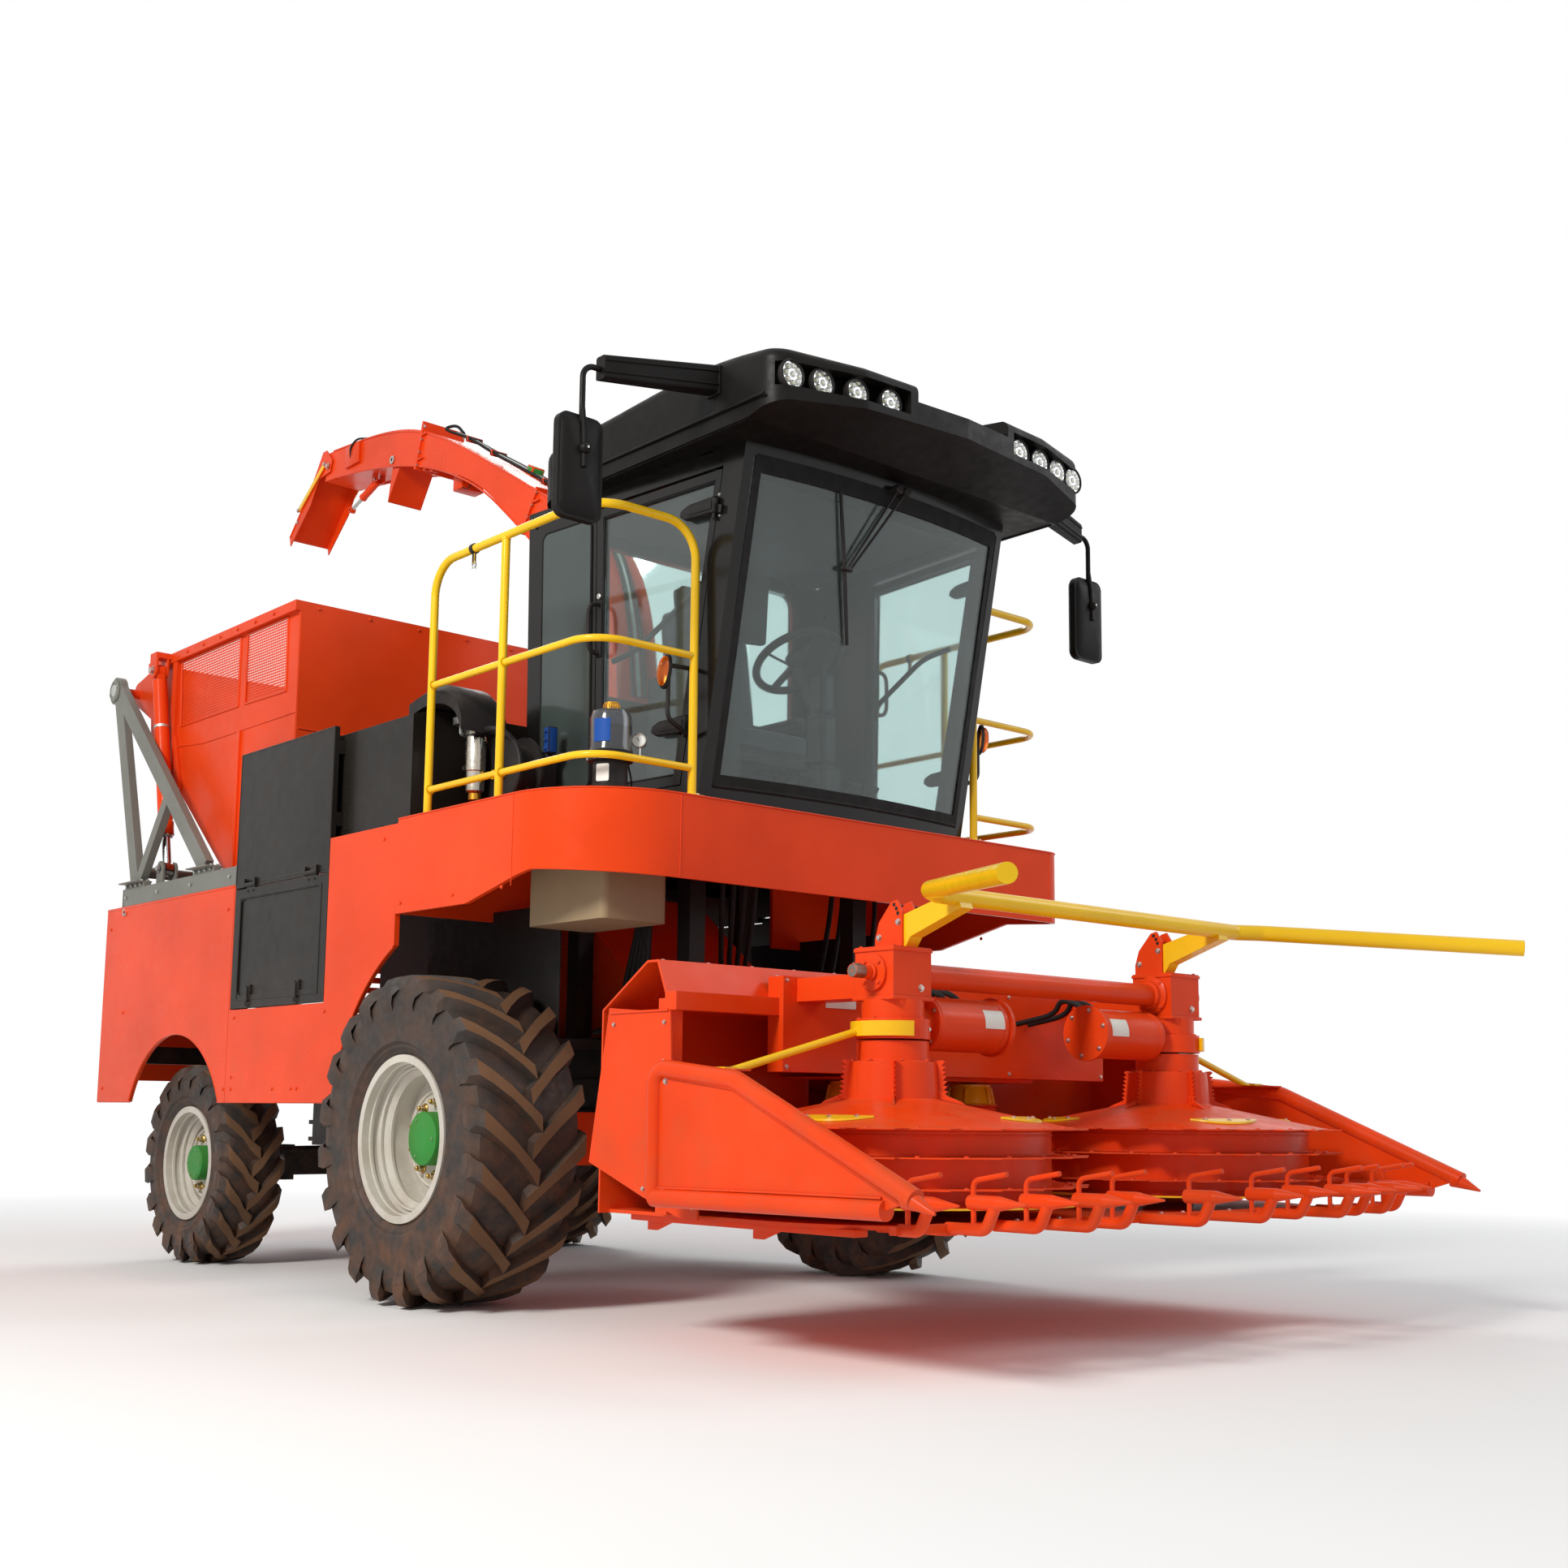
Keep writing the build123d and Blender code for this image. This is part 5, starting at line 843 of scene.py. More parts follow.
    @staticmethod
    def wrapped_label(bm, side):
        """Bare plate bent round the motor."""
        skin(bm, [[bm.verts.new(at(DRUM_X, side * y, MOTOR_Z) + (X * cos(a) + Z * sin(a)) * radius)
                   for y, radius in ((290, 0.0925), (400, 0.0925), (400, 0.0937), (290, 0.0937))]
                  for a in spread(-0.12, 0.60, 8)])


class HARVESTER_OT_rotors(bpy.types.Operator):
    """Adds saw ribs round each hub, yellow knife guards on the cone, bolt rings and seams."""

    bl_idname = "harvester.rotors"
    bl_label = "Rotor ribs and guards"

    def execute(self, context):
        for side, word in SIDES:
            bm = bmesh.new()
            centre = at(DRUM_X, side * DRUM_Y, 0)
            for n in range(5):
                a = tau * n / 5 + (0.5 if side < 0 else 0.9)
                where = frame_at(centre, Z.cross(polar(1, a)))
                edge = [(-0.150, 0.940), (-0.170, 0.942)]
                for k in range(8):
                    z, low = 0.936 - k * 0.016, 0.166 + 0.0016 * k
                    edge += [(-low - 0.013, z), (-low, z - 0.013)]
                edge += [(-0.198, 0.8065), (-0.150, 0.815)]
                prism(bm, edge, where, -0.0035, 0.0035, 0, 0)
                # fillet plate where the rib meets the cone
                prism(bm, [(-0.150, 0.815), (-0.250, 0.795), (-0.235, 0.806), (-0.190, 0.824),
                           (-0.150, 0.850)], where, -0.010, -0.0035, 0, 0)
            for n in range(4):
                self.guard(bm, centre, tau * n / 4 + (0.35 if side < 0 else 1.1))
            for n in range(8):
                a = tau * n / 8 + 0.2
                bolt(bm, frame_at(centre + polar(0.135, a, 0.9375), Z), 0.008, 0)
            # rolled seams of the drum and the welded edge of the cone
            for z in (0.700, 0.640, 0.500):
                lathe(bm, [(DRUM_R - 0.001, z - 0.004), (DRUM_R + 0.003, z - 0.002),
                           (DRUM_R + 0.003, z + 0.002), (DRUM_R - 0.001, z + 0.004)],
                      Matrix.Translation(centre), 96, 0)
            lathe(bm, [(0.158, 0.816), (0.168, 0.811), (0.176, 0.8075), (0.168, 0.809)],
                  Matrix.Translation(centre), 64, 0)
            for n in range(24):
                a = side * tau * (n + 0.55) / 24
                for z in (0.542, 0.636, 0.723):
                    lathe(bm, [(0.009, 0), (0.008, 0.003), (0.004, 0.0045), (0, 0.005)],
                          frame_at(centre + polar(0.585, a, z), Z), 10, 0)
            made = piece(f"rotor_ribs_{word}", bm, ["orange", "yellow", "zinc"], f"rotor_{word}")
        return {"FINISHED"}

    @staticmethod
    def guard(bm, centre, middle):
        """Lens-shaped plate lying on the cone."""
        def place(a, radius, lift):
            slope = 0.722 + (0.600 - radius) * 0.2045
            return centre + polar(radius, a, slope + lift)
        chord, reach = 0.452, 0.30
        rings = []
        for t in spread(-1, 1, 14):
            bow = max(0.06, 1 - t * t)
            inner, outer = chord - 0.006 * bow, chord + 0.062 * bow
            section = ((inner, 0.0005), (outer, 0.0005), (outer - 0.002, 0.0075), (inner + 0.002, 0.0075))
            rings.append([bm.verts.new(place(middle + reach * t, radius, lift)) for radius, lift in section])
        skin(bm, rings, 1)
        for t in (-0.62, 0, 0.62):
            spot = place(middle + reach * t, chord + 0.024 * (1 - t * t), 0.0072)
            bolt(bm, frame_at(spot, polar(0.2, middle, 1)), 0.0075, 2)


class HARVESTER_OT_header(bpy.types.Operator):
    """Adds bolts, seams and gussets to the header's covers, and flared feet under the feed rollers."""

    bl_idname = "harvester.header"
    bl_label = "Header covers"

    def execute(self, context):
        bm = bmesh.new()
        for y in range(-1300, 1301, 200):
            bolts(bm, [(1530, y, 1272)], Z, 0.007, 1)
        for y in (-868, -300, 300, 868):
            bolts(bm, [(1680, y, 924), (1680, y, 1222)], X, 0.007, 1)
            bolts(bm, [(1630, y, 1238)], Z, 0.007, 1)
        for side in (-1, 1):
            out = Y * side
            # folded lips of the side wall and its bolts
            slab(bm, (1300, side * 1343, 1096), (1620, side * 1349, 1104), 0.002)
            bolts(bm, [(x, side * 1344, z) for x, z in ((1320, 1060), (1600, 1060), (1600, 930), (1760, 870),
                                                       (1760, 460), (1500, 510))], out, 0.007, 1)
            # gussets under the floor and the wear strips that the header slides on
            for x, y in ((1350, 1200), (1350, 640), (1900, 1200), (1900, 640)):
                prism(bm, [(-side * u, v) for u, v in
                           ((0, 0.004), (0.16, 0.004), (0.16, -0.012), (0.05, -0.052), (0, -0.052))],
                      facing(x, side * y, 416, out), -0.004, 0.004, 0.001)
            for near in (1180, 600):
                slab(bm, (1300, side * near, 396), (2400, side * (near + 60), 420), 0.004)
            # weld beads of the divider and the bolt at its heel
            y = side * 1496
            bolts(bm, [(1800, y - side * 5, z) for z in (520, 860)], out, 0.009, 1)
            pipe(bm, [at(1772, y, 878), at(2128, y, 836), at(2500, y, 672), at(2840, y, 524)], 0.004, 8, 0)
            pipe(bm, [at(1772, y, 526), at(2300, y, 532), at(2770, y, 534)], 0.004, 8, 0)
            # lip of the shelf and the finger bar's bolts
            bolts(bm, [(2651, side * across, 446) for across in (1290, 1190, 990, 790, 590, 330, 60)],
                  Z, 0.007, 1)
        made = piece("header_bolts", bm, ["orange", "zinc"], "header")
        for side, word in SIDES:
            bm = bmesh.new()
            where = standing(1450, side * 330)
            lathe(bm, [(0.101, 0.800), (0.104, 0.800), (0.104, 0.806), (0.094, 0.812), (0.079, 0.872),
                       (0.082, 0.876), (0.082, 0.884), (0.026, 0.884)], where, 40, 0)
            for n in range(6):
                prism(bm, [(-0.080, 0.872), (-0.094, 0.812), (-0.103, 0.808), (-0.090, 0.872)],
                      frame_at(where.translation, Z.cross(polar(1, tau * n / 6))), -0.004, 0.004, 0.001, 0)
            for z in range(480, 800, 26):
                lathe(bm, [(0.0995, z / 1000), (0.108, z / 1000 + 0.006), (0.108, z / 1000 + 0.010),
                           (0.0995, z / 1000 + 0.016)], where, 40, 1)
            made = piece(f"feed_roller_ribs_{word}", bm, ["yellow", "orange"], f"feed_roller_{word}")
        return {"FINISHED"}


# shape of the cab: the screen leans forward with height and bows ahead of its pillars, above a flat deck
LEAN = 0.18909
SCREEN_R = 3999.6
DECK_TOP = 1955


def screen(y, z, proud=0.0):
    """Point on the outside of the windscreen."""
    x = 1090 + LEAN * (z - DECK_TOP) - (SCREEN_R - sqrt(SCREEN_R ** 2 - y * y))
    return at(x + proud, y, z)


def wall_y(x, z):
    """Distance off the middle of the cab's side wall."""
    return 835 - 0.085714 * (x + 30 - LEAN * (z - DECK_TOP))


def wall(side, x, z, proud=0.0):
    """Point on the outside of a side wall."""
    return at(x, side * (wall_y(x, z) + proud), z)


def strip(bm, left, right, thick, out, index=0):
    """Flat strip between two rows of points, with a thickness to the back."""
    back = -Vector(out).normalized() * thick
    rows = [[bm.verts.new(p) for p in line] for line in (left, right, [p + back for p in right],
                                                          [p + back for p in left])]
    for a, b in zip(rows, rows[1:] + rows[:1]):
        for n in range(len(left) - 1):
            bm.faces.new((a[n], a[n + 1], b[n + 1], b[n])).material_index = index
    for end in (0, -1):
        bm.faces.new([row[end] for row in rows]).material_index = index


class HARVESTER_OT_cab(bpy.types.Operator):
    """Fits the screen border, wipers, door seals, hinge covers, door pulls and turn lamps."""

    bl_idname = "harvester.cab"
    bl_label = "Cab outside"

    def execute(self, context):
        bm = bmesh.new()
        steps = 24
        for low, high in ((2008, 2062), (3222, 3290)):
            ys = spread(-690, 690, steps)
            strip(bm, [screen(y, low, 1) for y in ys], [screen(y, high, 1) for y in ys], 0.004, X, 0)
        for side in (-1, 1):
            zs = spread(2010, 3285, steps)
            strip(bm, [screen(side * 694, z, 1) for z in zs], [screen(side * 664, z, 1) for z in zs],
                  0.004, X, 0)
        # rubber lip round the screen
        pipe(bm, [screen(y, 2018, -1) for y in spread(-686, 686, steps)], 0.007, 10, 0)
        self.wiper(bm, (-8, 3290), (-215, 2931), (-289, 3225), (-150, 2640))
        made = piece("screen_border_and_wipers", bm, ["seal", "black plastic", "zinc"], "chassis")
        for side, word in SIDES:
            bm = bmesh.new()
            out = Y * side
            # turn lamp on the front pillar: foot, rim and long lens
            where = facing(1000, side * 893, 2440, Vector((0.30, side, 0)), X * LEAN + Z)
            lathe_squashed(bm, [(1.0, 0), (1.0, 0.014), (0.9, 0.018), (0.84, 0.018)], where, 0.024, 0.068, 1)
            lathe_squashed(bm, [(0.86, 0.016), (0.84, 0.030), (0.66, 0.042), (0.35, 0.048), (0, 0.050)],
                           where, 0.024, 0.068, 2)
            pipe(bm, eased([wall(side, 1012, 2470), at(1000, side * 885, 2470), at(1000, side * 885, 2260),
                            wall(side, 990, 2200)], 0.03), 0.009, 10, 1)
            for x, z in ((20, 2010), (20, 3260), (395, 2010), (395, 3260)):
                bolt(bm, frame_at(wall(side, x, z, 1), out), 0.006, 3)
            # pane with rounded corners and rubber lip, glued on the rear panel: an opaque plate whose
            # grey-green colour is a painted reflection of glass
            pane = [(225 + x, 2648 + z) for x, z in rounded_outline(120, 532, 38, 6)]
            front, back = [[bm.verts.new(wall(side, x, z, proud)) for x, z in pane] for proud in (4, -1)]
            bm.faces.new(front).material_index = 4
            skin(bm, (front, back), 5, False)
            pipe(bm, [wall(side, x, z, 2) for x, z in pane], 0.0055, 8, 5, closed=True)
            made = piece(f"turn_lamp_{word}", bm, ["charcoal", "black plastic", "amber", "black steel",
                                                   "pane with painted reflection", "seal"], "chassis")
            bm = bmesh.new()
            self.door_trim(bm, side)
            made = piece(f"door_trim_{word}", bm, ["seal", "black plastic", "zinc", "charcoal"],
                         f"door_{word}")
        return {"FINISHED"}

    @staticmethod
    def wiper(bm, pivot, hold, top, low):
        """Twin arms from the header rail down to the middle of a blade, all places given as y and z."""
        for shift in (0, 46):
            line = [screen(pivot[0] + shift + (hold[0] - pivot[0] - shift * 0.6) * t,
                           pivot[1] + (hold[1] - pivot[1]) * t, 34 - 10 * t) for t in (0, 0.3, 0.6, 1.0)]
            pipe(bm, line, 0.0055, 8, 1)
            lathe(bm, [(0.020, -0.03), (0.020, 0.012), (0.015, 0.018), (0, 0.020)],
                  frame_at(screen(pivot[0] + shift, pivot[1], 30), X), 20, 1)
        blade = [screen(top[0] + (low[0] - top[0]) * t, top[1] + (low[1] - top[1]) * t, 12)
                 for t in spread(0, 1, 12)]
        pipe(bm, blade, lambda t: 0.0045 + 0.004 * sin(pi * t), 8, 1)
        pipe(bm, [p - X * 0.009 for p in blade], 0.003, 6, 0)
        rounded_box(bm, (0.024, 0.05, 0.02), Matrix.Translation(screen(hold[0], hold[1], 20)), 0.004, 1)
        bolt(bm, frame_at(screen(hold[0], hold[1], 28), X), 0.005, 2)

    @staticmethod
    def door_trim(bm, side):
        """Seal round the pane, hinge covers, pull handle outside and grab bar inside."""
        out = Vector((0.086, side, 0)).normalized()

        def front(z):
            """Place of the pane's front edge at a height."""
            return 872 + LEAN * (z - DECK_TOP)

        corners = [(452, 2072), (front(2072), 2072), (front(3208), 3208), (452, 3208), (452, 2072)]
        for (x0, z0), (x1, z1) in zip(corners, corners[1:]):
            line = zip(spread(x0, x1, 8), spread(z0, z1, 8))
            pipe(bm, [wall(side, x, z, -8) for x, z in line], 0.0065, 8, 0)
        # tapering covers over the hinges, with a raised middle and two screws
        for z in (3105, 2262):
            x = front(z) + 24
            outline = [(-side * a, b) for a, b in ((0.022, -0.034), (0.022, 0.034), (-0.130, 0.028),
                                                   (-0.172, 0.012), (-0.178, -0.012), (-0.150, -0.030))]
            spot = frame_at(wall(side, x, z), out)
            prism(bm, outline, spot, -0.004, 0.026, 0.007, 1)
            prism(bm, [(a * 0.72 + side * 0.012, b * 0.55) for a, b in outline], spot, 0.024, 0.029, 0.002, 1)
            for shift in (-42, 42):
                bolt(bm, frame_at(wall(side, x + 22, z + shift), out), 0.006, 2)
        # handle at the rear edge: backplate and D-shaped grip
        plate = frame_at(wall(side, 436, 2735), out)
        rounded_box(bm, (0.034, 0.235, 0.010), plate, 0.004, 1)
        grip = [plate @ Vector((0, z, h)) for z, h in ((-0.105, 0.004), (-0.100, 0.045), (-0.070, 0.062),
                                                       (0.070, 0.062), (0.100, 0.045), (0.105, 0.004))]
        pipe(bm, eased(grip, 0.03, 5), 0.0095, 10, 1)
        lathe(bm, [(0.012, 0), (0.012, 0.008), (0.009, 0.010), (0, 0.010)],
              plate @ Matrix.Translation((0, 0.140, 0.002)), 16, 2)
        # bar inside the door
        bar = [wall(side, 470, 2600, -40), wall(side, 540, 2640, -95), wall(side, 860, 2800, -95),
               wall(side, 985, 2830, -45)]
        pipe(bm, eased(bar, 0.06, 6), 0.012, 10, 1)


# work lamps in the roof's front, and how far their bezels stand ahead
LAMPS = ((1567, 812, 3470), (1590, 680, 3468), (1622, 530, 3463), (1645, 375, 3459))
BEZEL_AHEAD, LAMP_SCALE = 44, 1.32
FALL = 0.048 * 32 / 67


class HARVESTER_OT_roof(bpy.types.Operator):
    """Fills the roof lamps with reflectors, and fits their bezels, brackets and the roof's moulded lines."""

    bl_idname = "harvester.roof"
    bl_label = "Roof and lamps"

    def execute(self, context):
        bm = bmesh.new()
        for side in (-1, 1):
            for x, y, z in LAMPS:
                where = facing(x + BEZEL_AHEAD, side * y, z, X) @ Matrix.Scale(LAMP_SCALE, 4)
                lathe(bm, [(0.030, -0.026), (0.0415, -0.012), (0.0445, 0.000), (0.0445, 0.006),
                           (0.0405, 0.009), (0.0375, 0.006), (0.0375, 0.0015)], where, 40, 0)
                lathe(bm, [(0.0375, 0.0014), (0, 0.0014)], where, 40, 1)
                # nine bulbs, each in its own bowl
                for a, b in [(0.0, 0.0)] + [polar(0.0255, tau * n / 8).xy for n in range(8)]:
                    spot = where @ Matrix.Translation((a, b, 0.0012))
                    lathe(bm, [(0.0098, 0.0002), (0.0100, 0.0034), (0.0092, 0.0036), (0.0050, 0.0008),
                               (0.0026, 0.0006)], spot, 16, 1)
                    lathe(bm, [(0.0028, 0.0006), (0.0022, 0.0026), (0, 0.0034)], spot, 10, 2)
                lathe(bm, [(0.0376, 0.0052), (0.030, 0.0062), (0.015, 0.0068), (0, 0.0070)], where, 32, 3)
                # bracket and its plated bolts below the lamp
                slab(bm, (x + 8, side * y - 7, z - 66), (x + 26, side * y + 7, z - 42), 0.002, 4)
                for shift in (-16, 16):
                    bolt(bm, facing(x + 18, side * y + shift, z - 47, X), 0.0055, 5)
                pipe(bm, [at(x + 22, side * y - 18, z - 50), at(x + 24, side * y, z - 62),
                          at(x + 22, side * y + 18, z - 50)], 0.0025, 6, 5)
        made = piece("roof_lamps", bm, ["black plastic", "reflector", "lamp bead", "lamp glass",
                                        "black steel", "brass"], "chassis")
        bm = bmesh.new()
        for side in (-1, 1):
            # moulded line along the eaves, and the drip edge over the door
            pipe(bm, [at(x, side * 901, 3392) for x in range(200, 1561, 80)], 0.006, 8, 0)
            pipe(bm, [at(x, side * 876, 3334) for x in range(240, 1441, 80)], 0.009, 8, 0)
            # foot of the mirror arm and its bolts
            slab(bm, (1222, side * 884, 3466), (1302, side * 902, 3582), 0.006, 0)
            for z in (3484, 3564):
                bolts(bm, [(1238, side * 902, z), (1286, side * 902, z)], Y * side, 0.007, 1)
        # creases along the roof's top, falling with it towards the front
        for y in (-262, 262):
            pipe(bm, [at(x, y, 3511 - FALL * (x - 1180)) for x in range(1200, 1721, 40)], 0.004, 6, 0)
        made = piece("roof_trim", bm, ["roof", "zinc"], "chassis")
        for side, word in SIDES:
            bm = bmesh.new()
            y = side * 1452
            # glass on the back of the housing, frame lip round it
            where = facing(1150, y, 3065, -X)
            prism(bm, rounded_outline(0.052, 0.149, 0.030, 7), where, -0.001, 0.0025, 0, 1)
            pipe(bm, [where @ Vector((a, b, 0.001)) for a, b in rounded_outline(0.054, 0.151, 0.034, 7)],
                 0.005, 8, 0, closed=True)
            # crowned back of the housing
            outline = rounded_outline(0.056, 0.153, 0.034, 6)
            back = at(1187, y, 3065)
            rings = [[bm.verts.new(back + Vector((proud, a * part, b * part))) for a, b in outline]
                     for part, proud in ((1.0, 0.0), (0.93, 0.008), (0.80, 0.014), (0.5, 0.019),
                                         (0.2, 0.021))]
            skin(bm, rings, 0, False)
            bm.faces.new(rings[-1]).material_index = 0
            # ball clamp on the rod
            ball = facing(1212, y, 3128, X)
            lathe(bm, [(0.004, -0.026), (0.016, -0.018), (0.0215, -0.006), (0.0215, 0.006), (0.016, 0.017),
                       (0.006, 0.023), (0, 0.023)], ball, 24, 0)
            pipe(bm, [at(1190, y, 3300), at(1206, y, 3200), at(1210, y, 3060)], 0.0105, 10, 0)
            bolts(bm, [(1232, y, 3128)], X, 0.006, 2)
            # grooves along the box arm
            for part in (0.25, 0.78):
                pipe(bm, [at(1298, side * 893, 3480 + 100 * part), at(1218, side * 1375, 3420 + 84 * part)],
                     0.004, 6, 0)
            made = piece(f"mirror_glass_{word}", bm, ["roof", "mirror", "zinc"], "chassis")
        return {"FINISHED"}


class HARVESTER_OT_cabin(bpy.types.Operator):
    """Upholsters the seat and fits wheel grip, console, levers, monitor, pedals and headlining."""

    bl_idname = "harvester.cabin"
    bl_label = "Cab inside"

    def execute(self, context):
        cushion = self.pad("seat_cushion", (0.500, 0.500, 0.125), at(410, 0, 2348), 0.0)
        back = self.pad("seat_back", (0.115, 0.460, 0.620), at(160, 0, 2722), -0.15)
        head = self.pad("head_rest", (0.085, 0.270, 0.160), at(96, 0, 3062), -0.15)
        bm = bmesh.new()
        slab(bm, (270, -170, 1988), (570, 170, 2040), 0.006, 0)
        # folds of the bellows under the cushion
        for n in range(7):
            z = 2.045 + 0.028 * n
            lathe(bm, [(0.150 - 0.006 * (n % 2), z), (0.138, z + 0.014), (0.150, z + 0.028)],
                  standing(420, 0), 36, 1)
        slab(bm, (180, -235, 2245), (640, 235, 2284), 0.010, 0)
        for side in (-1, 1):
            rounded_box(bm, (0.30, 0.055, 0.05), standing(330, side * 285, 2505), 0.018, 1)
            pipe(bm, eased([at(200, side * 250, 2300), at(200, side * 285, 2420), at(330, side * 285, 2480)],
                           0.05), 0.012, 10, 0)
        base = piece("seat_base", bm, ["interior", "black plastic"], "chassis")
        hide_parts("driver_seat")
        bm = bmesh.new()
        # grip ring and spokes of the wheel, indicator stalks, gauge pod
        wheel = facing(765, 0, 2685, Vector((-0.5, 0, 0.86)), Y)
        pipe(bm, [wheel @ polar(0.190, tau * n / 48) for n in range(48)], 0.0175, 10, 0, closed=True)
        lathe(bm, [(0.052, 0.012), (0.050, 0.026), (0.036, 0.032), (0, 0.034)], wheel, 32, 0)
        for side in (-1, 1):
            pipe(bm, [at(782, side * 40, 2650), at(770, side * 120, 2672), at(768, side * 190, 2690)],
                 0.006, 8, 0)
        # column cowl widening to the floor
        for low, high, wide, deep in ((1990, 2200, 0.11, 0.15), (2200, 2420, 0.085, 0.115),
                                      (2420, 2600, 0.075, 0.10)):
            rounded_box(bm, (deep, wide, (high - low) / 1000), standing(912, 0, (low + high) / 2), 0.02, 1)
        rounded_box(bm, (0.05, 0.24, 0.13), facing(880, 0, 2655, Vector((-0.75, 0, 0.5)), Z), 0.012, 0)
        # side console: levers, keys and the display on its arm
        for x, lean in ((560, 10), (640, 20)):
            top = at(x + lean, -405, 2790)
            pipe(bm, [at(x, -405, 2595), at(x + 6, -405, 2680), top], 0.009, 10, 0)
            lathe(bm, [(0.012, -0.045), (0.022, -0.03), (0.026, 0.0), (0.020, 0.025), (0, 0.032)],
                  Matrix.Translation(top), 20, 0)
        for n in range(8):
            x, y = 380 + 38 * (n % 4), -460 + 60 * (n // 4)
            slab(bm, (x, y, 2594), (x + 28, y + 35, 2602), 0.002, 2)
        pipe(bm, eased([at(760, -420, 2560), at(900, -470, 2650), at(960, -470, 2700)], 0.05), 0.012, 10, 0)
        where = facing(950, -470, 2790, Vector((-0.94, 0.30, 0.1)), Z)
        rounded_box(bm, (0.20, 0.29, 0.05), where, 0.012, 0)
        rounded_box(bm, (0.17, 0.22, 0.004), where @ Matrix.Translation((0, 0.01, 0.026)), 0.001, 3)
        # pedals
        for y in (-180, 90, 190):
            rounded_box(bm, (0.07, 0.11, 0.012), facing(1000, y, 2085, Vector((-0.8, 0, 0.6)), Z), 0.004, 2)
            pipe(bm, [at(1004, y, 2080), at(1030, y, 2030), at(1030, y, 1992)], 0.008, 8, 2)
        # headlining and the blind rolled over the screen
        slab(bm, (60, -700, 3300), (1150, 700, 3326), 0.008, 1)
        pipe(bm, [at(1170, -600, 3270), at(1170, 600, 3270)], 0.026, 14, 0)
        # heater ducts on the rear posts
        for side in (-1, 1):
            slab(bm, (40, side * 640 - 70, 1990), (170, side * 640 + 70, 2380), 0.02, 1)
        made = piece("cabin_fittings", bm, ["black plastic", "interior", "seal", "screen"], "chassis")
        return {"FINISHED"}

    @staticmethod
    def pad(name, size, centre, lean):
        """Cushion with a crowned face, three sewn channels and pulled-in sides."""
        bm = bmesh.new()
        bmesh.ops.create_cube(bm, size=2)
        bmesh.ops.subdivide_edges(bm, edges=bm.edges[:], cuts=13, use_grid_fill=True)
        thin = min(range(3), key=lambda k: size[k])
        for vert in bm.verts:
            flat = [k for k in range(3) if k != thin]
            a, b = vert.co[flat[0]], vert.co[flat[1]]
            crown = (1 - a ** 4) * (1 - b ** 4)
            channel = 0.05 * sum(max(0, 1 - abs(b - c) / 0.05) for c in (-0.45, 0.0, 0.45)) * crown
            vert.co[thin] *= 0.62 + 0.38 * crown - channel
            corner = 1 - 0.10 * (a * b) ** 4
            pull = 1 - 0.03 * (1 - abs(vert.co[thin]))
            vert.co[flat[0]] *= corner * pull * (1 - 0.025 * (1 - b * b))
            vert.co[flat[1]] *= corner * pull * (1 - 0.025 * (1 - a * a))
            vert.co = Vector([c * s / 2 for c, s in zip(vert.co, size)])
        turned = Matrix.Translation(centre) @ Matrix.Rotation(lean, 4, "Y")
        bmesh.ops.transform(bm, matrix=turned, verts=bm.verts)
        made = piece(name, bm, "cloth", "chassis", 60)
        smooth = made.modifiers.new("smooth", "SUBSURF")
        smooth.levels = smooth.render_levels = 1
        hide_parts("driver_seat")
        return made


# distance off the middle of the side panels and of the deck's railings, and the place of the grease jar
BODY_Y, RAIL_Y = 1350, 1275
JAR = (945, -1110)


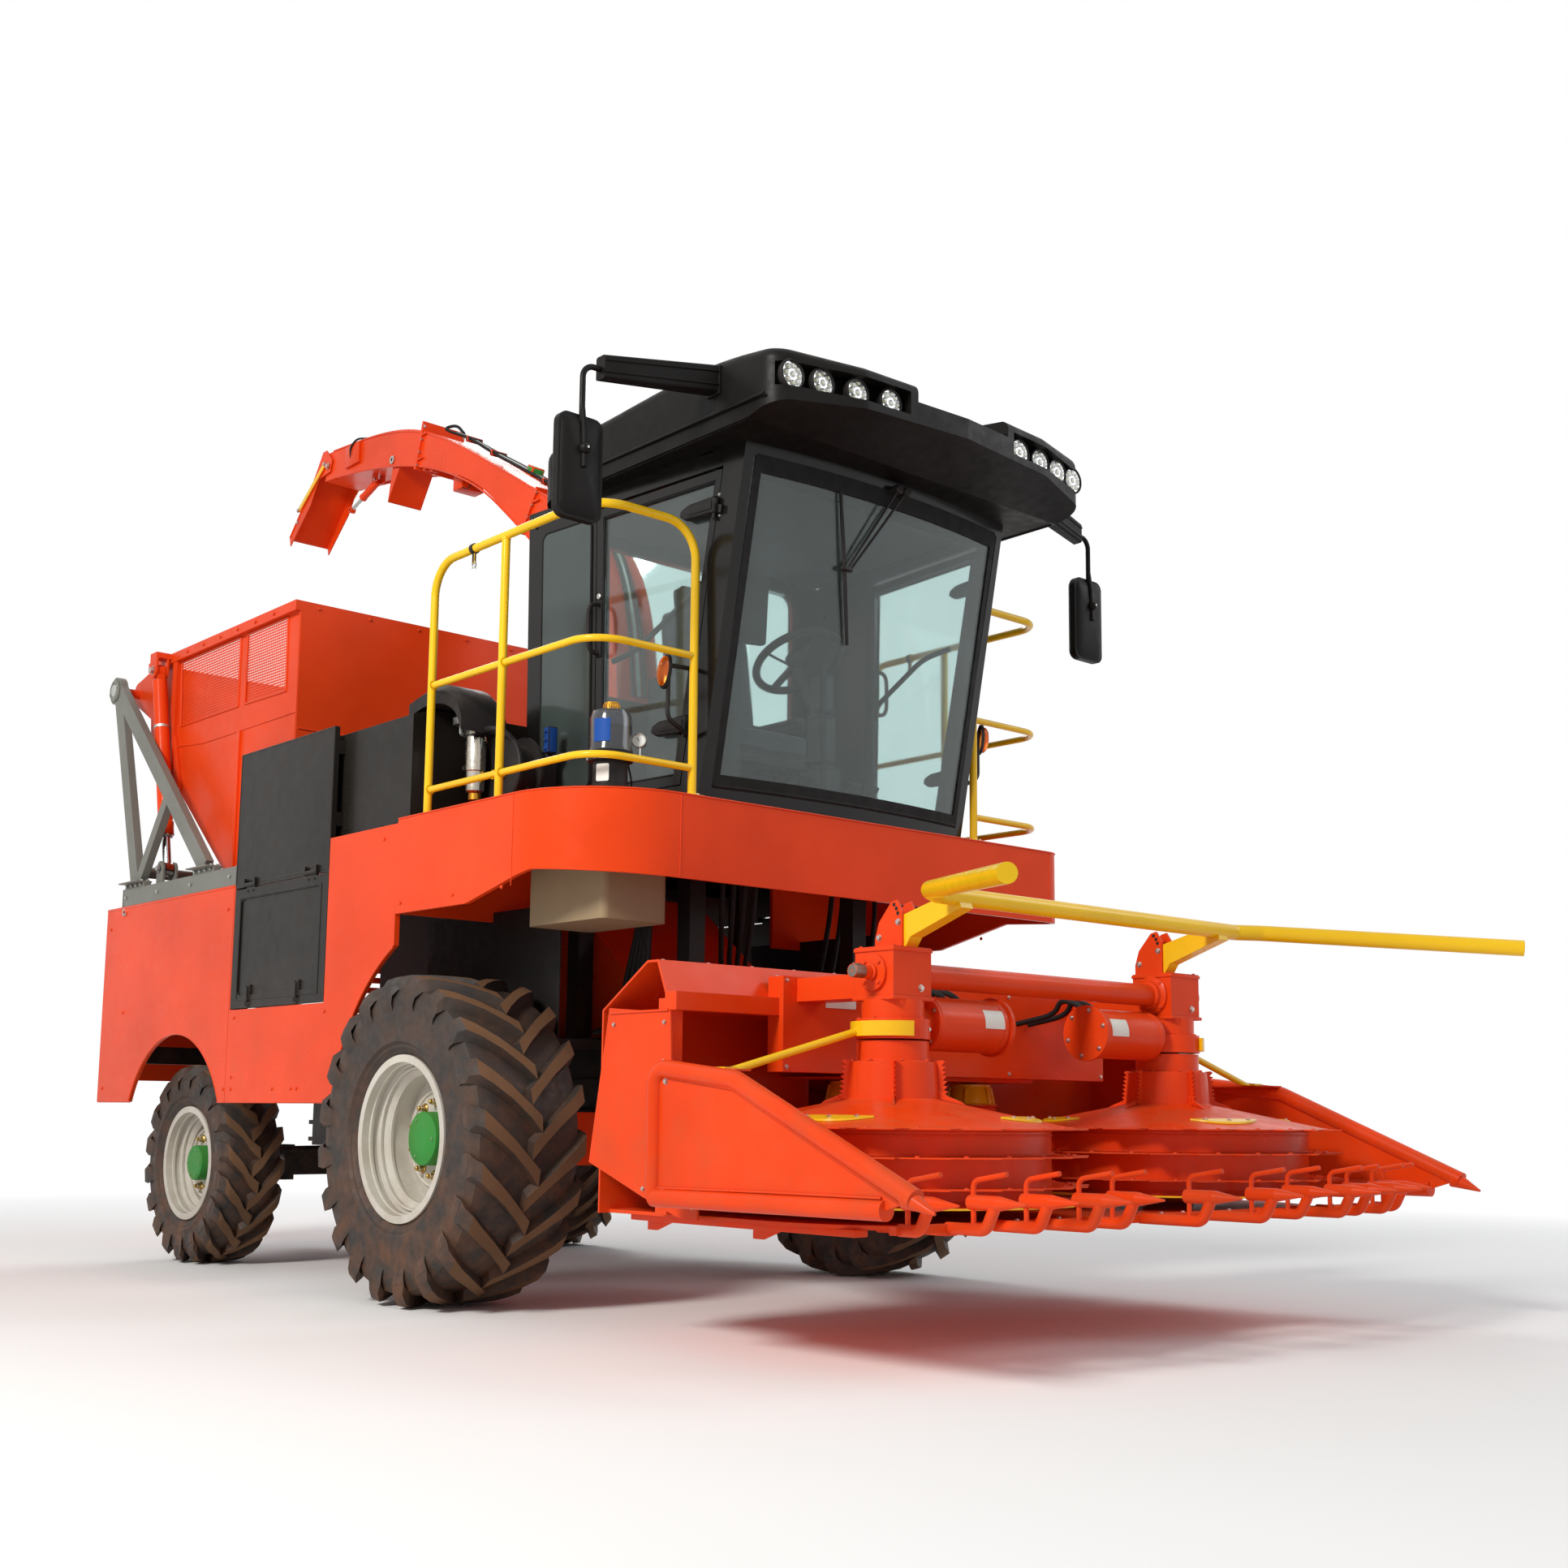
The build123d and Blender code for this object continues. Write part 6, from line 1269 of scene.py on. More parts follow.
class HARVESTER_OT_deck(bpy.types.Operator):
    """Fits the grease pump with its gauge, rail feet and clamps, intake duct, filter and hoses."""

    bl_idname = "harvester.deck"
    bl_label = "Deck fittings"

    def execute(self, context):
        self.lubricator()
        bm = bmesh.new()
        for side in (-1, 1):
            y = side * RAIL_Y
            # feet of the posts with two bolts each
            for x, across in ((-90, y), (440, y), (1050, side * 800)):
                slab(bm, (x - 48, across - 26, DECK_TOP), (x + 48, across + 26, DECK_TOP + 6), 0.002, 0)
                lathe(bm, [(0.026, 1.960), (0.018, 1.972), (0.0172, 1.976)], standing(x, across), 24, 0)
                bolts(bm, [(x + shift, across, DECK_TOP + 6) for shift in (-36, 36)], Z, 0.008, 1)
            # clamp and hooked lug on the top rail
            clamp = facing(205, y, 3030, X)
            lathe(bm, [(0.0178, -0.011), (0.0215, -0.010), (0.0215, 0.010), (0.0178, 0.011)], clamp, 24, 2)
            slab(bm, (196, y - 5, 2970), (214, y + 5, 3016), 0.002, 2)
            pipe(bm, [at(205, y, 2976) + Vector((0.013 * cos(t), 0, 0.018 * sin(t) - 0.015))
                      for t in [tau * n / 12 - 1 for n in range(10)]], 0.004, 8, 1)
            # welded joints of the rails
            for x, z in ((-90, 2510), (-90, 2070), (440, 2510), (440, 2070)):
                lathe(bm, [(0.0145, 0.014), (0.019, 0.018), (0.021, 0.0165)], facing(x, y, z, X), 20, 0)
            lathe(bm, [(0.0172, -0.02), (0.0195, -0.0165), (0.0172, -0.013)], facing(440, y, 3030, Z), 20, 0)
        made = piece("rail_feet", bm, ["yellow", "zinc", "black plastic"], "chassis")
        bm = bmesh.new()
        # curved intake cowl over the hood's corner
        path = [at(-330, -1130, 2455), at(-200, -1130, 2485), at(-70, -1130, 2478), at(40, -1130, 2430),
                at(90, -1130, 2340)]
        section = ((-0.11, -0.035), (0.11, -0.035), (0.11, 0.02), (0.07, 0.05), (-0.07, 0.05), (-0.11, 0.02))
        skin(bm, [[bm.verts.new(here + Vector((0, y, z))) for y, z in section]
                  for here in eased(path, 0.2, 5)])
        # filter head on its bracket, can, union and hoses
        can = standing(20, -1120)
        slab(bm, (-60, -1090, 1957), (0, -1070, 2360), 0.003, 0)
        lathe(bm, [(0.030, 2.060), (0.034, 2.064), (0.040, 2.070), (0.041, 2.150), (0.044, 2.154),
                   (0.044, 2.290), (0.041, 2.298), (0.020, 2.300), (0.018, 2.330), (0, 2.332)], can, 32, 1)
        lathe(bm, [(0.020, 2.030), (0.028, 2.034), (0.028, 2.060), (0, 2.060)], can, 20, 3)
        slab(bm, (-40, -1150, 2300), (60, -1090, 2345), 0.008, 1)
        bolts(bm, [(-62, -1120, 2180), (-62, -1120, 2120)], -X, 0.011, 2)
        slab(bm, (-110, -1160, 2360), (-40, -1100, 2400), 0.006, 2)
        pipe(bm, eased([at(-90, -1130, 2360), at(-90, -1130, 2325), at(-60, -1130, 2318),
                        at(-30, -1130, 2320)], 0.02), 0.0065, 8, 2)
        pipe(bm, eased([at(60, -1120, 2322), at(130, -1120, 2322), at(190, -1080, 2300), at(210, -1010, 2200),
                        at(190, -960, 1975)], 0.08, 8), 0.012, 12, 0)
        pipe(bm, eased([at(20, -1120, 2035), at(20, -1120, 1990), at(80, -1110, 1976), at(180, -1050, 1974)],
                       0.05, 8), 0.011, 12, 0)
        # reel drum and valve block behind the filter
        reel = facing(110, -1010, 2150, -Y)
        lathe(bm, [(0.03, -0.07), (0.150, -0.07), (0.156, -0.064), (0.156, -0.050), (0.120, -0.046),
                   (0.120, 0.034), (0.156, 0.038), (0.156, 0.052), (0.150, 0.058), (0.05, 0.050), (0, 0.050)],
              reel, 40, 0)
        slab(bm, (70, -1076, 2118), (150, -1068, 2160), 0.002, 4)
        slab(bm, (225, -925, 2230), (260, -880, 2340), 0.004, 5)
        for z in (2248, 2284, 2320):
            bolts(bm, [(242, -926, z)], -Y, 0.009, 5)
            pipe(bm, hanging(at(232, -905, z), at(z - 2098, -930, 1985), 0.02), 0.009, 10, 0)
        slab(bm, (120, -940, 1957), (230, -860, 2235), 0.004, 0)
        # battery box with its ribs on the left side of the deck
        slab(bm, (-150, 960, 1957), (260, 1200, 2190), 0.012, 0)
        for x in (-60, 60, 180):
            slab(bm, (x - 14, 1198, 2020), (x + 14, 1206, 2170), 0.002, 0)
        made = piece("filter_and_intake", bm, ["black plastic", "filter can", "zinc", "brass", "yellow",
                                               "blue"], "chassis")
        # upright joints of the apron and the rim round the deck
        bm = bmesh.new()
        for x, y in ((662, -1350.5), (1112.5, -900), (1112.5, 1240), (1002, 1350.5)):
            pipe(bm, [at(x, y, z) for z in (1600 if x < 1000 else 1640, 1800, 1950)], 0.002, 6, 0)
        rim = [(-185, -BODY_Y - 1), (662, -BODY_Y - 1)]
        rim += [(662 + 450 * sin(t), -901 - 450 * cos(t)) for t in spread(0, pi / 2, 12)]
        rim += [(1113, y) for y in (-600, -200, 200, 600, 1000, 1240)]
        rim += [(1002 + 111 * cos(t), 1240 + 111 * sin(t)) for t in spread(0, pi / 2, 8)]
        rim += [(600, BODY_Y + 1), (-185, BODY_Y + 1)]
        pipe(bm, [at(x, y, DECK_TOP - 2) for x, y in rim], 0.0035, 8, 0)
        for side in (-1, 1):
            bolts(bm, [(x, side * BODY_Y, 1600) for x in (-150, 250, 600)], Y * side, 0.007, 0)
        made = piece("deck_edge", bm, ["orange", "zinc"], "chassis")
        return {"FINISHED"}

    @staticmethod
    def lubricator():
        """Grease pump: cast base with outlets, clear jar of grease, plated cap and pressure gauge."""
        bm = bmesh.new()
        where = standing(*JAR)
        lathe(bm, [(0, 1.956), (0.078, 1.956), (0.078, 1.968), (0.066, 1.972), (0.066, 2.060), (0.084, 2.064),
                   (0.086, 2.090), (0.080, 2.100), (0, 2.100)], where, 40, 0)
        lathe(bm, [(0.0835, 2.100), (0.0835, 2.108), (0.0795, 2.118), (0.0795, 2.228), (0.070, 2.256),
                   (0.030, 2.272), (0.030, 2.270), (0.067, 2.252), (0.0765, 2.226), (0.0765, 2.102)],
              where, 48, 1)
        lathe(bm, [(0, 2.104), (0.0760, 2.104), (0.0760, 2.196), (0, 2.198)], where, 40, 2)
        lathe(bm, [(0.026, 2.268), (0.031, 2.270), (0.031, 2.284), (0.028, 2.288), (0.028, 2.291),
                   (0, 2.291)], where, 30, 3)
        for n in range(20):
            rounded_box(bm, (0.003, 0.003, 0.012),
                        where @ Matrix.Translation(polar(0.031, tau * n / 20, 2.277)), 0.0006, 3)
        for n in range(7):
            a = tau * n / 7 + 0.4
            bolt(bm, frame_at(where @ polar(0.084, a, 2.076), polar(1, a)), 0.009, 4 if n % 3 else 0)
        # pressure gauge on its riser
        pipe(bm, eased([at(985, -1040, 2076), at(998, -1014, 2076), at(998, -1014, 2130)], 0.01), 0.005, 8, 4)
        gauge = facing(1000, -1018, 2152, Vector((0.6, -0.8, 0)))
        lathe(bm, [(0, -0.018), (0.024, -0.018), (0.028, -0.012), (0.028, 0.006), (0.025, 0.008),
                   (0.0235, 0.006), (0.0235, 0.003)], gauge, 30, 4)
        lathe(bm, [(0.0236, 0.003), (0, 0.003)], gauge, 30, 5)
        rounded_box(bm, (0.002, 0.017, 0.001), gauge @ Matrix.Rotation(0.7, 4, "Z")
                    @ Matrix.Translation((0, 0.006, 0.0038)), 0.0003, 0)
        # grease lines away over the deck
        for n, (x, y) in enumerate(((900, -1050), (915, -1036), (930, -1026))):
            pipe(bm, eased([at(x + 10, y - 20, 2076), at(x, y + 10, 2076), at(x - 20, y + 50, 1990),
                            at(x - 160, y + 110, 1966), at(300 + 20 * n, -905 - 12 * n, 1966)], 0.06, 7),
                 0.0035, 8, 0)
        made = piece("grease_pump", bm, ["black plastic", "jar", "grease", "brass", "zinc",
                                         "dial"], "chassis")
        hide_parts("lubricator")
        bm = bmesh.new()
        skin(bm, [[bm.verts.new(where @ polar(radius, a, z)) for z, radius in
                   ((2.130, 0.0797), (2.218, 0.0797), (2.218, 0.0807), (2.130, 0.0807))]
                  for a in spread(-1.52, -0.66, 8)])
        label_plate(bm, (JAR[0] + 32, JAR[1] - 58, 2014), Vector((0.48, -0.88, 0)), 0.052, 0.066, 1)
        made = piece("bare_jar_label", bm, ["blue", "label"], "chassis")


class HARVESTER_OT_panels(bpy.types.Operator):
    """Adds bolts, folds and latches to the side panels, hood and access doors, and fits the tail lamps."""

    bl_idname = "harvester.panels"
    bl_label = "Side panels and hood"

    def execute(self, context):
        for side, word in SIDES:
            out, face = Y * side, side * BODY_Y
            bm = bmesh.new()
            # pairs of bolts low on the panels, and along the hood
            low = [(-1640, 850), (-1640, 905), (-1040, 850), (-985, 850), (-1220, 850), (-1720, 850),
                   (-2960, 1250), (-3180, 1700), (-3180, 860), (-1760, 1700), (-1640, 1180), (-760, 1180),
                   (-300, 1880)]
            bolts(bm, [(x, face, z) for x, z in low], out, 0.0075, 0)
            # folded edges of the arches
            for cx, cz, r, start, end in ((227, 603, 925, 0.22, pi - 0.21),
                                          (-2300, 538, 587, 0.46, pi - 0.46)):
                arc = [(cx + r * cos(a), cz + r * sin(a)) for a in spread(start, end, 40)]
                # the front arch is folded behind the steps only
                pipe(bm, [at(x, face - side * 4, z) for x, z in arc if cx < 0 or (x <= -191 and z <= 1935)],
                     0.006, 8, 0)
            # lower folds
            for x0, x1 in ((-3236, -2816), (-1782, -1704), (-1696, -705)):
                pipe(bm, [at(x0, side * 1345, 791), at(x1, side * 1345, 791)], 0.005, 8, 0)
            slab(bm, (-3238, side * 1351 - 1, 1800), (-1705, side * 1351 + 1, 1808), 0.0008, 0)
            made = piece(f"panel_bolts_{word}", bm, ["orange", "zinc"], "chassis")
            bm = bmesh.new()
            # hood: edge folds, rows of bolts and seam straps
            folds(bm, [(-1685, 1808), (-775, 1808), (-775, 2431), (-1685, 2431)], face - side * 3, 0.005)
            for z in range(1980, 2420, 60):
                bolts(bm, [(-745, side * 1296, z)], out, 0.005, 1)
            for x in range(-720, -200, 100):
                bolts(bm, [(x, side * 1296, 1952)], out, 0.005, 1)
            for x in range(-1640, -800, 140):
                slab(bm, (x, side * 1290 - 8, 2432), (x + 6, side * 1290 + 8, 2437), 0.001, 0)
            made = piece(f"hood_folds_{word}", bm, ["charcoal", "black steel"], "chassis")
            bm = bmesh.new()
            # toggles low on the access door, pressed rim, hinge screws
            for x in (-1506, -1026):
                slab(bm, (x - 22, side * 1346 - 6, 1262), (x + 22, side * 1346 + 6, 1330), 0.003, 0)
                slab(bm, (x - 9, side * 1354 - 7, 1250), (x + 9, side * 1354 + 7, 1318), 0.004, 1)
                pipe(bm, eased([at(x - 8, side * 1358, 1262), at(x - 8, side * 1360, 1232),
                                at(x + 8, side * 1360, 1232), at(x + 8, side * 1358, 1262)], 0.008),
                     0.003, 8, 1)
                bolts(bm, [(x - 15, side * 1352, 1322), (x + 15, side * 1352, 1322)], out, 0.005, 1)
                slab(bm, (x - 12, side * 1349 - 4, 1224), (x + 12, side * 1349 + 4, 1238), 0.003, 0)
            for x in (-1530, -930):
                bolts(bm, [(x - 28, face, 1770), (x + 28, face, 1770)], out, 0.005, 1)
            folds(bm, [(-1626, 1262), (-834, 1262), (-834, 1742), (-1626, 1742)], face - side, 0.004)
            made = piece(f"door_latches_{word}", bm, ["charcoal", "black steel"], f"access_door_{word}")
        bm = bmesh.new()
        # rear wall: frame round the cooling slots, tail lamps and reflectors
        back = -3240
        slots = [at(back - 1, y, z) for y, z in ((-720, 985), (720, 985), (720, 1760), (-720, 1760))]
        for corner, following in zip(slots, slots[1:] + slots[:1]):
            pipe(bm, [corner, following], 0.008, 8, 0)
        for side in (-1, 1):
            y = side * 1180
            for z, shade in ((1560, 1), (1470, 2)):
                rounded_box(bm, (0.12, 0.075, 0.030), facing(back - 10, y, z, -X), 0.008, shade)
            rounded_box(bm, (0.15, 0.20, 0.008), facing(back - 3, y, 1515, -X), 0.003, 3)
            bolts(bm, [(back, side * across, z) for across in (780, 1300) for z in (960, 1350, 1740)],
                  -X, 0.008, 4)
        made = piece("tail_lamps", bm, ["orange", "red lens", "amber", "black plastic", "zinc"], "chassis")
        return {"FINISHED"}


# pins that the bin tips about
PIN_X, PIN_Z = -3320, 3030


class HARVESTER_OT_bin(bpy.types.Operator):
    """Closes the bin windows with perforated sheet and adds its seams, hoses, pins and frame bolts."""

    bl_idname = "harvester.bin"
    bl_label = "Bin and tipping frame"

    def execute(self, context):
        windows = (((-2800, 2775), (-2826, 3128), (-2112, 3128), (-2112, 2770)),
                   ((-2036, 2770), (-2036, 3128), (-1600, 3128), (-1590, 2760)))
        bm = bmesh.new()
        for side in (-1, 1):
            for window in windows:
                self.mesh_sheet(bm, side, window)
        made = piece("bin_mesh", bm, "orange bin", "bin")
        bm = bmesh.new()
        for side in (-1, 1):
            y = side * 1191
            # folds round the windows and the seams of the side sheet
            for window in windows:
                folds(bm, window, y, 0.006)
            pipe(bm, [at(-1476, y, 2000), at(-1476, y, 3130)], 0.005, 8, 0)
            pipe(bm, [at(-3150, y, 2700), at(-2500, y, 2640), at(-1480, y, 2640)], 0.004, 8, 0)
            slab(bm, (-2090, y - 12, 1930), (-2060, y + 12, 2640), 0.004, 0)
            bolts(bm, [(x, side * 1221, 3160) for x in range(-3100, -1500, 200)], Y * side, 0.008, 0)
            # head pin of the cylinder
            bolts(bm, [(-2950, side * 1299, 3090)], Y * side, 0.020, 1)
            # caps of the tipping pins
            cap = facing(PIN_X, side * 1355, PIN_Z, Y * side)
            lathe(bm, [(0.026, -0.005), (0.034, -0.003), (0.034, 0.006), (0.028, 0.010),
                       (0, 0.010)], cap, 28, 1)
            # gusset between the upright rib and the side
            prism(bm, [(0, 0), (-side * 0.10, 0), (0, 0.30)], facing(-2840, side * 1193, 2430, Y * side),
                  -0.002, 0.016, 0.001, 0)
        for y in range(-1100, 1101, 275):
            bolts(bm, [(-1469, y, 3160), (-1469, y, 2010)], X, 0.008, 0)
        pipe(bm, [at(-1469, y, 2560) for y in (-1180, 0, 1180)], 0.004, 8, 0)
        made = piece("bin_seams", bm, ["orange bin", "zinc"], "bin")
        for side, word in SIDES:
            bm = bmesh.new()
            top, foot = at(-2950, side * 1263, 3090), at(-2700, side * 1263, 1990)
            along = (foot - top).normalized()
            where = frame_at(top, along, X)
            barrel = (foot - top).length - 0.190
            lathe(bm, [(0.0382, barrel - 0.075), (0.042, barrel - 0.070), (0.042, barrel - 0.046),
                       (0.039, barrel - 0.040)], where, 36, 0)
            lathe(bm, [(0.024, barrel), (0.034, barrel + 0.001), (0.034, barrel + 0.012),
                       (0.0225, barrel + 0.014)], where, 36, 1)
            # unions at both ends, and the hose between them
            for part in (0.12, 0.86):
                lathe(bm, [(0.013, -0.006), (0.013, 0.014), (0.009, 0.016), (0.009, 0.026), (0, 0.026)],
                      frame_at(top + along * barrel * part - X * 0.036, -X), 16, 1)
            line = [top + along * barrel * part - X * off for part, off in
                    ((0.86, 0.062), (0.80, 0.078), (0.45, 0.066), (0.18, 0.078), (0.12, 0.062))]
            pipe(bm, eased(line, 0.03, 5), 0.0065, 8, 2)
            for part in (0.35, 0.62):
                lathe(bm, [(0.0382, -0.008), (0.0405, -0.007), (0.0405, 0.007), (0.0382, 0.008)],
                      frame_at(top + along * barrel * part, along, X), 32, 1)
            made = piece(f"barrel_fittings_{word}", bm, ["orange", "zinc", "hose"], f"barrel_{word}")
        bm = bmesh.new()
        for side in (-1, 1):
            out, y = Y * side, side * BODY_Y
            for x in (-2904, -2065):
                slab(bm, (x - 118, y - side * 20 - 60, 1925), (x + 118, y - side * 20 + 26, 1932), 0.002, 0)
                bolts(bm, [(x + dx, y + side * shift, 1932) for dx in (-100, 100)
                           for shift in (2, -28)], Z, 0.011, 1)
                bolts(bm, [(x + dx, y + side, 1914) for dx in (-90, -30, 30, 90)], out, 0.009, 1)
            # head plates of the frame with the pin's keeper
            cap = facing(PIN_X, y + side, PIN_Z, out)
            lathe(bm, [(0.030, 0), (0.062, 0), (0.062, 0.006), (0.058, 0.009), (0.030, 0.009)], cap, 40, 0)
            bolts(bm, ring_points(4, 47, (PIN_X, side * 1359, PIN_Z), X, Z, 0.4), out, 0.008, 1)
            # end caps of the rails and their bolts
            for x in (-3040, -1690):
                slab(bm, (x - 3, side * 1310 - 44, 1810), (x + 3, side * 1310 + 44, 1904), 0.002, 0)
            bolts(bm, [(x, side * 1351, 1857) for x in (-3000, -2600, -2200, -1760)], out, 0.010, 1)
            # hooks hanging under the rail's end
            pipe(bm, eased([at(-3020, side * 1345, 1808), at(-3020, side * 1358, 1780),
                            at(-3000, side * 1358, 1762), at(-2985, side * 1352, 1776)], 0.012), 0.005, 8, 1)
            bolts(bm, [(-2700, side * 1311, 1990)], out, 0.016, 1)
        # cross tube between the two frames, low down, with weld collars
        pipe(bm, [at(-2904, y, 1990) for y in (-1312, 0, 1312)], 0.030, 20, 0)
        for side in (-1, 1):
            lathe(bm, [(0.030, -0.004), (0.036, 0), (0.030, 0.012)],
                  facing(-2904, side * 1308, 1990, Y * -side), 24, 0)
        made = piece("tipping_frame_bolts", bm, ["grey", "zinc"], "chassis")
        return {"FINISHED"}

    @staticmethod
    def mesh_sheet(bm, side, corners):
        """Sheet of cells about 14 mm wide with a hole in each."""
        a, b, c, d = [Vector((x, 0, z)) for x, z in corners]
        across, up = round(abs(c.x - a.x) / 14), round(abs(b.z - a.z) / 14)

        def spot(i, j):
            s, t = i / across, j / up
            p = (a * (1 - s) + d * s) * (1 - t) + (b * (1 - s) + c * s) * t
            return at(p.x, side * 1186.5, p.z)

        grid = [[bm.verts.new(spot(i, j)) for j in range(up + 1)] for i in range(across + 1)]
        for i in range(across):
            for j in range(up):
                corner = [grid[i][j], grid[i + 1][j], grid[i + 1][j + 1], grid[i][j + 1]]
                middle = spot(i + 0.5, j + 0.5)
                ring = [bm.verts.new(middle + (v.co - middle) * 0.44) for v in corner]
                for k in range(4):
                    bm.faces.new((corner[k], corner[(k + 1) % 4], ring[(k + 1) % 4], ring[k]))


class HARVESTER_OT_spout(bpy.types.Operator):
    """Adds the spout's edge flanges, flange bolts, hoses, flap links and the flap's cylinder."""

    bl_idname = "harvester.spout"
    bl_label = "Spout"

    def execute(self, context):
        outer = ((-360, 2640), (-390, 3000), (-470, 3290), (-640, 3560), (-860, 3760), (-1150, 3935),
                 (-1500, 4145), (-1900, 4380), (-2300, 4570), (-2750, 4675), (-3300, 4722))
        inner = ((-650, 2640), (-670, 2900), (-730, 3130), (-850, 3340), (-1010, 3540), (-1260, 3760),
                 (-1600, 4040), (-1960, 4235), (-2340, 4375), (-2780, 4480), (-3280, 4548))
        bm = bmesh.new()
        for line in (outer, inner):
            for side in (-1, 1):
                pipe(bm, eased([at(x, side * 120, z) for x, z in line], 0.25, 5), 0.006, 8, 0)
        # bolts round the two joint flanges
        for (x0, z0), (x1, z1) in (((-2229, 4581), (-2300, 4349)), ((-1078, 3898), (-1201, 3709))):
            along = Vector((x1 - x0, 0, z1 - z0)).normalized()
            ahead = Vector((-along.z, 0, along.x))
            for part in (0.05, 0.35, 0.65, 0.95):
                for side in (-1, 1):
                    spot = Vector((x0 + (x1 - x0) * part, side * 128, z0 + (z1 - z0) * part)) + ahead * 9
                    bolts(bm, [spot], ahead, 0.007, 1)
                    bolts(bm, [spot - ahead * 18], -ahead, 0.007, 1)
            # lugs behind the flange
            for part in (0.22, 0.80):
                centre = Vector((x0 + (x1 - x0) * part, -128, z0 + (z1 - z0) * part)) + ahead * 28
                rounded_box(bm, (0.05, 0.012, 0.010), standing(*centre), 0.002, 0)
        # plates that stiffen the end of the spout, and a hose over it
        for side in (-1, 1):
            slab(bm, (-3120, side * 128 - 10, 4560), (-2960, side * 128 + 10, 4690), 0.004, 0)
        pipe(bm, eased([at(-3060, -134, 4610), at(-3050, -146, 4668), at(-2985, -138, 4708),
                        at(-2920, -96, 4702)], 0.03), 0.006, 8, 2)
        # little cylinder under the spout that tilts the flap, from its bracket to its rod eye
        start, end = at(-2950, 0, 4478), at(-3270, 0, 4372)
        along = (end - start).normalized()
        for side in (-1, 1):
            slab(bm, (-2985, side * 24 - 4, 4462), (-2925, side * 24 + 4, 4520), 0.002, 0)
        where = frame_at(start, along, Y)
        lathe(bm, [(0, 0.012), (0.020, 0.014), (0.022, 0.020), (0.022, 0.185), (0.024, 0.187), (0.024, 0.200),
                   (0.018, 0.203), (0.0105, 0.204)], where, 28, 0)
        lathe(bm, [(0.0105, 0.200), (0.0105, 0.315)], where, 20, 1)
        lathe(bm, [(0.008, -0.016), (0.019, -0.016), (0.019, 0.016), (0.008, 0.016)], frame_at(end, Y), 20, 0)
        for out in (Y, -Y):
            bolt(bm, frame_at(start + out * 0.03, out), 0.010, 1)
        # eye on the side and small box under the bend
        lathe(bm, [(0.010, 0), (0.024, 0), (0.024, 0.006), (0.010, 0.006)],
              facing(-2581, -121, 4470, -Y), 20, 1)
        slab(bm, (-1990, -70, 4140), (-1900, 70, 4225), 0.004, 0)
        pipe(bm, hanging(at(-1905, -60, 4150), at(-1800, -60, 4160), 0.03), 0.003, 6, 2)
        for x, z in ((-2240, 4338), (-2160, 4312)):
            lathe(bm, [(0.007, -0.02), (0.022, -0.02), (0.022, 0.02), (0.007, 0.02)],
                  facing(x, -90, z, -Y), 20, 0)
        # hoses along the top with their clips and the coupling
        top = [(-2090, 4505), (-1900, 4412), (-1650, 4262), (-1400, 4118), (-1150, 3970), (-860, 3800),
               (-640, 3600), (-470, 3330), (-385, 3040), (-352, 2700)]
        for n, y in enumerate((-30, 0, 30)):
            line = [at(x, y + 8 * sin(k * 1.3 + n), z + 16 + 5 * sin(k * 2.1 + n))
                    for k, (x, z) in enumerate(top)]
            pipe(bm, eased(line, 0.25, 5), 0.0085, 8, 2 if n != 1 else 1)
        pipe(bm, eased([at(-2090, -30, 4520), at(-2160, -40, 4560), at(-2120, 20, 4585), at(-2060, 30, 4520)],
                       0.05, 6), 0.0085, 8, 2)
        for x, z in ((-1900, 4412), (-1650, 4262), (-1150, 3970), (-640, 3600)):
            rounded_box(bm, (0.020, 0.10, 0.03), standing(x, 0, z + 14), 0.004, 2)
        rounded_box(bm, (0.06, 0.075, 0.055), standing(-1290, 0, 4082) @ Matrix.Rotation(0.52, 4, "Y"),
                    0.008, 3)
        # studs round the turning ring and its gear guard
        for n in range(12):
            bolt(bm, frame_at(at(-515, 0, 2640) + polar(0.205, tau * n / 12), Z), 0.010, 1)
        made = piece("spout_fittings", bm, ["orange", "zinc", "hose", "green"], "spout")
        # flap: links, pins and a fold down each side
        bm = bmesh.new()
        for side in (-1, 1):
            out = Y * side
            start, end = [at(x, side * 139, z) for x, z in ((-3375, 4655), (-3690, 4440))]
            rounded_box(bm, (0.034, (end - start).length, 0.008),
                        frame_at((start + end) / 2, out, end - start), 0.003, 1)
            for pin in (start, end):
                bolt(bm, frame_at(pin + out * 0.004, out), 0.012, 2)
            bolt(bm, facing(-3340, side * 136, 4635, out), 0.017, 2)
            bolt(bm, facing(-3712, side * 133, 4372, out), 0.010, 2)
            pipe(bm, [at(-3590, side * 133, 4512), at(-3806, side * 133, 4298)], 0.005, 8, 0)
        made = piece("flap_links", bm, ["orange", "yellow", "zinc"], "spout_flap")
        return {"FINISHED"}


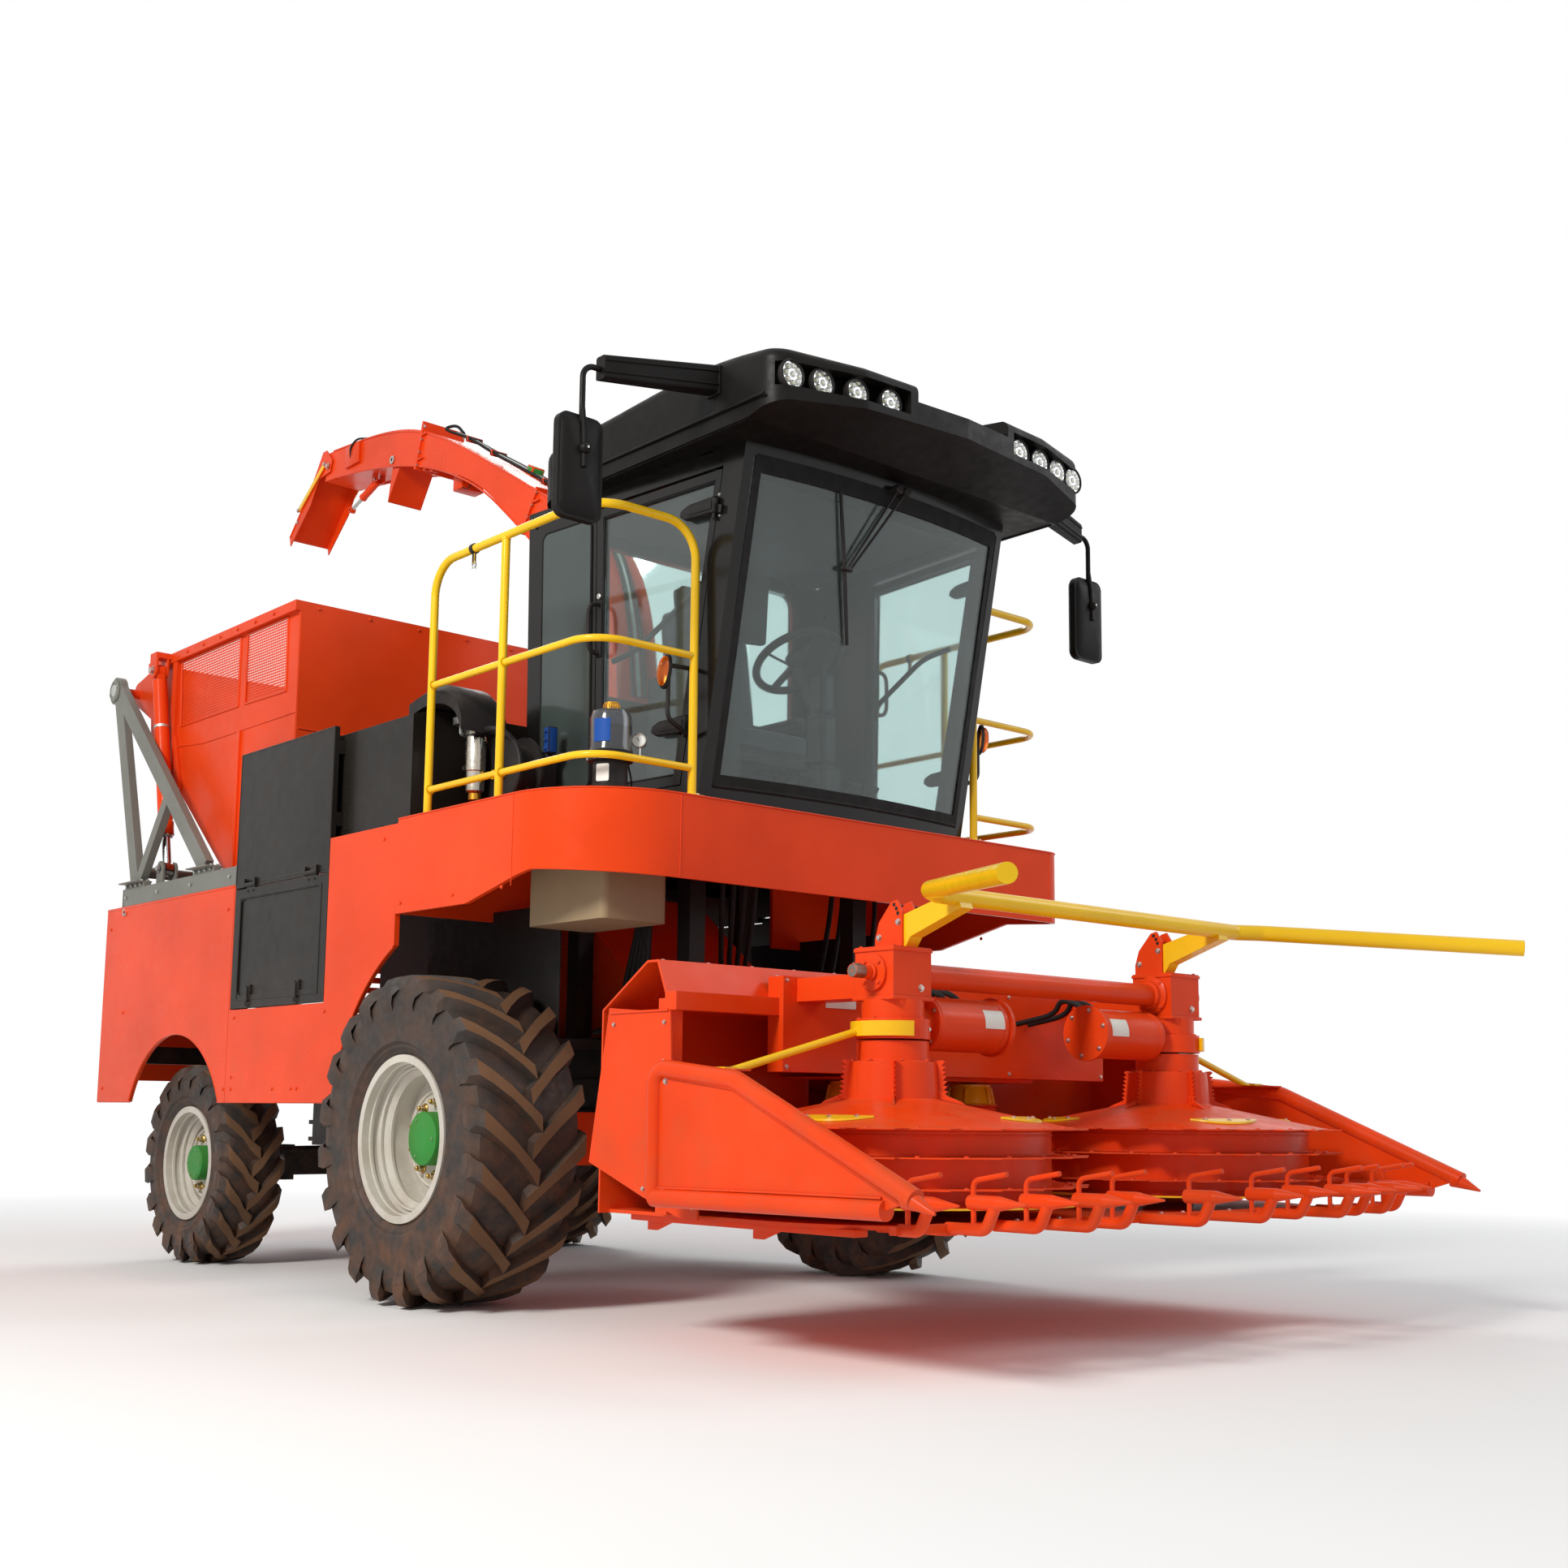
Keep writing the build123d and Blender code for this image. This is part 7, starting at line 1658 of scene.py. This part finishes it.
class HARVESTER_OT_chassis(bpy.types.Operator):
    """Hangs inner wheel walls, hoses, valve blocks and final drives in the dark under the deck."""

    bl_idname = "harvester.chassis"
    bl_label = "Under the deck"

    def execute(self, context):
        bm = bmesh.new()
        for side in (-1, 1):
            # inner wall behind the wheel and its brackets
            slab(bm, (-700, side * 886 - 3, 830), (330, side * 886 + 3, 1600), 0.002, 0)
            for x in (-300, 200):
                slab(bm, (x - 20, side * 540 - 40, 1020), (x + 20, side * 890, 1060), 0.004, 0)
            # final drive behind the wheel disc
            where = facing(0, side * 870, 650, Y * side)
            lathe(bm, [(0.150, -0.03), (0.235, -0.01), (0.235, 0.075), (0.215, 0.090), (0.150, 0.100)],
                  where, 40, 1)
            for n in range(12):
                bolt(bm, where @ Matrix.Translation(polar(0.222, tau * n / 12, 0.086)), 0.011, 2)
            # brake line along the axle
            pipe(bm, eased([at(-40, side * 120, 775), at(-40, side * 600, 775), at(-60, side * 780, 800),
                            at(-70, side * 860, 830)], 0.05), 0.007, 8, 2)
            # hoses from the deck down to the feeder
            for n in range(5):
                y = side * (540 + 26 * n)
                pipe(bm, eased([at(420 + 40 * n, y, 1925), at(430 + 44 * n, y - side * 10, 1700),
                                at(330 + 60 * n, y - side * 4 * n, 1350),
                                at(220 + 70 * n, side * (520 + 8 * n), 1120),
                                at(60 + 50 * n, side * 512, 1100)], 0.14, 7), 0.012 - 0.0012 * (n % 3), 10, 3)
            # steering rod of the rear axle
            pipe(bm, [at(-2330, side * 120, 560), at(-2340, side * 520, 556), at(-2350, side * 770, 552)],
                 0.020, 12, 1)
        # tie bar behind the front axle, then hoses and a valve block under the deck
        pipe(bm, [at(-180, y, 980) for y in (-410, 0, 410)], 0.022, 12, 1)
        for n in range(4):
            pipe(bm, eased([at(660, -300 + 60 * n, 1925), at(640, -300 + 60 * n, 1600),
                            at(520, -200 + 40 * n, 1330), at(480, -100 + 40 * n, 1240)], 0.12, 7),
                 0.011, 10, 3)
        slab(bm, (600, -380, 1800), (760, -120, 1925), 0.008, 1)
        for y in (-340, -290, -240, -190):
            bolts(bm, [(762, y, 1860)], X, 0.013, 2)
        # guard plate across the front under the deck
        slab(bm, (700, -460, 1120), (712, 460, 1300), 0.003, 1)
        made = piece("under_deck_fittings", bm, ["black plastic", "black steel", "zinc", "hose"], "chassis")
        return {"FINISHED"}


class HARVESTER_OT_stage(bpy.types.Operator):
    """Puts down the floor, hangs the lamps and sets the camera."""

    bl_idname = "harvester.stage"
    bl_label = "Floor, lamps and camera"

    def execute(self, context):
        stage = settings()[2]
        scene = context.scene
        scene.view_settings.view_transform = "Standard"
        bm = bmesh.new()
        bmesh.ops.create_grid(bm, x_segments=2, y_segments=2, size=60)
        mesh = bpy.data.meshes.new("floor")
        bm.to_mesh(mesh)
        bm.free()
        floor = bpy.data.objects.new("floor", mesh)
        floor.location.z = CAD_BOX[0][2] - 0.002
        context.collection.objects.link(floor)
        f = Finish("floor")
        pale = linear(stage.floor)
        f.link(f.mix(f.noise(0.6, 3), pale, [v * 0.985 for v in pale]), f.shader.inputs["Base Color"])
        f.set(Roughness=0.9, Specular_IOR_Level=0.15)
        self.fade(f)
        mesh.materials.append(f.material)
        # name, place, width, power, colour, aim
        key, fill = stage.key_power, stage.fill_power
        lamps = (("key lamp", (3.0, -9.5, 7.0), 2.6, key * 2.05, (1.0, 0.97, 0.92), (0.4, 0, 1.4)),
                 ("fill lamp", (7.0, 6.5, 7.5), 5.0, fill * 1.1, (0.94, 0.97, 1.0), (0.4, 0, 1.4)),
                 ("back lamp", (-7.0, 3.5, 7.0), 4.0, fill * 1.3, (1.0, 0.99, 0.97), (-0.5, 0, 2.0)))
        for name, place, size, power, tint, aim in lamps:
            data = bpy.data.lights.new(name, "AREA")
            data.shape, data.size, data.energy, data.color = "DISK", size, power, tint
            lamp = bpy.data.objects.new(name, data)
            lamp.location = place
            lamp.rotation_euler = (Vector(aim) - Vector(place)).to_track_quat("-Z", "Y").to_euler()
            context.collection.objects.link(lamp)
        self.sky(scene)
        data = bpy.data.cameras.new("camera")
        data.lens, data.sensor_width, data.sensor_fit = stage.lens, 36, "HORIZONTAL"
        data.shift_y = SHIFT_Y
        data.clip_end = 200
        camera = bpy.data.objects.new("camera", data)
        right, up, forward = (Vector(v) for v in CAMERA_AXES)
        turned = Matrix((right, up, -forward)).transposed().to_4x4()
        camera.matrix_world = standing(*CAMERA_PLACE) @ turned
        context.collection.objects.link(camera)
        scene.camera = camera
        return {"FINISHED"}

    @staticmethod
    def fade(f):
        """Floor that turns into the white backdrop some metres away from the machine."""
        away = f.node("ShaderNodeVectorMath", operation="LENGTH")
        f.link(f.place, away.inputs[0])
        amount = f.ramp(away.outputs["Value"], 4.2, 9.5)
        white = f.node("ShaderNodeEmission")
        rays = f.node("ShaderNodeLightPath")
        seen = f.math("MAXIMUM", rays.outputs["Is Camera Ray"],
                      f.math("MAXIMUM", rays.outputs["Is Glossy Ray"], rays.outputs["Is Transmission Ray"]))
        pick = f.node("ShaderNodeMixShader")
        f.link(f.math("MULTIPLY", amount, seen), pick.inputs[0])
        f.link(f.shader.outputs[0], pick.inputs[1])
        f.link(white.outputs[0], pick.inputs[2])
        f.link(pick.outputs[0], f.tree.nodes["Material Output"].inputs["Surface"])

    @staticmethod
    def sky(scene):
        """Soft even light, and a plain white backdrop for the camera, in gloss and through glass."""
        world = bpy.data.worlds.new("studio")
        world.use_nodes = True
        scene.world = world
        tree = world.node_tree

        def node(kind, **values):
            made = tree.nodes.new(kind)
            for key, value in values.items():
                setattr(made, key, value)
            return made

        light, white = tree.nodes["Background"], node("ShaderNodeBackground")
        for one, tint, strength in ((light, (0.93, 0.96, 1.0, 1), 0.38), (white, (1, 1, 1, 1), 1.0)):
            one.inputs["Color"].default_value = tint
            one.inputs["Strength"].default_value = strength
        rays, pick = node("ShaderNodeLightPath"), node("ShaderNodeMixShader")
        seen, either = [node("ShaderNodeMath", operation="MAXIMUM") for _ in range(2)]
        for start, end in ((rays.outputs["Is Camera Ray"], seen.inputs[0]),
                           (rays.outputs["Is Transmission Ray"], seen.inputs[1]),
                           (seen.outputs[0], either.inputs[0]),
                           (rays.outputs["Is Glossy Ray"], either.inputs[1]),
                           (either.outputs[0], pick.inputs[0]), (light.outputs[0], pick.inputs[1]),
                           (white.outputs[0], pick.inputs[2]),
                           (pick.outputs[0], tree.nodes["World Output"].inputs["Surface"])):
            tree.links.new(start, end)


# camera: place from the front axle in millimetres, and its right, up and forward directions
CAMERA_PLACE = (6296.7, -5032.6, 761.3)
CAMERA_AXES = ((0.66900, 0.74320, 0.00974), (0.09137, -0.09523, 0.99125), (-0.73763, 0.66226, 0.13161))
SHIFT_Y = 0.059

DRESSERS = (HARVESTER_OT_paint, HARVESTER_OT_tyres, HARVESTER_OT_rims, HARVESTER_OT_gearboxes,
            HARVESTER_OT_rotors, HARVESTER_OT_header, HARVESTER_OT_cab, HARVESTER_OT_roof, HARVESTER_OT_cabin,
            HARVESTER_OT_deck, HARVESTER_OT_panels, HARVESTER_OT_bin, HARVESTER_OT_spout,
            HARVESTER_OT_chassis, HARVESTER_OT_stage)


class HARVESTER_PT_panel(bpy.types.Panel):
    """Buttons in the sidebar, one for each step."""

    bl_idname = "HARVESTER_PT_panel"
    bl_label = "Forage harvester"
    bl_space_type = "VIEW_3D"
    bl_region_type = "UI"
    bl_category = "Harvester"

    def draw(self, context):
        for dresser in DRESSERS:
            self.layout.operator(dresser.bl_idname)


GROUPS = (("harvester_paint", HarvesterPaint), ("harvester_tyres", HarvesterTyres),
          ("harvester_stage", HarvesterStage))


def register():
    for name, group in GROUPS:
        bpy.utils.register_class(group)
        setattr(bpy.types.Scene, name, bpy.props.PointerProperty(type=group))
    for dresser in DRESSERS:
        bpy.utils.register_class(dresser)
    bpy.utils.register_class(HARVESTER_PT_panel)


def unregister():
    bpy.utils.unregister_class(HARVESTER_PT_panel)
    for dresser in reversed(DRESSERS):
        bpy.utils.unregister_class(dresser)
    for name, group in reversed(GROUPS):
        delattr(bpy.types.Scene, name)
        bpy.utils.unregister_class(group)


def main():
    register()
    for dresser in DRESSERS:
        family, name = dresser.bl_idname.split(".")
        getattr(getattr(bpy.ops, family), name)()


if __name__ == "__main__":
    main()
